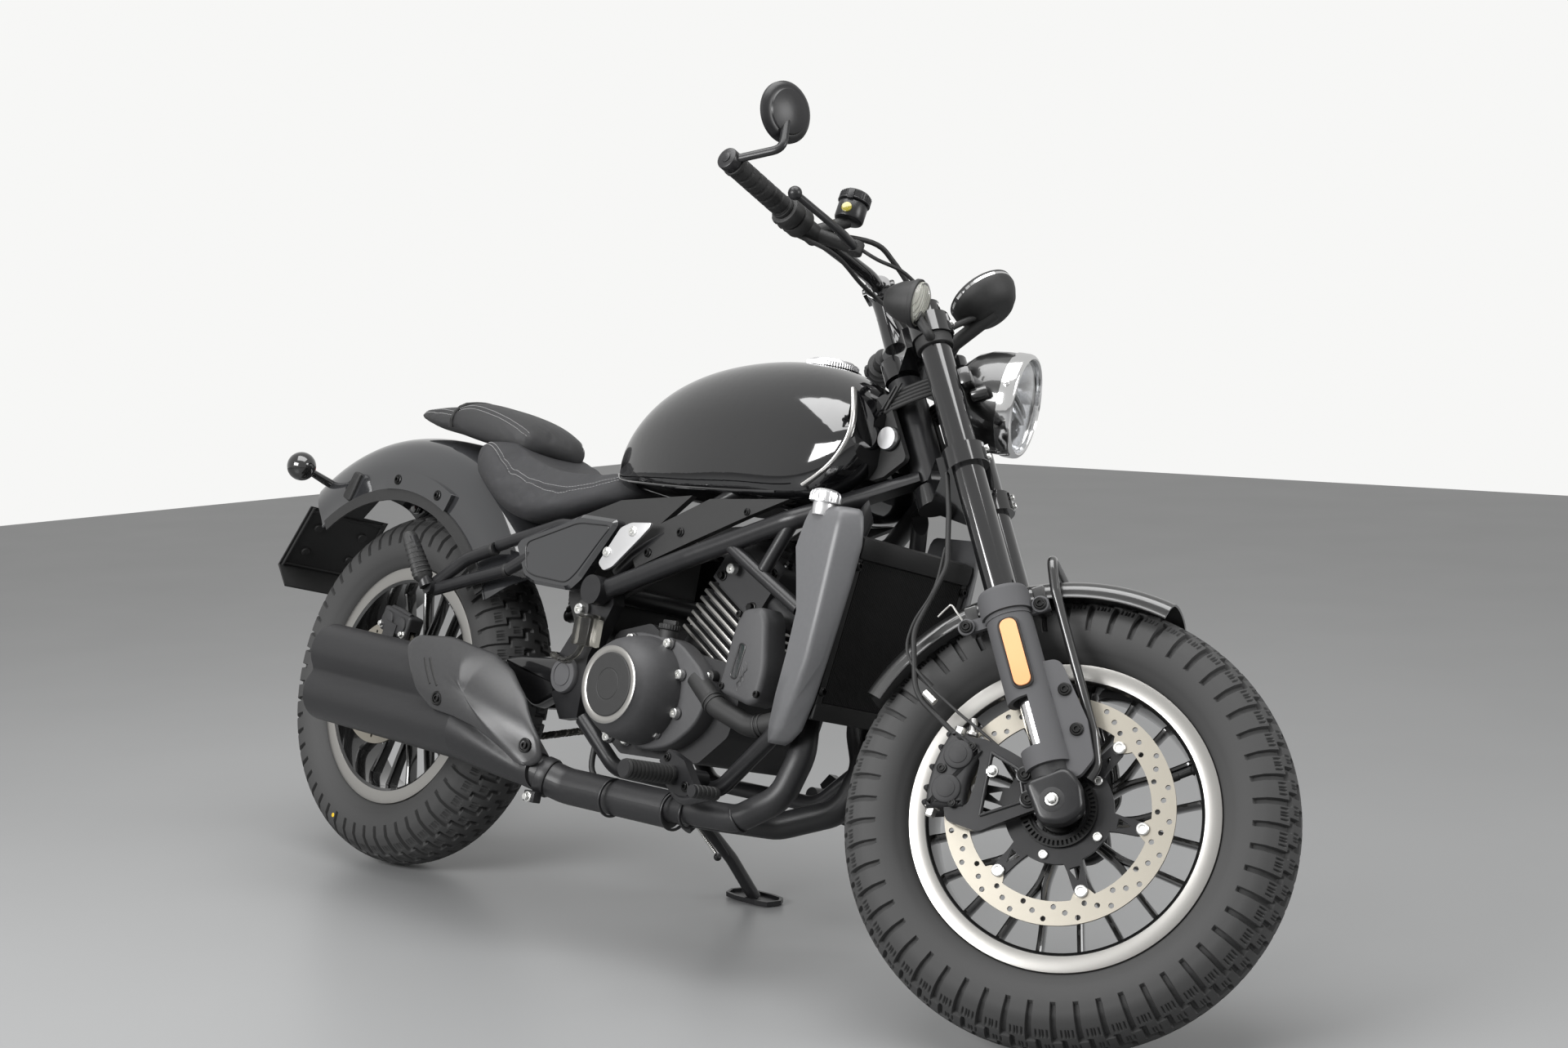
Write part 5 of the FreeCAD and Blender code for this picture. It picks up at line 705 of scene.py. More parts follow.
def button_rivet(radius=9.0, height=4.0):
    """A round rivet with a dished face."""
    sketch = bmesh.new()
    lathe(sketch, [(0, -1.5), (radius, -1.5), (radius, height * 0.6), (radius * 0.85, height),
                   (radius * 0.6, height), (radius * 0.5, height * 0.5), (0, height * 0.5)], Vector(), Z, 20)
    return sketch


def cup_screw(radius=11.0):
    """A socket screw sunk in a round cup."""
    sketch = bmesh.new()
    lathe(sketch, [(0, -2), (radius, -2), (radius, 1.5), (radius - 1.5, 2.5), (radius - 3.5, 2.4),
                   (radius - 4.2, 0.4), (0, 0.4)], Vector(), Z, 24)
    lathe(sketch, [(0, 0), (5.6, 0), (5.6, 3.6), (5.0, 4.3), (3.2, 4.3), (3.0, 1.6), (0, 1.6)], Vector(), Z, 18)
    return sketch


# Finishes

FINISHES = {
    "frame_paint": ("grain", (0.012, 0.012, 0.013), (0.018, 0.018, 0.019), 0.32, 0.12, 700, 0.06),
    "engine_casting": ("grain", (0.016, 0.016, 0.017), (0.028, 0.028, 0.029), 0.55, 0.2, 1500, 0.35),
    "cover_casting": ("grain", (0.05, 0.05, 0.052), (0.065, 0.065, 0.067), 0.5, 0.15, 1800, 0.25),
    "plain_plastic": ("grain", (0.014, 0.014, 0.014), (0.022, 0.022, 0.022), 0.5, 0.2, 2200, 0.3),
    "exhaust_paint": ("grain", (0.014, 0.014, 0.015), (0.02, 0.02, 0.021), 0.4, 0.12, 2500, 0.12),
    "shield_paint": ("grain", (0.032, 0.032, 0.033), (0.042, 0.042, 0.043), 0.3, 0.08, 2600, 0.08),
    "shroud_paint": ("grain", (0.105, 0.106, 0.11), (0.12, 0.121, 0.125), 0.32, 0.08, 2600, 0.08),
    "fork_grey": ("grain", (0.022, 0.022, 0.023), (0.03, 0.03, 0.031), 0.4, 0.1, 2400, 0.14),
    "radiator_black": ("grain", (0.008, 0.008, 0.008), (0.012, 0.012, 0.012), 0.6, 0.2, 900, 0.2),
    "hose_rubber": ("moulded", (0.012, 0.012, 0.012), (0.022, 0.022, 0.022), 0.55, 0.2, 900, 0.25),
    "grip_rubber": ("moulded", (0.012, 0.012, 0.012), (0.02, 0.02, 0.02), 0.6, 0.15, 1500, 0.3),
    "tyre_rubber": ("moulded", (0.014, 0.014, 0.0145), (0.024, 0.024, 0.025), 0.58, 0.2, 1200, 0.4),
    "seat_hide": ("hide", (0.022, 0.022, 0.024), (0.034, 0.034, 0.036), 0.52, 0.16, 900, 0.7),
    "pad_hide": ("hide", (0.02, 0.02, 0.021), (0.03, 0.03, 0.031), 0.46, 0.14, 1200, 0.5),
    "thread": ("moulded", (0.3, 0.3, 0.3), (0.38, 0.38, 0.38), 0.7, 0.1, 3000, 0.5),
}
GLOSSY = {
    "tank_paint": ((0.004, 0.004, 0.0045), 0.08),
    "guard_paint": ((0.02, 0.0205, 0.022), 0.1),
    "lamp_paint": ((0.008, 0.008, 0.008), 0.3),
    "fork_gloss": ((0.008, 0.008, 0.0085), 0.12),
    "rim_paint": ((0.008, 0.008, 0.008), 0.2),
    "ball_plastic": ((0.008, 0.008, 0.008), 0.14),
}
METALS = {
    "chrome": ("grain", (0.82, 0.82, 0.83), 0.05, 900),
    "bright_steel": ("brushed", (0.68, 0.67, 0.65), 0.28, 260),
    "disc_steel": ("brushed", (0.38, 0.355, 0.305), 0.4, 240),
    "aluminium": ("brushed", (0.3, 0.3, 0.305), 0.45, 300),
    "machined_lip": ("brushed", (0.46, 0.45, 0.43), 0.3, 200),
    "screw_zinc": ("grain", (0.85, 0.85, 0.83), 0.32, 1200),
    "black_screw": ("grain", (0.03, 0.03, 0.03), 0.35, 1200),
    "chain_steel": ("grain", (0.32, 0.31, 0.29), 0.38, 900),
}
NODE_FINISH = {
    "frame_paint": ["frame", "rear_subframe", "swingarm", "footrests", "side_stand", "rear_shock"],
    "engine_casting": ["crankcase", "cylinder_block", "clutch_cover", "left_engine_covers", "rear_caliper",
                       "front_caliper", "fork_lugs"],
    "cover_casting": ["engine_front_cover"],
    "plain_plastic": ["battery_box", "infill_panels", "plate_holder", "head_covers", "bar_controls",
                      "instrument", "front_indicators", "mirrors"],
    "exhaust_paint": ["exhaust_pipes", "muffler"],
    "shield_paint": ["heat_shield"],
    "shroud_paint": ["radiator_shrouds"],
    "radiator_black": ["radiator"],
    "hose_rubber": ["coolant_hose", "brake_hose"],
    "grip_rubber": ["grips"],
    "tyre_rubber": ["front_tyre", "rear_tyre"],
    "seat_hide": ["rider_seat"],
    "pad_hide": ["pillion_seat"],
    "tank_paint": ["fuel_tank"],
    "guard_paint": ["rear_mudguard", "side_covers"],
    "lamp_paint": ["headlamp_bowl", "front_mudguard"],
    "fork_gloss": ["fork_tubes", "yokes", "handlebar"],
    "rim_paint": ["front_rim", "rear_rim"],
    "ball_plastic": ["rear_indicators"],
    "fork_grey": ["fork_shrouds"],
    "chrome": ["fork_inner_tubes", "headlamp_lens"],
    "bright_steel": ["rear_sprocket", "front_axle"],
    "disc_steel": ["front_disc", "rear_disc"],
    "aluminium": ["metal_plates", "filler_cap", "radiator_cap", "ignition_lock"],
    "chain_steel": ["drive_chain"],
    "amber_lens": ["fork_reflectors"],
    "red_lens": ["tail_lamp"],
}


class PaintSettings(bpy.types.PropertyGroup):
    tank_colour: FloatVectorProperty(
        name="Tank Colour", description="Gloss paint of the tank",
        default=GLOSSY["tank_paint"][0], subtype="COLOR", min=0.0, max=1.0)
    seat_colour: FloatVectorProperty(
        name="Seat Colour", description="Cover of the saddle",
        default=FINISHES["seat_hide"][1], subtype="COLOR", min=0.0, max=1.0)
    stitch_spacing: FloatProperty(
        name="Stitch Spacing", description="Distance from one stitch to the next",
        default=0.0055, min=0.002, max=0.02, unit="LENGTH")


class WheelSettings(bpy.types.PropertyGroup):
    tread_pitches: IntProperty(
        name="Tread Pitches", description="Repeats of the tread pattern round a tyre", default=54, min=20, max=90)
    tread_depth: FloatProperty(
        name="Tread Depth", description="Depth of the tread's grooves", default=0.0065, min=0.001, max=0.01,
        unit="LENGTH")
    disc_holes: IntProperty(
        name="Disc Holes", description="Drilled holes in each row of the front disc", default=20, min=8, max=48)


class MOTORCYCLE_OT_materials(bpy.types.Operator):
    """Makes every finish and gives each solid of the frame its own"""
    bl_idname = "motorcycle.materials"
    bl_label = "Finishes"

    def execute(self, context):
        for name, texture in SURFACES.items():
            surface_group(name, texture)
        for name, (surface, colour, second, roughness, change, scale, bump) in FINISHES.items():
            finish(name, surface, colour, second, roughness, change, float(scale), bump, specular=0.38)
        for name, (colour, roughness) in GLOSSY.items():
            finish(name, "grain", colour, tuple(c * 1.25 for c in colour), roughness, 0.03, 60.0, 0.004,
                   coat=1.0)
        for name, (surface, colour, roughness, scale) in METALS.items():
            finish(name, surface, colour, tuple(c * 0.88 for c in colour), roughness, 0.12, float(scale), 0.03,
                   metallic=1.0)
        finish("amber_lens", "grain", (0.95, 0.55, 0.3), (0.85, 0.2, 0.03), 0.15, 0.1, 70.0, 0.3, coat=1.0)
        # Painted glow: the fork reflectors are no lamps, and their faint emission stands for the light they reflect.
        painted_glow("amber_lens", (1.0, 0.5, 0.2), 0.1)
        finish("red_lens", "grain", (0.3, 0.01, 0.01), (0.18, 0.004, 0.004), 0.15, 0.1, 90.0, 0.3, coat=1.0)
        finish("yellow_mark", "grain", (0.75, 0.5, 0.02), (0.6, 0.4, 0.02), 0.5, 0.1, 900.0, 0.1)
        finish("lamp_reflector", "grain", (0.85, 0.86, 0.88), (0.7, 0.7, 0.72), 0.12, 0.05, 80.0, 0.02,
               metallic=1.0)
        finish("mirror_silver", "grain", (0.85, 0.86, 0.87), (0.84, 0.85, 0.86), 0.02, 0.01, 60.0, 0.0, metallic=1.0)
        finish("dark_glass", "grain", (0.006, 0.006, 0.007), (0.01, 0.01, 0.011), 0.05, 0.02, 60.0, 0.0, coat=1.0)
        finish("sight_glass", "grain", (0.35, 0.3, 0.03), (0.28, 0.24, 0.02), 0.12, 0.05, 90.0, 0.05, coat=1.0)
        finish("sea_glass", "grain", (0.02, 0.06, 0.05), (0.03, 0.09, 0.07), 0.08, 0.05, 90.0, 0.05, coat=1.0)
        clear("smoked_plastic", (0.3, 0.29, 0.26), 0.2)
        clear("lamp_glass", (0.97, 0.98, 0.99), 0.02)
        clear("indicator_lens", (0.9, 0.9, 0.87), 0.12)
        finish("lens_core", "grain", (0.8, 0.8, 0.74), (0.62, 0.62, 0.58), 0.25, 0.1, 200.0, 0.3)
        for material, nodes in NODE_FINISH.items():
            for name in nodes:
                mesh = frame["nodes"][name].data
                mesh.materials.clear()
                mesh.materials.append(bpy.data.materials[material])
        settings = context.scene.motorcycle_paint
        for material, colour in (("tank_paint", settings.tank_colour), ("seat_hide", settings.seat_colour)):
            for node in bpy.data.materials[material].node_tree.nodes:
                if node.type == "GROUP":
                    node.inputs["Colour"].default_value = (*colour, 1)
        return {"FINISHED"}


# Stage

FLOOR_SIZE = 14.0
FLOOR_COLOUR = (0.265, 0.268, 0.27)
SURROUND_COLOUR = (0.93, 0.93, 0.92, 1)
SKY_STRENGTH = 0.26
GLOSS_SHARE = 0.55
LIGHTS = (
    ("overhead", (0.3, -0.4, 3.4), (0, 0, 0.5), (3.4, 2.2), 125),
    ("right_bank", (-0.2, -3.7, 2.1), (-0.2, 0, 0.5), (2.4, 1.3), 165),
    ("front_bank", (3.8, 1.2, 2.0), (0.4, 0, 0.6), (1.5, 1.6), 62),
)


def area_light(name, place, target, size, power):
    data = bpy.data.lights.new(name, "AREA")
    data.shape = "RECTANGLE"
    data.size, data.size_y = size
    data.energy = power
    lamp = bpy.data.objects.new(name, data)
    lamp.location = place
    lamp.rotation_euler = (Vector(target) - Vector(place)).to_track_quat("-Z", "Y").to_euler()
    bpy.context.scene.collection.objects.link(lamp)


def studio_world():
    """Even soft light on the object, and a white surround for the camera, gloss and glass."""
    world = bpy.data.worlds.new("studio")
    bpy.context.scene.world = world
    world.use_nodes = True
    tree = world.node_tree
    tree.nodes.clear()
    out = tree.nodes.new("ShaderNodeOutputWorld")
    soft, white = tree.nodes.new("ShaderNodeBackground"), tree.nodes.new("ShaderNodeBackground")
    soft.inputs["Color"].default_value = (1, 1, 1, 1)
    soft.inputs["Strength"].default_value = SKY_STRENGTH
    white.inputs["Color"].default_value = SURROUND_COLOUR
    white.inputs["Strength"].default_value = 1.0
    rays = tree.nodes.new("ShaderNodeLightPath")
    seen = maths(tree, "MAXIMUM", rays.outputs["Is Camera Ray"], rays.outputs["Is Transmission Ray"])
    gloss = maths(tree, "MULTIPLY", rays.outputs["Is Glossy Ray"], GLOSS_SHARE)
    mix = tree.nodes.new("ShaderNodeMixShader")
    link(tree, maths(tree, "MAXIMUM", seen, gloss), mix.inputs["Fac"])
    link(tree, soft.outputs[0], mix.inputs[1])
    link(tree, white.outputs[0], mix.inputs[2])
    link(tree, mix.outputs[0], out.inputs["Surface"])


class MOTORCYCLE_OT_stage(bpy.types.Operator):
    """Adds the floor, the lights and the camera of the photograph's view"""
    bl_idname = "motorcycle.stage"
    bl_label = "Stage"

    def execute(self, context):
        scene = context.scene
        floor = bmesh.new()
        half = FLOOR_SIZE / 2
        corners = ((-half, -half), (half, -half), (half, half), (-half, half))
        floor.faces.new([floor.verts.new((x, y, 0)) for x, y in corners])
        mesh = bpy.data.meshes.new("floor")
        floor.to_mesh(mesh)
        floor.free()
        ground = bpy.data.objects.new("floor", mesh)
        scene.collection.objects.link(ground)
        material = finish("floor_finish", "grain", FLOOR_COLOUR, tuple(c * 0.97 for c in FLOOR_COLOUR), 0.35, 0.05,
                          40.0, 0.01)
        mesh.materials.append(material)
        studio_world()
        for light in LIGHTS:
            area_light(*light)
        scene.view_settings.view_transform = "Standard"
        camera = bpy.data.cameras.new("photograph")
        camera.sensor_width = SENSOR_WIDTH
        camera.lens = SENSOR_WIDTH * FOCAL_PIXELS / IMAGE_WIDTH
        camera.clip_start = CLIP_START
        viewer = bpy.data.objects.new("photograph", camera)
        view = Vector((cos(CAMERA_HEADING) * cos(CAMERA_PITCH),
                       sin(CAMERA_HEADING) * cos(CAMERA_PITCH), sin(CAMERA_PITCH)))
        right = view.cross(Z).normalized()
        up = right.cross(view)
        level = (right * cos(CAMERA_ROLL) + up * sin(CAMERA_ROLL),
                 up * cos(CAMERA_ROLL) - right * sin(CAMERA_ROLL), -view)
        below_axle = BIKE.translation
        place = Matrix(level).transposed().to_4x4()
        place.translation = Vector((below_axle.x, below_axle.y, 0)) + Vector(CAMERA_FROM_REAR)
        viewer.matrix_world = place
        scene.collection.objects.link(viewer)
        scene.camera = viewer
        return {"FINISHED"}


# Tyres: the tread's grooves are cut into the crown of the tyre's own section

RIM_LIP_RADIUS = 217.0
BEAD_RADIUS = 203.0
TYRES = {
    "front": {"radius": FRONT_TYRE_RADIUS, "width": 130.0, "crown": 75.0, "rim": 81.0},
    "rear": {"radius": REAR_TYRE_RADIUS, "width": 150.0, "crown": 85.0, "rim": 104.0},
}
SHOULDER = radians(50.0)
CELLS_PER_PITCH = 18
CROWN_CELLS = 44
WALL_CELLS = 13
GROOVE = 0.2
SIPE = 0.05


def arc_through(start, middle, end, count):
    """Points on the circle through three 2D points."""
    (ax, ay), (bx, by), (cx, cy) = start, middle, end
    d = 2 * (ax * (by - cy) + bx * (cy - ay) + cx * (ay - by))
    ux = ((ax * ax + ay * ay) * (by - cy) + (bx * bx + by * by) * (cy - ay) + (cx * cx + cy * cy) * (ay - by)) / d
    uy = ((ax * ax + ay * ay) * (cx - bx) + (bx * bx + by * by) * (ax - cx) + (cx * cx + cy * cy) * (bx - ax)) / d
    radius = hypot(ax - ux, ay - uy)
    first = atan2(ay - uy, ax - ux)
    last = atan2(cy - uy, cx - ux)
    half = atan2(by - uy, bx - ux)
    turn = (last - first + pi) % tau - pi
    to_middle = (half - first + pi) % tau - pi
    if turn * to_middle < 0:
        turn -= copysign(tau, turn)
    return [(ux + radius * cos(first + turn * i / count), uy + radius * sin(first + turn * i / count))
            for i in range(count + 1)]


def groove_depth(phase, side):
    """Depth share of the tread at a place: phase along one pitch, side from -1 to 1 across."""
    reach = abs(side)
    phase = (phase + (0.5 if side > 0 else 0.0)) % 1.0

    def near(centre, width):
        return abs((phase - centre + 0.5) % 1.0 - 0.5) < width / 2

    if reach > 0.66 and near(0.0, GROOVE):
        return 1.0
    if 0.6 < reach <= 0.68 and (phase < 0.42 or near(0.0, GROOVE)):
        return 1.0
    if 0.26 < reach <= 0.64 and near(0.36, GROOVE):
        return 1.0
    if 0.2 < reach <= 0.28 and 0.3 < phase < 0.86:
        return 0.9
    if reach <= 0.24 and near(0.8, GROOVE * 0.8):
        return 0.9
    if 0.74 < reach < 0.94 and any(near(centre, SIPE) for centre in (0.3, 0.45, 0.6, 0.75)):
        return 0.4
    if 0.36 < reach < 0.54 and any(near(centre, SIPE) for centre in (0.62, 0.77, 0.92)):
        return 0.35
    return 0.0


def tyre_profile(size):
    """Rows of (radius, y, side) from bead to bead of one tyre.

    side goes from -1 to 1 over the crown, a little past that on the shoulders, and is 0 below them.
    """
    half = size["width"] / 2
    lip = size["rim"] / 2 - 6.0
    shoulder_y = size["crown"] * sin(SHOULDER)
    shoulder_r = size["radius"] - size["crown"] * (1 - cos(SHOULDER))
    bulge = RIM_LIP_RADIUS + (shoulder_r - RIM_LIP_RADIUS) * 0.52
    wall = arc_through((RIM_LIP_RADIUS, lip), (bulge, half), (shoulder_r, shoulder_y), WALL_CELLS)
    rows = [(BEAD_RADIUS, -lip, 0.0)]
    for i, (radius, y) in enumerate(wall[:-1]):
        rib = 1.2 * (i in (2, 11)) - 0.8 * (i == 3)
        rows.append((radius, -(y + rib), -(1.0 + 0.02 * (WALL_CELLS - i)) if i >= WALL_CELLS - 4 else 0.0))
    for i in range(CROWN_CELLS + 1):
        side = -1 + 2 * i / CROWN_CELLS
        angle = side * SHOULDER
        rows.append((size["radius"] - size["crown"] * (1 - cos(angle)), size["crown"] * sin(angle), side))
    for radius, y, side in reversed(rows[:WALL_CELLS + 1]):
        rows.append((radius, -y, -side))
    return rows


def tyre_mesh(name, size, place, pitches, depth):
    rows = tyre_profile(size)
    steps = pitches * CELLS_PER_PITCH
    points = []
    faces = []
    pattern = {}
    for radius, y, side in rows:
        for i in range(steps):
            phase = (i % CELLS_PER_PITCH + 0.5) / CELLS_PER_PITCH
            key = (phase, side)
            if key not in pattern:
                pattern[key] = groove_depth(phase, side) if side else 0.0
            drop = pattern[key] * depth
            turn = tau * i / steps
            lean = asin(max(-1.0, min(1.0, y / size["crown"]))) if side else 0.0
            out = radius - drop * cos(lean)
            points.append((out * cos(turn), y - drop * sin(lean), out * sin(turn)))
    count = len(rows)
    for row in range(count):
        following = (row + 1) % count
        for i in range(steps):
            j = (i + 1) % steps
            faces.append((row * steps + i, row * steps + j, following * steps + j, following * steps + i))
    mesh = bpy.data.meshes.new(name)
    mesh.from_pydata(points, [], faces)
    mesh.transform(place)
    mesh.update()
    return mesh


def balance_marks():
    """The small round factory mark on the outer side of each tyre."""
    for end, bearing, height in (("front", -0.42, 266.0), ("rear", -1.9, 272.0)):
        size = TYRES[end]
        sketch = bmesh.new()
        at = Vector((height * cos(bearing), -size["width"] / 2 + 1.6, height * sin(bearing)))
        lathe(sketch, [(0, -1.0), (4.0, -1.0), (4.0, 1.6), (0, 1.8)], at, -Y, 20)
        piece(end + "_balance_mark", sketch, ON_WHEEL[end], "yellow_mark")


class MOTORCYCLE_OT_tyres(bpy.types.Operator):
    """Makes both tyres with their block tread, shoulder sipes and balance marks"""
    bl_idname = "motorcycle.tyres"
    bl_label = "Tyres"

    def execute(self, context):
        settings = context.scene.motorcycle_wheels
        for end, size in TYRES.items():
            place, body = ON_WHEEL[end]
            mesh = tyre_mesh(end + "_tyre_tread", size, place, settings.tread_pitches, settings.tread_depth / MM)
            tyre = mesh_piece(end + "_tyre_tread", mesh, body, "tyre_rubber", CAST_ANGLE)
            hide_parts(end + "_tyre")
        balance_marks()
        return {"FINISHED"}


# Cast wheels

SPOKES = 10
WHEEL_HUB = 40.0
HUB_HALF = 62.0
RIM_HALVES = {"front": 40.5, "rear": 52.0}
VALVE_BEARING = 0.08


def wheel_casting(sketch, half):
    """Barrel with its well, hub and forked spokes with flared feet."""
    inner = BEAD_RADIUS - 13.0
    lip = half - 6.0
    barrel = [(inner, -half + 3), (inner + 4, -half), (RIM_LIP_RADIUS - 3, -half), (RIM_LIP_RADIUS, -half + 2),
              (RIM_LIP_RADIUS, -lip), (BEAD_RADIUS, -lip), (BEAD_RADIUS, lip), (RIM_LIP_RADIUS, lip),
              (RIM_LIP_RADIUS, half - 2), (RIM_LIP_RADIUS - 3, half), (inner + 4, half), (inner, half - 3),
              (inner - 3, half * 0.4), (inner - 3, -half * 0.4)]
    lathe(sketch, barrel, Vector(), Y, 128, closed=True)
    bore = 10.3
    hub = [(bore, -HUB_HALF), (30, -HUB_HALF), (32, -HUB_HALF + 3), (WHEEL_HUB, -34), (WHEEL_HUB, 34),
           (32, HUB_HALF - 3), (30, HUB_HALF), (bore, HUB_HALF)]
    lathe(sketch, hub, Vector(), Y, 64, closed=True)
    for index in range(SPOKES):
        turn = Matrix.Rotation(tau * index / SPOKES, 4, "Y")
        made = bmesh.new()
        for sign in (1, -1):
            spread = radians(9.0) * sign
            tip = Vector((sin(spread), 0, cos(spread)))
            root = Vector((sign * 2.2, 0, WHEEL_HUB - 4))
            fork = Vector((sign * 4.0, 0, 92))
            foot = tip * (inner - 9)
            end = tip * (inner + 2)
            path = smooth_path([root, fork, (fork + foot) / 2 + Vector((sign * 1.2, 0, 0)), foot, end], 5)
            radii = [6.5 - 1.6 * min(1.0, i / 8) + (2.6 * max(0.0, (i - 16) / 4)) for i in range(len(path))]
            flat_bar(made, path, radii, 15.0)
        copy_into(sketch, made, turn)


def flat_bar(sketch, path, halves, thick):
    """A spoke of rounded oblong section, its halves given along the path, thick across the wheel."""
    rings = []
    corner = [(1.0, 0.55), (0.8, 0.85), (0.35, 1.0), (-0.35, 1.0), (-0.8, 0.85), (-1.0, 0.55),
              (-1.0, -0.55), (-0.8, -0.85), (-0.35, -1.0), (0.35, -1.0), (0.8, -0.85), (1.0, -0.55)]
    for i, point in enumerate(path):
        run = (path[min(i + 1, len(path) - 1)] - path[max(i - 1, 0)]).normalized()
        side = run.cross(Y).normalized()
        depth = thick * (1.0 - 0.25 * sin(pi * i / (len(path) - 1)))
        rings.append([sketch.verts.new(point + side * halves[i] * a + Y * depth * b) for a, b in corner])
    loft(sketch, rings)


def machined_lip(sketch, half):
    """The bright turned flange on each side of the rim."""
    for sign in (1, -1):
        face = [(194, half - 4), (195, half + 0.6), (199, half + 1.4), (213, half + 1.8), (217.5, half + 1.0),
                (218.4, half - 1.5), (217.2, half - 4)]
        lathe(sketch, face, Vector(), Y * sign, 128, closed=True)


def tyre_valve(sketch, half):
    out = Vector((cos(VALVE_BEARING), 0, sin(VALVE_BEARING)))
    base = out * 190 + Y * (-half * 0.45)
    lathe(sketch, [(0, 0), (6.5, 0), (6.5, 3), (4.2, 5), (4.2, 22), (5.2, 23), (5.2, 33), (4.0, 35), (0, 35)],
          base, -out, 16)


class MOTORCYCLE_OT_wheels(bpy.types.Operator):
    """Makes the cast wheels with forked spokes, machined lips and valves"""
    bl_idname = "motorcycle.wheels"
    bl_label = "Wheels"

    def execute(self, context):
        for end, half in RIM_HALVES.items():
            sketch = bmesh.new()
            wheel_casting(sketch, half)
            piece(end + "_wheel_casting", sketch, ON_WHEEL[end], "rim_paint", [end + "_rim"], CAST_ANGLE)
            sketch = bmesh.new()
            machined_lip(sketch, half)
            piece(end + "_wheel_lip", sketch, ON_WHEEL[end], "machined_lip", smooth=CAST_ANGLE)
            sketch = bmesh.new()
            tyre_valve(sketch, half)
            piece(end + "_tyre_valve", sketch, ON_WHEEL[end], "hose_rubber")
        return {"FINISHED"}


# Brake discs

DISC_Y = -70.5
REAR_DISC_Y = -86.0
ARMS = 6
REAR_ARMS = 5
ARM_PHASE = radians(30.0)


def disc_holes(radii, count, hole, twist):
    holes = []
    for i in range(count):
        for row, radius in enumerate(radii):
            angle = tau * (i + row * twist) / count
            holes.append(circle(hole, 12, (radius * cos(angle), radius * sin(angle))))
    return holes


def scalloped(radius, inward, tabs, width, phase=0.0, count=240):
    """Inner edge of a brake disc, with rounded tabs that reach in to the carrier's rivets."""
    outline = []
    for i in range(count):
        angle = tau * i / count
        nearest = ((angle - phase) * tabs / tau + 0.5) % 1.0 - 0.5
        share = max(0.0, 1.0 - abs(nearest) * tau / tabs * radius / width)
        reach = radius - inward * min(1.0, share * 1.6) ** 0.6 if share > 0 else radius
        outline.append((reach * cos(angle), reach * sin(angle)))
    return outline


def carrier_outline(arms, ring, reach, width, phase):
    """A spider with an arm to each rivet, its waist curved between the arms."""
    outline = []
    count = arms * 24
    for i in range(count):
        angle = tau * i / count
        nearest = abs(((angle - phase) * arms / tau + 0.5) % 1.0 - 0.5) * 2
        lift = max(0.0, 1.0 - nearest * (reach / width))
        radius = ring + (reach - ring) * min(1.0, lift * 1.9) ** 0.8
        outline.append((radius * cos(angle), radius * sin(angle)))
    return outline


def drilled_disc(end, y, radius, count, edge, holes):
    """A disc with its holes and its scalloped inner edge, in the wheel's plane at y."""
    sketch = bmesh.new()
    pierced(sketch, [circle(radius, count), edge] + holes, upright(y + 2.2), 4.5)
    piece(end + "_brake_disc", sketch, ON_WHEEL[end], "disc_steel", [end + "_disc"], CAST_ANGLE)


def disc_carrier(end, y, loops, thick, sleeve, material):
    """The spider that carries a disc, with its sleeve on the hub."""
    sketch = bmesh.new()
    pierced(sketch, loops, upright(y), thick)
    lathe(sketch, sleeve, Vector(), -Y, 60, closed=True)
    piece(end + "_disc_carrier", sketch, ON_WHEEL[end], material, smooth=CAST_ANGLE)


def ring_spots(radius, y, count, first=0.0, growth=1.0):
    """Spots evenly round the axle that face right."""
    turns = [first + tau * i / count for i in range(count)]
    return [spot((radius * cos(a), y, radius * sin(a)), -Y, growth) for a in turns]


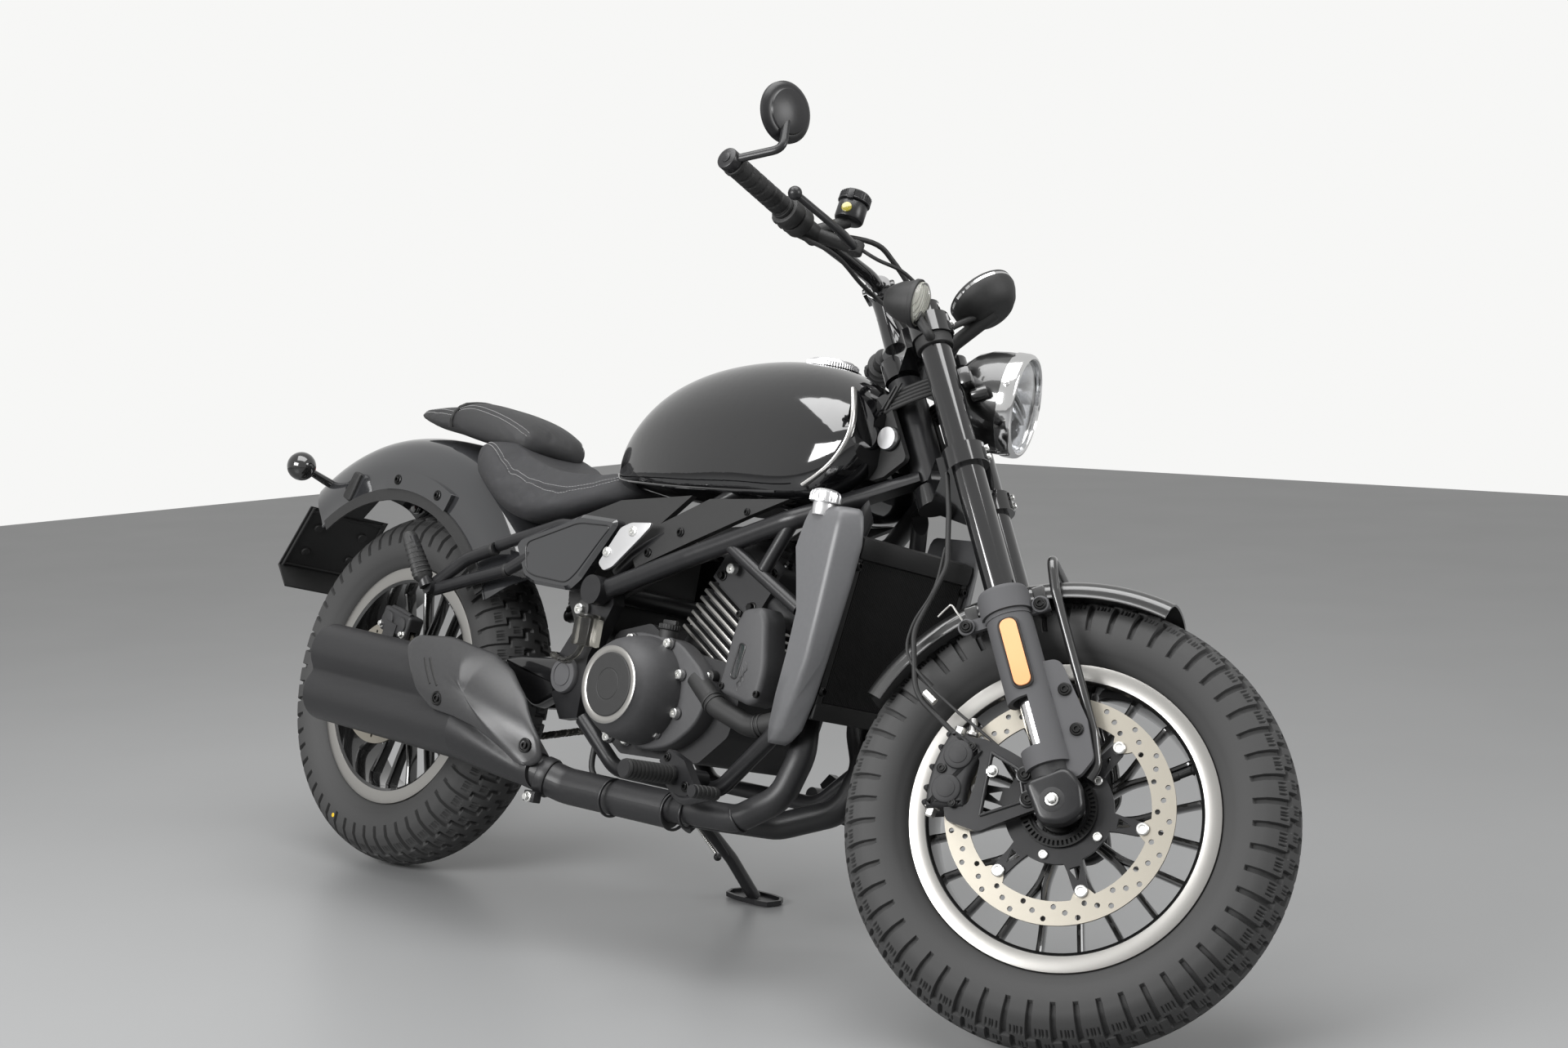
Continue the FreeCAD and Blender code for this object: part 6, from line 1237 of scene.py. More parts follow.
class MOTORCYCLE_OT_discs(bpy.types.Operator):
    """Makes the drilled front and rear brake discs, carriers, rivets and the sensor ring"""
    bl_idname = "motorcycle.discs"
    bl_label = "Brake Discs"

    def execute(self, context):
        count = context.scene.motorcycle_wheels.disc_holes
        drilled_disc("front", DISC_Y, 160.0, 180, scalloped(127.0, 14.0, ARMS, 16.0, ARM_PHASE),
                     disc_holes((134.5, 143.0, 151.5), count, 3.8, 0.36))
        arms = [ARM_PHASE + tau * i / ARMS for i in range(ARMS)]
        windows = [rounded([(r * cos(a) - s * sin(a), r * sin(a) + s * cos(a))
                            for r, s in ((83, -8.5), (83, 8.5), (103, 0))], 2.5, 3) for a in arms]
        disc_carrier("front", DISC_Y + 5.5, [carrier_outline(ARMS, 76.0, 124.0, 34.0, ARM_PHASE), circle(38.0, 60)]
                     + windows, 7.0, [(36, 60), (42, 60), (42, 68.5), (36, 68.5)], "frame_paint")
        rivets = ring_spots(118, DISC_Y - 3.5, ARMS, ARM_PHASE)
        rivets += ring_spots(66, DISC_Y - 3.0, 5, radians(20.0), 0.72)
        copies("front_disc_rivets", button_rivet(), rivets, ON_WHEEL["front"])
        slots = []
        for i in range(48):
            a = tau * i / 48
            along, side = Vector((cos(a), sin(a))), Vector((-sin(a), cos(a)))
            slots.append([along * r + side * s for r, s in ((44.5, -1.4), (51.5, -1.7), (51.5, 1.7), (44.5, 1.4))])
        sketch = bmesh.new()
        pierced(sketch, [circle(54.0, 144), circle(42.0, 72)] + slots, upright(DISC_Y - 5.0), 2.5)
        piece("front_sensor_ring", sketch, ON_WHEEL["front"], "black_screw", smooth=CAST_ANGLE)
        drilled_disc("rear", REAR_DISC_Y, 112.0, 140, scalloped(84.0, 12.0, REAR_ARMS, 14.0),
                     disc_holes((91.0, 99.0), 14, 3.0, 0.5))
        disc_carrier("rear", REAR_DISC_Y + 4.5, [carrier_outline(REAR_ARMS, 50.0, 82.0, 24.0, 0.0), circle(30.0, 48)],
                     6.0, [(28, 60), (38, 60), (38, 84.0), (28, 84.0)], "fork_grey")
        rivets = ring_spots(76, REAR_DISC_Y - 2.0, REAR_ARMS, growth=0.8)
        copies("rear_disc_rivets", button_rivet(), rivets, ON_WHEEL["rear"])
        return {"FINISHED"}


# Seats

CUSHION_PRESSURE = 4.0
CLOTH_FRAMES = 20
SWELL_CAP = 0.014
SKIN_VOXEL = 0.006
CHANNEL_WIDTH = 0.006
CHANNEL_DEPTH = 0.0025
SEAM_GAP = 4.5
SADDLE_SECTIONS = [(167, 108, 783, 722), (230, 139, 778, 691), (300, 148, 752, 652), (370, 144, 732, 640),
                   (440, 122, 728, 657), (500, 94, 738, 682), (556, 70, 750, 704)]
PAD_SECTIONS = [(-84, 60, 838, 822), (-50, 74, 842, 812), (0, 84, 845, 800), (48, 90, 845, 794),
                (66, 95, 852, 791), (110, 98, 857, 783), (160, 97, 850, 775), (205, 93, 838, 769),
                (243, 84, 822, 765), (264, 66, 806, 767)]
SADDLE_SHAPE = [(0.0, 0.9), (0.35, 0.93), (0.66, 0.98), (0.86, 0.95), (0.98, 0.76), (1.0, 0.5), (0.95, 0.2),
                (0.78, 0.03), (0.4, 0.0), (0.0, 0.0)]
PAD_SHAPE = [(0.0, 1.0), (0.35, 0.995), (0.66, 0.96), (0.88, 0.85), (0.98, 0.65), (1.0, 0.42), (0.95, 0.18),
             (0.8, 0.03), (0.4, 0.0), (0.0, 0.0)]


def cushion(sketch, sections, shape):
    """A crowned closed cushion: one section moved and scaled through the given ones."""
    spine = smooth_path([(x, half, 0) for x, half, _, _ in sections], 8)
    heights = smooth_path([(x, top, low) for x, _, top, low in sections], 8)
    half_ring = smooth_path([(wide, high, 0) for wide, high in shape], 6)
    last = len(spine) - 1
    loops = []
    for i, (place, height) in enumerate(zip(spine, heights)):
        half, top, low = place.y, height.y, height.z
        end = min(1.0, sqrt(max(0.0, 1 - (1 - min(i, last - i) / 4) ** 2)) if min(i, last - i) < 4 else 1.0)
        middle = low + (top - low) * 0.45
        loop = []
        for point in half_ring:
            z = low + (top - low) * point.y
            z = middle + (z - middle) * (0.25 + 0.75 * end)
            loop.append(Vector((place.x, -half * point.x * (0.55 + 0.45 * end), z)))
        loop += [Vector((point.x, -point.y, point.z)) for point in reversed(loop[1:-1])]
        loops.append([sketch.verts.new(point) for point in loop])
    loft(sketch, loops)


def surface_point(tree, point, direction, lift=0.0):
    """Where a ray in the drawing meets a surface, raised a little off it."""
    hit, normal, _, _ = tree.ray_cast(Vector(point), Vector(direction))
    if hit is None:
        return None
    return hit + normal * lift, normal


def stitch_drawing():
    """One lock stitch lying along x."""
    sketch = bmesh.new()
    cable(sketch, [(-1.9, 0, -0.35), (-1.3, 0, 0.35), (0, 0, 0.5), (1.3, 0, 0.35), (1.9, 0, -0.35)], 0.42, 6, 2)
    return sketch


def seam_spots(tree, path, direction, spacing):
    """Stitches along a path dropped on to a surface, each with its heading."""
    spots = []
    carried = 0.0
    for start, end in zip(path, path[1:]):
        run = Vector(end) - Vector(start)
        while carried < run.length:
            found = surface_point(tree, Vector(start) + run.normalized() * carried, direction, 0.15)
            if found:
                spots.append(spot(*found, along=run))
            carried += spacing
        carried -= run.length
    return spots


def even_skin(pad):
    """Turns a closed cushion's skin into even small faces."""
    remesh = pad.modifiers.new("even skin", "REMESH")
    remesh.mode = "VOXEL"
    remesh.voxel_size = SKIN_VOXEL
    remesh.use_smooth_shade = True
    bake(pad, remesh)


def bake(thing, modifier):
    """Gives a thing the mesh that its modifier makes, and takes the modifier off."""
    graph = bpy.context.evaluated_depsgraph_get()
    made = bpy.data.meshes.new_from_object(thing.evaluated_get(graph))
    thing.modifiers.remove(modifier)
    old = thing.data
    thing.data = made
    bpy.data.meshes.remove(old)


def swell(pad):
    """Fills a closed cushion as cloth under pressure: its base is held, and no point moves past the cap."""
    scene = bpy.context.scene
    down = BIKE.to_3x3().inverted()
    resting = [v.index for v in pad.data.vertices if (down @ v.normal).normalized().z < -0.55]
    pad.vertex_groups.new(name="pan").add(resting, 1.0, "REPLACE")
    cloth = pad.modifiers.new("filling", "CLOTH")
    cloth.settings.quality = 4
    cloth.settings.mass = 0.3
    cloth.settings.use_pressure = True
    cloth.settings.uniform_pressure_force = CUSHION_PRESSURE
    cloth.settings.vertex_group_mass = "pan"
    cloth.settings.effector_weights.gravity = 0.0
    cloth.point_cache.frame_start, cloth.point_cache.frame_end = 1, CLOTH_FRAMES
    for frame_number in range(1, CLOTH_FRAMES + 1):
        scene.frame_set(frame_number)
    graph = bpy.context.evaluated_depsgraph_get()
    swollen = pad.evaluated_get(graph).to_mesh()
    moved = [point.co.copy() for point in swollen.vertices]
    pad.evaluated_get(graph).to_mesh_clear()
    pad.modifiers.remove(cloth)
    pad.vertex_groups.clear()
    scene.frame_set(1)
    for point, new in zip(pad.data.vertices, moved):
        step = new - point.co
        if step.length > SWELL_CAP:
            step *= SWELL_CAP / step.length
        point.co += step


def press_channel(pad, path):
    """Presses a sewn channel into the skin along a path in metres."""
    tree = KDTree(len(path))
    for i, point in enumerate(path):
        tree.insert(point, i)
    tree.balance()
    for point in pad.data.vertices:
        distance = tree.find(point.co)[2]
        if distance < CHANNEL_WIDTH:
            share = 0.5 + 0.5 * cos(pi * distance / CHANNEL_WIDTH)
            point.co -= point.normal * CHANNEL_DEPTH * share


def skin_tree(pad):
    """The skin of a cushion for rays, in the drawing's millimetres."""
    back = BIKE.inverted()
    return BVHTree.FromPolygons([back @ v.co for v in pad.data.vertices],
                                [tuple(p.vertices) for p in pad.data.polygons])


def band_round(tree, centre, low_turn, lift):
    """The run of a strap over the top and sides of a cushion, as one list of points."""
    points = []
    middle = Vector(centre)
    for i in range(25):
        turn = radians(-low_turn + (180 + 2 * low_turn) * i / 24)
        out = Vector((0, cos(turn), sin(turn)))
        found = surface_point(tree, middle + out * 200, -out, lift * 0.2)
        if found:
            points.append(found[0])
    return points


class MOTORCYCLE_OT_seats(bpy.types.Operator):
    """Makes the saddle and the pillion pad, filled as cloth, with their seams, stitches and band"""
    bl_idname = "motorcycle.seats"
    bl_label = "Seats"

    def execute(self, context):
        spacing = context.scene.motorcycle_paint.stitch_spacing / MM
        straps = bmesh.new()
        for name, sections, shape, node, material, inset in (
                ("saddle", SADDLE_SECTIONS, SADDLE_SHAPE, "rider_seat", "seat_hide", 0.86),
                ("pillion_pad", PAD_SECTIONS, PAD_SHAPE, "pillion_seat", "pad_hide", 0.88)):
            sketch = bmesh.new()
            cushion(sketch, [(x, half - 3, top - 4, low + 1) for x, half, top, low in sections], shape)
            pad = finished(name, sketch, ON_CHASSIS, material, 180)
            even_skin(pad)
            swell(pad)
            fine = pad.modifiers.new("finer skin", "SUBSURF")
            fine.levels = fine.render_levels = 1
            bake(pad, fine)
            edge = smooth_path([(x, -half * inset, top + 60) for x, half, top, _ in sections], 12)[6:-6]
            path = [(point.x, point.y, point.z) for point in edge]
            sides = [path, [(x, -y, z) for x, y, z in path]]
            tree = skin_tree(pad)
            for side in sides:
                seam = [surface_point(tree, point, -Z) for point in side]
                press_channel(pad, [BIKE @ found[0] for found in seam if found])
            pad.data.update()
            tree = skin_tree(pad)
            spots = [place for side in sides for place in seam_spots(tree, side, -Z, spacing)]
            shifted = [[(x, y - copysign(SEAM_GAP, y), z) for x, y, z in side] for side in sides]
            spots += [place for side in shifted for place in seam_spots(tree, side, -Z, spacing)]
            pad.data.polygons.foreach_set("use_smooth", [True] * len(pad.data.polygons))
            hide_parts(node)
            copies(name + "_stitches", stitch_drawing(), spots, ON_CHASSIS, "thread")
            if node == "rider_seat":
                bands = [band_round(tree, (551, 0, 722), 4, 5.0)]
            else:
                bands = [band_round(tree, (x, 0, 820), 12, 5.5) for x in (54, 62)]
            for points in bands:
                tube(straps, points, 5.0, 10, squash=0.4)
        piece("saddle_band", straps, ON_CHASSIS, "hose_rubber")
        return {"FINISHED"}


# Fork, front guard and axle

BAR_RUN = [(-0.074, 0.0, 1.095), (-0.075, 0.235, 1.097), (-0.152, 0.593, 1.143), (-0.217, 1.0, 1.184)]
GUARD_SHAPE = [(1.0, 0.0), (0.985, 0.16), (0.96, 0.5), (0.8, 0.82), (0.45, 0.96), (0.0, 1.0)]
HOOP = [(0.065, -0.23, 0.028), (0.085, -0.23, 0.045), (0.095, -0.23, 0.105), (0.098, -0.23, 0.375),
        (0.107, -0.23, 0.44), (0.107, 0.23, 0.44), (0.098, 0.23, 0.375), (0.095, 0.23, 0.105),
        (0.085, 0.23, 0.045), (0.065, 0.23, 0.028)]


def guard_shell(sketch, rim, crown, half, start, end, wall, rows=40, bead=2.2):
    """A mudguard turned about its axle between two bearings, with a rolled edge all round."""
    section = smooth_path([(half * wide, rim + (crown - rim) * high, 0) for wide, high in GUARD_SHAPE], 4)
    outer = [(point.x, point.y) for point in section]
    outer += [(-y, radius) for y, radius in reversed(outer[:-1])]
    inner = []
    for i, (y, radius) in enumerate(outer):
        before, after = Vector(outer[max(i - 1, 0)]), Vector(outer[min(i + 1, len(outer) - 1)])
        along = (after - before).normalized()
        inner.append((y - along.y * wall, radius + along.x * wall))
    rings = []
    for row in range(rows + 1):
        turn = radians(start + (end - start) * row / rows)
        loop = [Vector((radius * cos(turn), y, radius * sin(turn)))
                for y, radius in outer + list(reversed(inner))]
        rings.append([sketch.verts.new(point) for point in loop])
    for lower, upper in zip(rings, rings[1:]):
        bridge(sketch, lower, upper)
    count = len(outer)
    for ring in (rings[0], rings[-1]):
        for i in range(count - 1):
            sketch.faces.new((ring[i], ring[i + 1], ring[2 * count - 2 - i], ring[2 * count - 1 - i]))
    for side in SIDES:
        edge = [Vector(((rim + 1) * cos(radians(start + (end - start) * row / rows)), side * (half - 1.2),
                        (rim + 1) * sin(radians(start + (end - start) * row / rows))))
                for row in range(rows + 1)]
        tube(sketch, edge, bead, 10)


def fork_legs():
    """Caps, collars, cup screws and axle clamps of the two fork legs."""
    sketch = bmesh.new()
    for side in SIDES:
        leg = Vector((LEG_X, side * LEG_Y, 0))
        lathe(sketch, [(0, -1), (21, -1), (21, 1.5), (18, 3.5), (13, 3.5)], leg + Z * 800, Z, 32)
        lathe(sketch, [(0, 3), (12, 3), (12, 9), (10.5, 10), (0, 10)], leg + Z * 800, Z, 6)
        for low in (520, 742):
            box(sketch, (22, side * 98 - 12, low + 3), (38, side * 98 + 12, low + 30), 2.5)
    piece("fork_caps", sketch, ON_STEERING, "fork_gloss")
    sketch = bmesh.new()
    for side in SIDES:
        leg = Vector((LEG_X, side * LEG_Y, 0))
        lathe(sketch, [(23.1, 0), (36.6, 0), (36.6, 2.5), (34.5, 6.5), (26, 8.5), (23.1, 8.5)], leg + Z * 311.8,
              Z, 48, closed=True)
        lathe(sketch, [(32.8, 0), (34.2, 0), (34.2, 5), (32.8, 5)], leg + Z * 275, Z, 48, closed=True)
        for f, u in ((54, 282), (-55, 281)):
            drum(sketch, (f, side * 103, u), Y * side, 12.5, 6, 1.5, 28)
    piece("fork_collars", sketch, ON_STEERING, "fork_grey")
    spots = [spot((LEG_X + 33, side * 98, low + rise), X) for side in SIDES for low in (520, 742)
             for rise in ((9, 24) if low == 520 else (17,))]
    copies("yoke_screws", socket_screw(5.0, 4.5), spots, ON_STEERING)
    spots = side_spots([(55, 110.5, 150, 1), (56, 110.5, 90, 1), (54, 109.5, 282, 1), (-55, 109.5, 281, 1)])
    copies("fork_cup_screws", cup_screw(9.5), spots, ON_STEERING, "black_screw")
    sketch = bmesh.new()
    for side in SIDES:
        lathe(sketch, [(10.2, 0), (26, 0), (24.5, 4), (19, 7.5), (14, 9), (10.2, 9)],
              Vector((0, side * 118, 0)), Y * side, 40, closed=True)
    piece("axle_clamp_faces", sketch, ON_STEERING, "engine_casting")


def fork_fittings():
    """The front axle's shaft, the reflectors' frames and ribs, and the clip of the brake line."""
    sketch = bmesh.new()
    lathe(sketch, [(0, -126), (6.2, -126), (8.4, -124.6), (9.9, -121), (9.9, 121), (8.4, 124.6), (6.2, 126),
                   (0, 126)], Vector(), Y, 32)
    piece("front_axle_shaft", sketch, ON_STEERING, "bright_steel", ["front_axle"])
    sketch = bmesh.new()
    for side in SIDES:
        outline = rounded([(-14, -52), (14, -52), (14, 52), (-14, 52)], 13.5, 8)
        path = [Vector((LEG_X + p.x, side * 131.6, 215 + p.y)) for p in outline]
        tube(sketch, path + [path[0]], 1.9, 8)
    piece("reflector_frames", sketch, ON_STEERING, "plain_plastic")
    sketch = bmesh.new()
    for side in SIDES:
        for i in range(9):
            u = 215 + (i - 4) * 10.5
            tube(sketch, [(LEG_X - 9.5, side * 134.2, u), (LEG_X + 9.5, side * 134.2, u)], 1.5, 8, squash=0.8)
    piece("reflector_ribs", sketch, ON_STEERING, "amber_lens")
    sketch = bmesh.new()
    cable(sketch, [(-55, -104, 284), (-62, -108, 304), (-67, -110, 318), (-74, -112, 316),
                   (-90, -112, 307)], 1.5, 8, 4)
    piece("hose_clip", sketch, ON_STEERING, "bright_steel")


def front_guard():
    """The front guard with its flanges, and its hoop."""
    sketch = bmesh.new()
    guard_shell(sketch, 306.0, 340.0, 76.0, 46.0, 132.0, 3.0, bead=1.5)
    for side in SIDES:
        for f in (-45, 55):
            box(sketch, (f - 9, side * 84 - 9.5, 273), (f + 9, side * 84 + 9.5, 315), 2)
    piece("front_guard", sketch, ON_STEERING, "lamp_paint", ["front_mudguard"], 40)
    sketch = bmesh.new()
    tube(sketch, bent([on_fork(shares) for shares in HOOP], 38), 7.0, 20)
    piece("guard_hoop", sketch, ON_STEERING, "lamp_paint")


class MOTORCYCLE_OT_fork(bpy.types.Operator):
    """Makes the caps, collars, screws, reflectors and axle of the fork, the front guard and its hoop"""
    bl_idname = "motorcycle.fork"
    bl_label = "Fork And Front Guard"

    def execute(self, context):
        fork_legs()
        fork_fittings()
        front_guard()
        return {"FINISHED"}


# Bars, controls, mirrors and instrument

def bar_frame(side):
    """End of the bar and the direction that runs out along it."""
    inner, end = (on_fork((x, side * y, z)) for x, y, z in BAR_RUN[-2:])
    return end, (end - inner).normalized()


def wrapped_grip(sketch, start, run, length, radius, turns=7, rows=90, sides=40):
    """A grip with raised bands that wind round it between two end flanges."""
    u, v = across(run)
    rings = []
    for row in range(rows + 1):
        t = row / rows
        ring = []
        for i in range(sides):
            angle = tau * i / sides
            wind = (i / sides + t * turns) % 1.0
            drop = 1.3 if wind < 0.24 and 0.07 < t < 0.93 else 0.0
            if not 0.05 < t < 0.95:
                drop = -1.2 if 0.005 < t < 0.995 else 0.6
            ring.append(sketch.verts.new(start + run * length * t + (u * cos(angle) + v * sin(angle))
                                         * (radius - drop)))
        rings.append(ring)
    loft(sketch, rings)


MIRROR_BACK = [(0, 0), (43.2, 0), (45, 1.6), (45, 6.5), (42.5, 9.5), (37, 12.0), (33.5, 12.4), (32, 15.0),
               (24, 17.2), (13, 19.0), (0, 20)]
DIAL_BACK = [(0, 0), (26, 0), (34, 2.5), (44, 12), (51, 24), (54, 32), (54, 36.8), (53, 37.2), (53, 41),
             (54, 41.4), (54, 44.8), (52.6, 46), (49.5, 46), (49, 44.2), (0, 44.2)]


def bar_and_risers():
    """The bent bar with its risers, clamps and their screws."""
    sketch = bmesh.new()
    run = [on_fork((x, -y, z)) for x, y, z in reversed(BAR_RUN[1:])] + [on_fork(shares) for shares in BAR_RUN]
    tube(sketch, bent(run, 90, 8), 11.0, 24)
    for side in SIDES:
        top = Vector((-59.2, side * 45, 876))
        tube(sketch, [(-56.8, side * 45, 776), (-58.2, side * 45, 836), top], [19, 17.5, 18.5], 32)
        drum(sketch, top - Y * 25, Y, 21, 50, 2.5, 36)
        box(sketch, top + Vector((-26, -20, -4)), top + Vector((26, 20, 4)), 2)
    piece("bar_and_risers", sketch, ON_STEERING, "fork_gloss", ["handlebar"])
    spots = [spot((-59.2 + dx, side * 45 + dy, 880), Z) for side in SIDES for dx in (-22, 22)
             for dy in (-13, 13)]
    copies("bar_clamp_screws", socket_screw(4.2, 5), spots, ON_STEERING, "black_screw")


def hand_controls():
    """Grips, switch pods, reservoirs, levers, mirrors and control lines on both sides."""
    up = UP_ON_FORK
    grips, pods, caps, levers, arms, glass, sights = (bmesh.new() for _ in range(7))
    lines = bmesh.new()
    for side in SIDES:
        end, along = bar_frame(side)
        wrapped_grip(grips, end - along * 125, along, 125, 16.6)
        pod_end = end - along * 125.3
        drum(pods, pod_end - along * 46, along, 24, 22.4, 4, 36)
        drum(pods, pod_end - along * 22.8, along, 24, 22.8, 4, 36)
        rear = (-X - along * -X.dot(along)).normalized()
        for shift, size in ((12, 7), (24, 8), (36, 6)):
            at = pod_end - along * shift + rear * 22 + up * 3
            drum(pods, at, rear, size, 6, 1.5, 16)
        perch = pod_end - along * 46
        drum(pods, perch - along * 36.8, along, 16, 36.8, 2, 32)
        root = Vector((-61.6, side * 190, 880))
        tube(pods, [perch - along * 23, root], [11.2, 10.0], 20)
        drum(pods, root - up * 10, up, 12, 20, 2, 24)
        foot = Vector((-61.6, side * 196, 924.8))
        tube(pods, [perch - along * 23, foot], 9.6, 16)
        drum(caps, foot, up, 22.5, 30, 4, 36)
        drum(caps, foot + up * 30, up, 25, 3, 1, 40)
        lathe(caps, [(0, 32.5), (23.6, 32.5), (23.6, 43), (21, 46), (0, 46)], foot, up, 36)
        p, q = across(up)
        for i in range(30):
            angle = tau * i / 30
            out = p * cos(angle) + q * sin(angle)
            tube(caps, [foot + up * 33.5 + out * 23.6, foot + up * 43 + out * 23.4], 1.2, 6)
        box(caps, (-4, -26, 28), (6, -22, 44), 1, turn=Matrix.Translation(foot) @ Matrix.Rotation(RAKE, 4, "Y"))
        drum(sights, foot + up * 13 + Y * side * 20, Y * side, 8, 4.2, 1, 20)
        path = bent([on_fork((-0.077, side * 0.469, 1.1)), on_fork((-0.09, side * 0.617, 1.105)),
                     on_fork((-0.135, side * 0.827, 1.14))], 120)
        tube(levers, path, [9.5 - 2.6 * i / (len(path) - 1) for i in range(len(path))], 16, squash=0.75)
        bmesh.ops.create_uvsphere(levers, u_segments=20, v_segments=12, radius=10.5,
                                  matrix=Matrix.Translation(path[-1]))
        drum(arms, end, along, 16.8, 17, 2.5, 32)
        drum(arms, end + along * 16.8, along, 7.5, 1.6, 0.6, 20)
        head = on_fork((-0.087, side * 1.042, 1.234))
        turn = Matrix.Rotation(radians(side * 30.0), 4, up)
        outward = turn @ FORWARD_ON_FORK
        back = head - outward * 20
        elbow = on_fork((-0.12, side * 1.047, 1.163))
        tube(arms, bent([end + along * 8.5, elbow, head - outward * 12], 16), 6.6, 16, squash=0.8)
        lathe(arms, MIRROR_BACK, back, outward, 56)
        drum(glass, back - outward * 0.4, outward, 41.8, 1.2, 0.3, 56)
        cable(lines, [perch - along * 34 + up * 6, (-40, side * 150, 905), (-20, side * 118, 880),
                      (-8, side * 84, 838), (-12, side * 54, 800), (-16, side * 30, 772)], 4.2, 12)
        cable(lines, [pod_end - along * 40 - up * 20, (-92, side * 205, 872), (-74, side * 140, 850),
                      (-62, side * 96, 842), (-40, side * 74, 812), (-30, side * 48, 778)], 3.4)
        cable(lines, [root + X * 4, (-36, side * 176, 858), (-6, side * 132, 846), (14, side * 88, 812),
                      (14, side * 52, 780)], 3.0)
    piece("grip_sleeves", grips, ON_STEERING, "grip_rubber", ["grips"])
    piece("switch_pods", pods, ON_STEERING, "plain_plastic", ["bar_controls"])
    piece("reservoirs", caps, ON_STEERING, "frame_paint")
    piece("fluid_sights", sights, ON_STEERING, "sight_glass")
    piece("hand_levers", levers, ON_STEERING, "frame_paint")
    piece("mirror_backs", arms, ON_STEERING, "frame_paint", ["mirrors"])
    piece("mirror_glasses", glass, ON_STEERING, "mirror_silver")
    piece("control_lines", lines, ON_STEERING, "hose_rubber")


def instrument():
    """The round instrument with its band, glass and vents."""
    axis = Vector((-sin(radians(18)), 0, cos(radians(18))))
    centre = Vector((84, 0, 846))
    back = centre - axis * 46
    sketch = bmesh.new()
    lathe(sketch, DIAL_BACK, back, axis, 64)
    tube(sketch, [centre - axis * 41.4, (-18, 0, 759)], [12, 11], 20)
    for side in SIDES:
        tube(sketch, [(2, side * 40, 770), (34, side * 26, 792), centre - axis * 40 + Y * side * 12], 5, 12)
    piece("instrument_case", sketch, ON_STEERING, "plain_plastic", ["instrument"])
    sketch = bmesh.new()
    lathe(sketch, [(52.6, 37.0), (54.0, 37.0), (54.0, 41.2), (52.6, 41.2)], back, axis, 64, closed=True)
    piece("instrument_band", sketch, ON_STEERING, "chrome")
    sketch = bmesh.new()
    drum(sketch, back + axis * 44, axis, 49, 1.6, 0.4, 56)
    piece("instrument_glass", sketch, ON_STEERING, "dark_glass")
    holes = []
    for row in range(4):
        for i in range(7):
            angle = radians(-150 + i * 8 + row * 4)
            radius, height = 49.0 - row * 2.4, 19.5 - row * 3.0
            out = -Y * cos(angle + 2.2) + axis.cross(-Y) * sin(angle + 2.2)
            holes.append(spot(back + axis * height + out * (radius - 1.2), out - axis * 0.9))
    # Each vent is a small black disc on the case: its black is painted shade in the hole.
    template = bmesh.new()
    lathe(template, [(0, -0.6), (1.1, -0.6), (1.1, 0.3), (0.8, 0.5), (0, 0.2)], Vector(), Z, 10)
    copies("instrument_vents", template, holes, ON_STEERING, "radiator_black")


class MOTORCYCLE_OT_cockpit(bpy.types.Operator):
    """Makes the bar, grips, switch pods, levers, reservoirs, mirrors, lines and the instrument"""
    bl_idname = "motorcycle.cockpit"
    bl_label = "Bars And Instrument"

    def execute(self, context):
        bar_and_risers()
        hand_controls()
        instrument()
        return {"FINISHED"}


# Headlamp and indicators

LAMP_SHELL = [(0, 0), (24, 0.5), (40, 5), (55, 14), (68, 30), (75.5, 50), (78, 72), (78.4, 90), (75, 90),
              (74, 70), (66, 36), (50, 17), (26, 5), (0, 4)]
LAMP_RIM = [(78.2, -6), (79.6, -5), (80, 0), (80, 12), (79, 16), (76.5, 19), (73.5, 20), (71, 18), (70.2, 13),
            (70.2, -4)]
LAMP_GLASS = [(0, 19.4), (24, 19.0), (46, 17.4), (62, 14.6), (70.4, 11.8), (70.4, 9.4), (60, 12.4), (44, 15.2),
              (22, 17.0), (0, 17.4)]
LAMP_BOWL = [(0, -46), (22, -45), (40, -37), (56, -20), (66, -2), (70, 8), (72, 8), (70, -6), (58, -28),
             (42, -43), (22, -49), (0, -50)]
CONE_SCALE = 1.2
CONE = [(0, 0), (12, 0), (15.5, 2), (20, 9), (24.5, 18), (28, 32), (29, 36.5), (31, 37.5), (31, 42.5),
        (29.8, 43.5), (28.5, 42), (0, 40)]
CONE_LENS = [(0, 39), (28.2, 39), (28.6, 44), (27.4, 48), (23, 50.6), (14, 51.8), (0, 52)]


def headlamp():
    """The headlamp's shell, rim, glass, reflector and bulb shield."""
    centre = Vector((88, 0, 645))
    axis = FORWARD_ON_FORK
    sketch = bmesh.new()
    lathe(sketch, LAMP_SHELL, centre - axis * 92, axis, 64)
    box(sketch, (27, -104, 653), (46, 104, 681), 5)
    for side in SIDES:
        drum(sketch, (36, side * 82, 640), X, 10, 26, 3, 24)
    piece("headlamp_shell", sketch, ON_STEERING, "lamp_paint", ["headlamp_bowl"])
    sketch = bmesh.new()
    lathe(sketch, LAMP_RIM, centre, axis, 72, closed=True)
    drum(sketch, centre - Y * 79 + axis * 4, -Y, 4.5, 4, 1, 16)
    piece("headlamp_rim", sketch, ON_STEERING, "chrome", ["headlamp_lens"])
    sketch = bmesh.new()
    lathe(sketch, LAMP_GLASS, centre, axis, 64)
    piece("headlamp_glass", sketch, ON_STEERING, "lamp_glass")
    sketch = bmesh.new()
    lathe(sketch, LAMP_BOWL, centre, axis, 64)
    piece("headlamp_reflector", sketch, ON_STEERING, "lamp_reflector")
    sketch = bmesh.new()
    drum(sketch, centre - axis * 30, axis, 30, 28, 4, 40)
    for lift in (-6, 6):
        box(sketch, (-2, -56, lift - 4), (6, 56, lift + 4), 1.5,
            turn=Matrix.Translation(centre) @ Matrix.Rotation(RAKE, 4, "Y"))
    piece("headlamp_inner", sketch, ON_STEERING, "dark_glass")


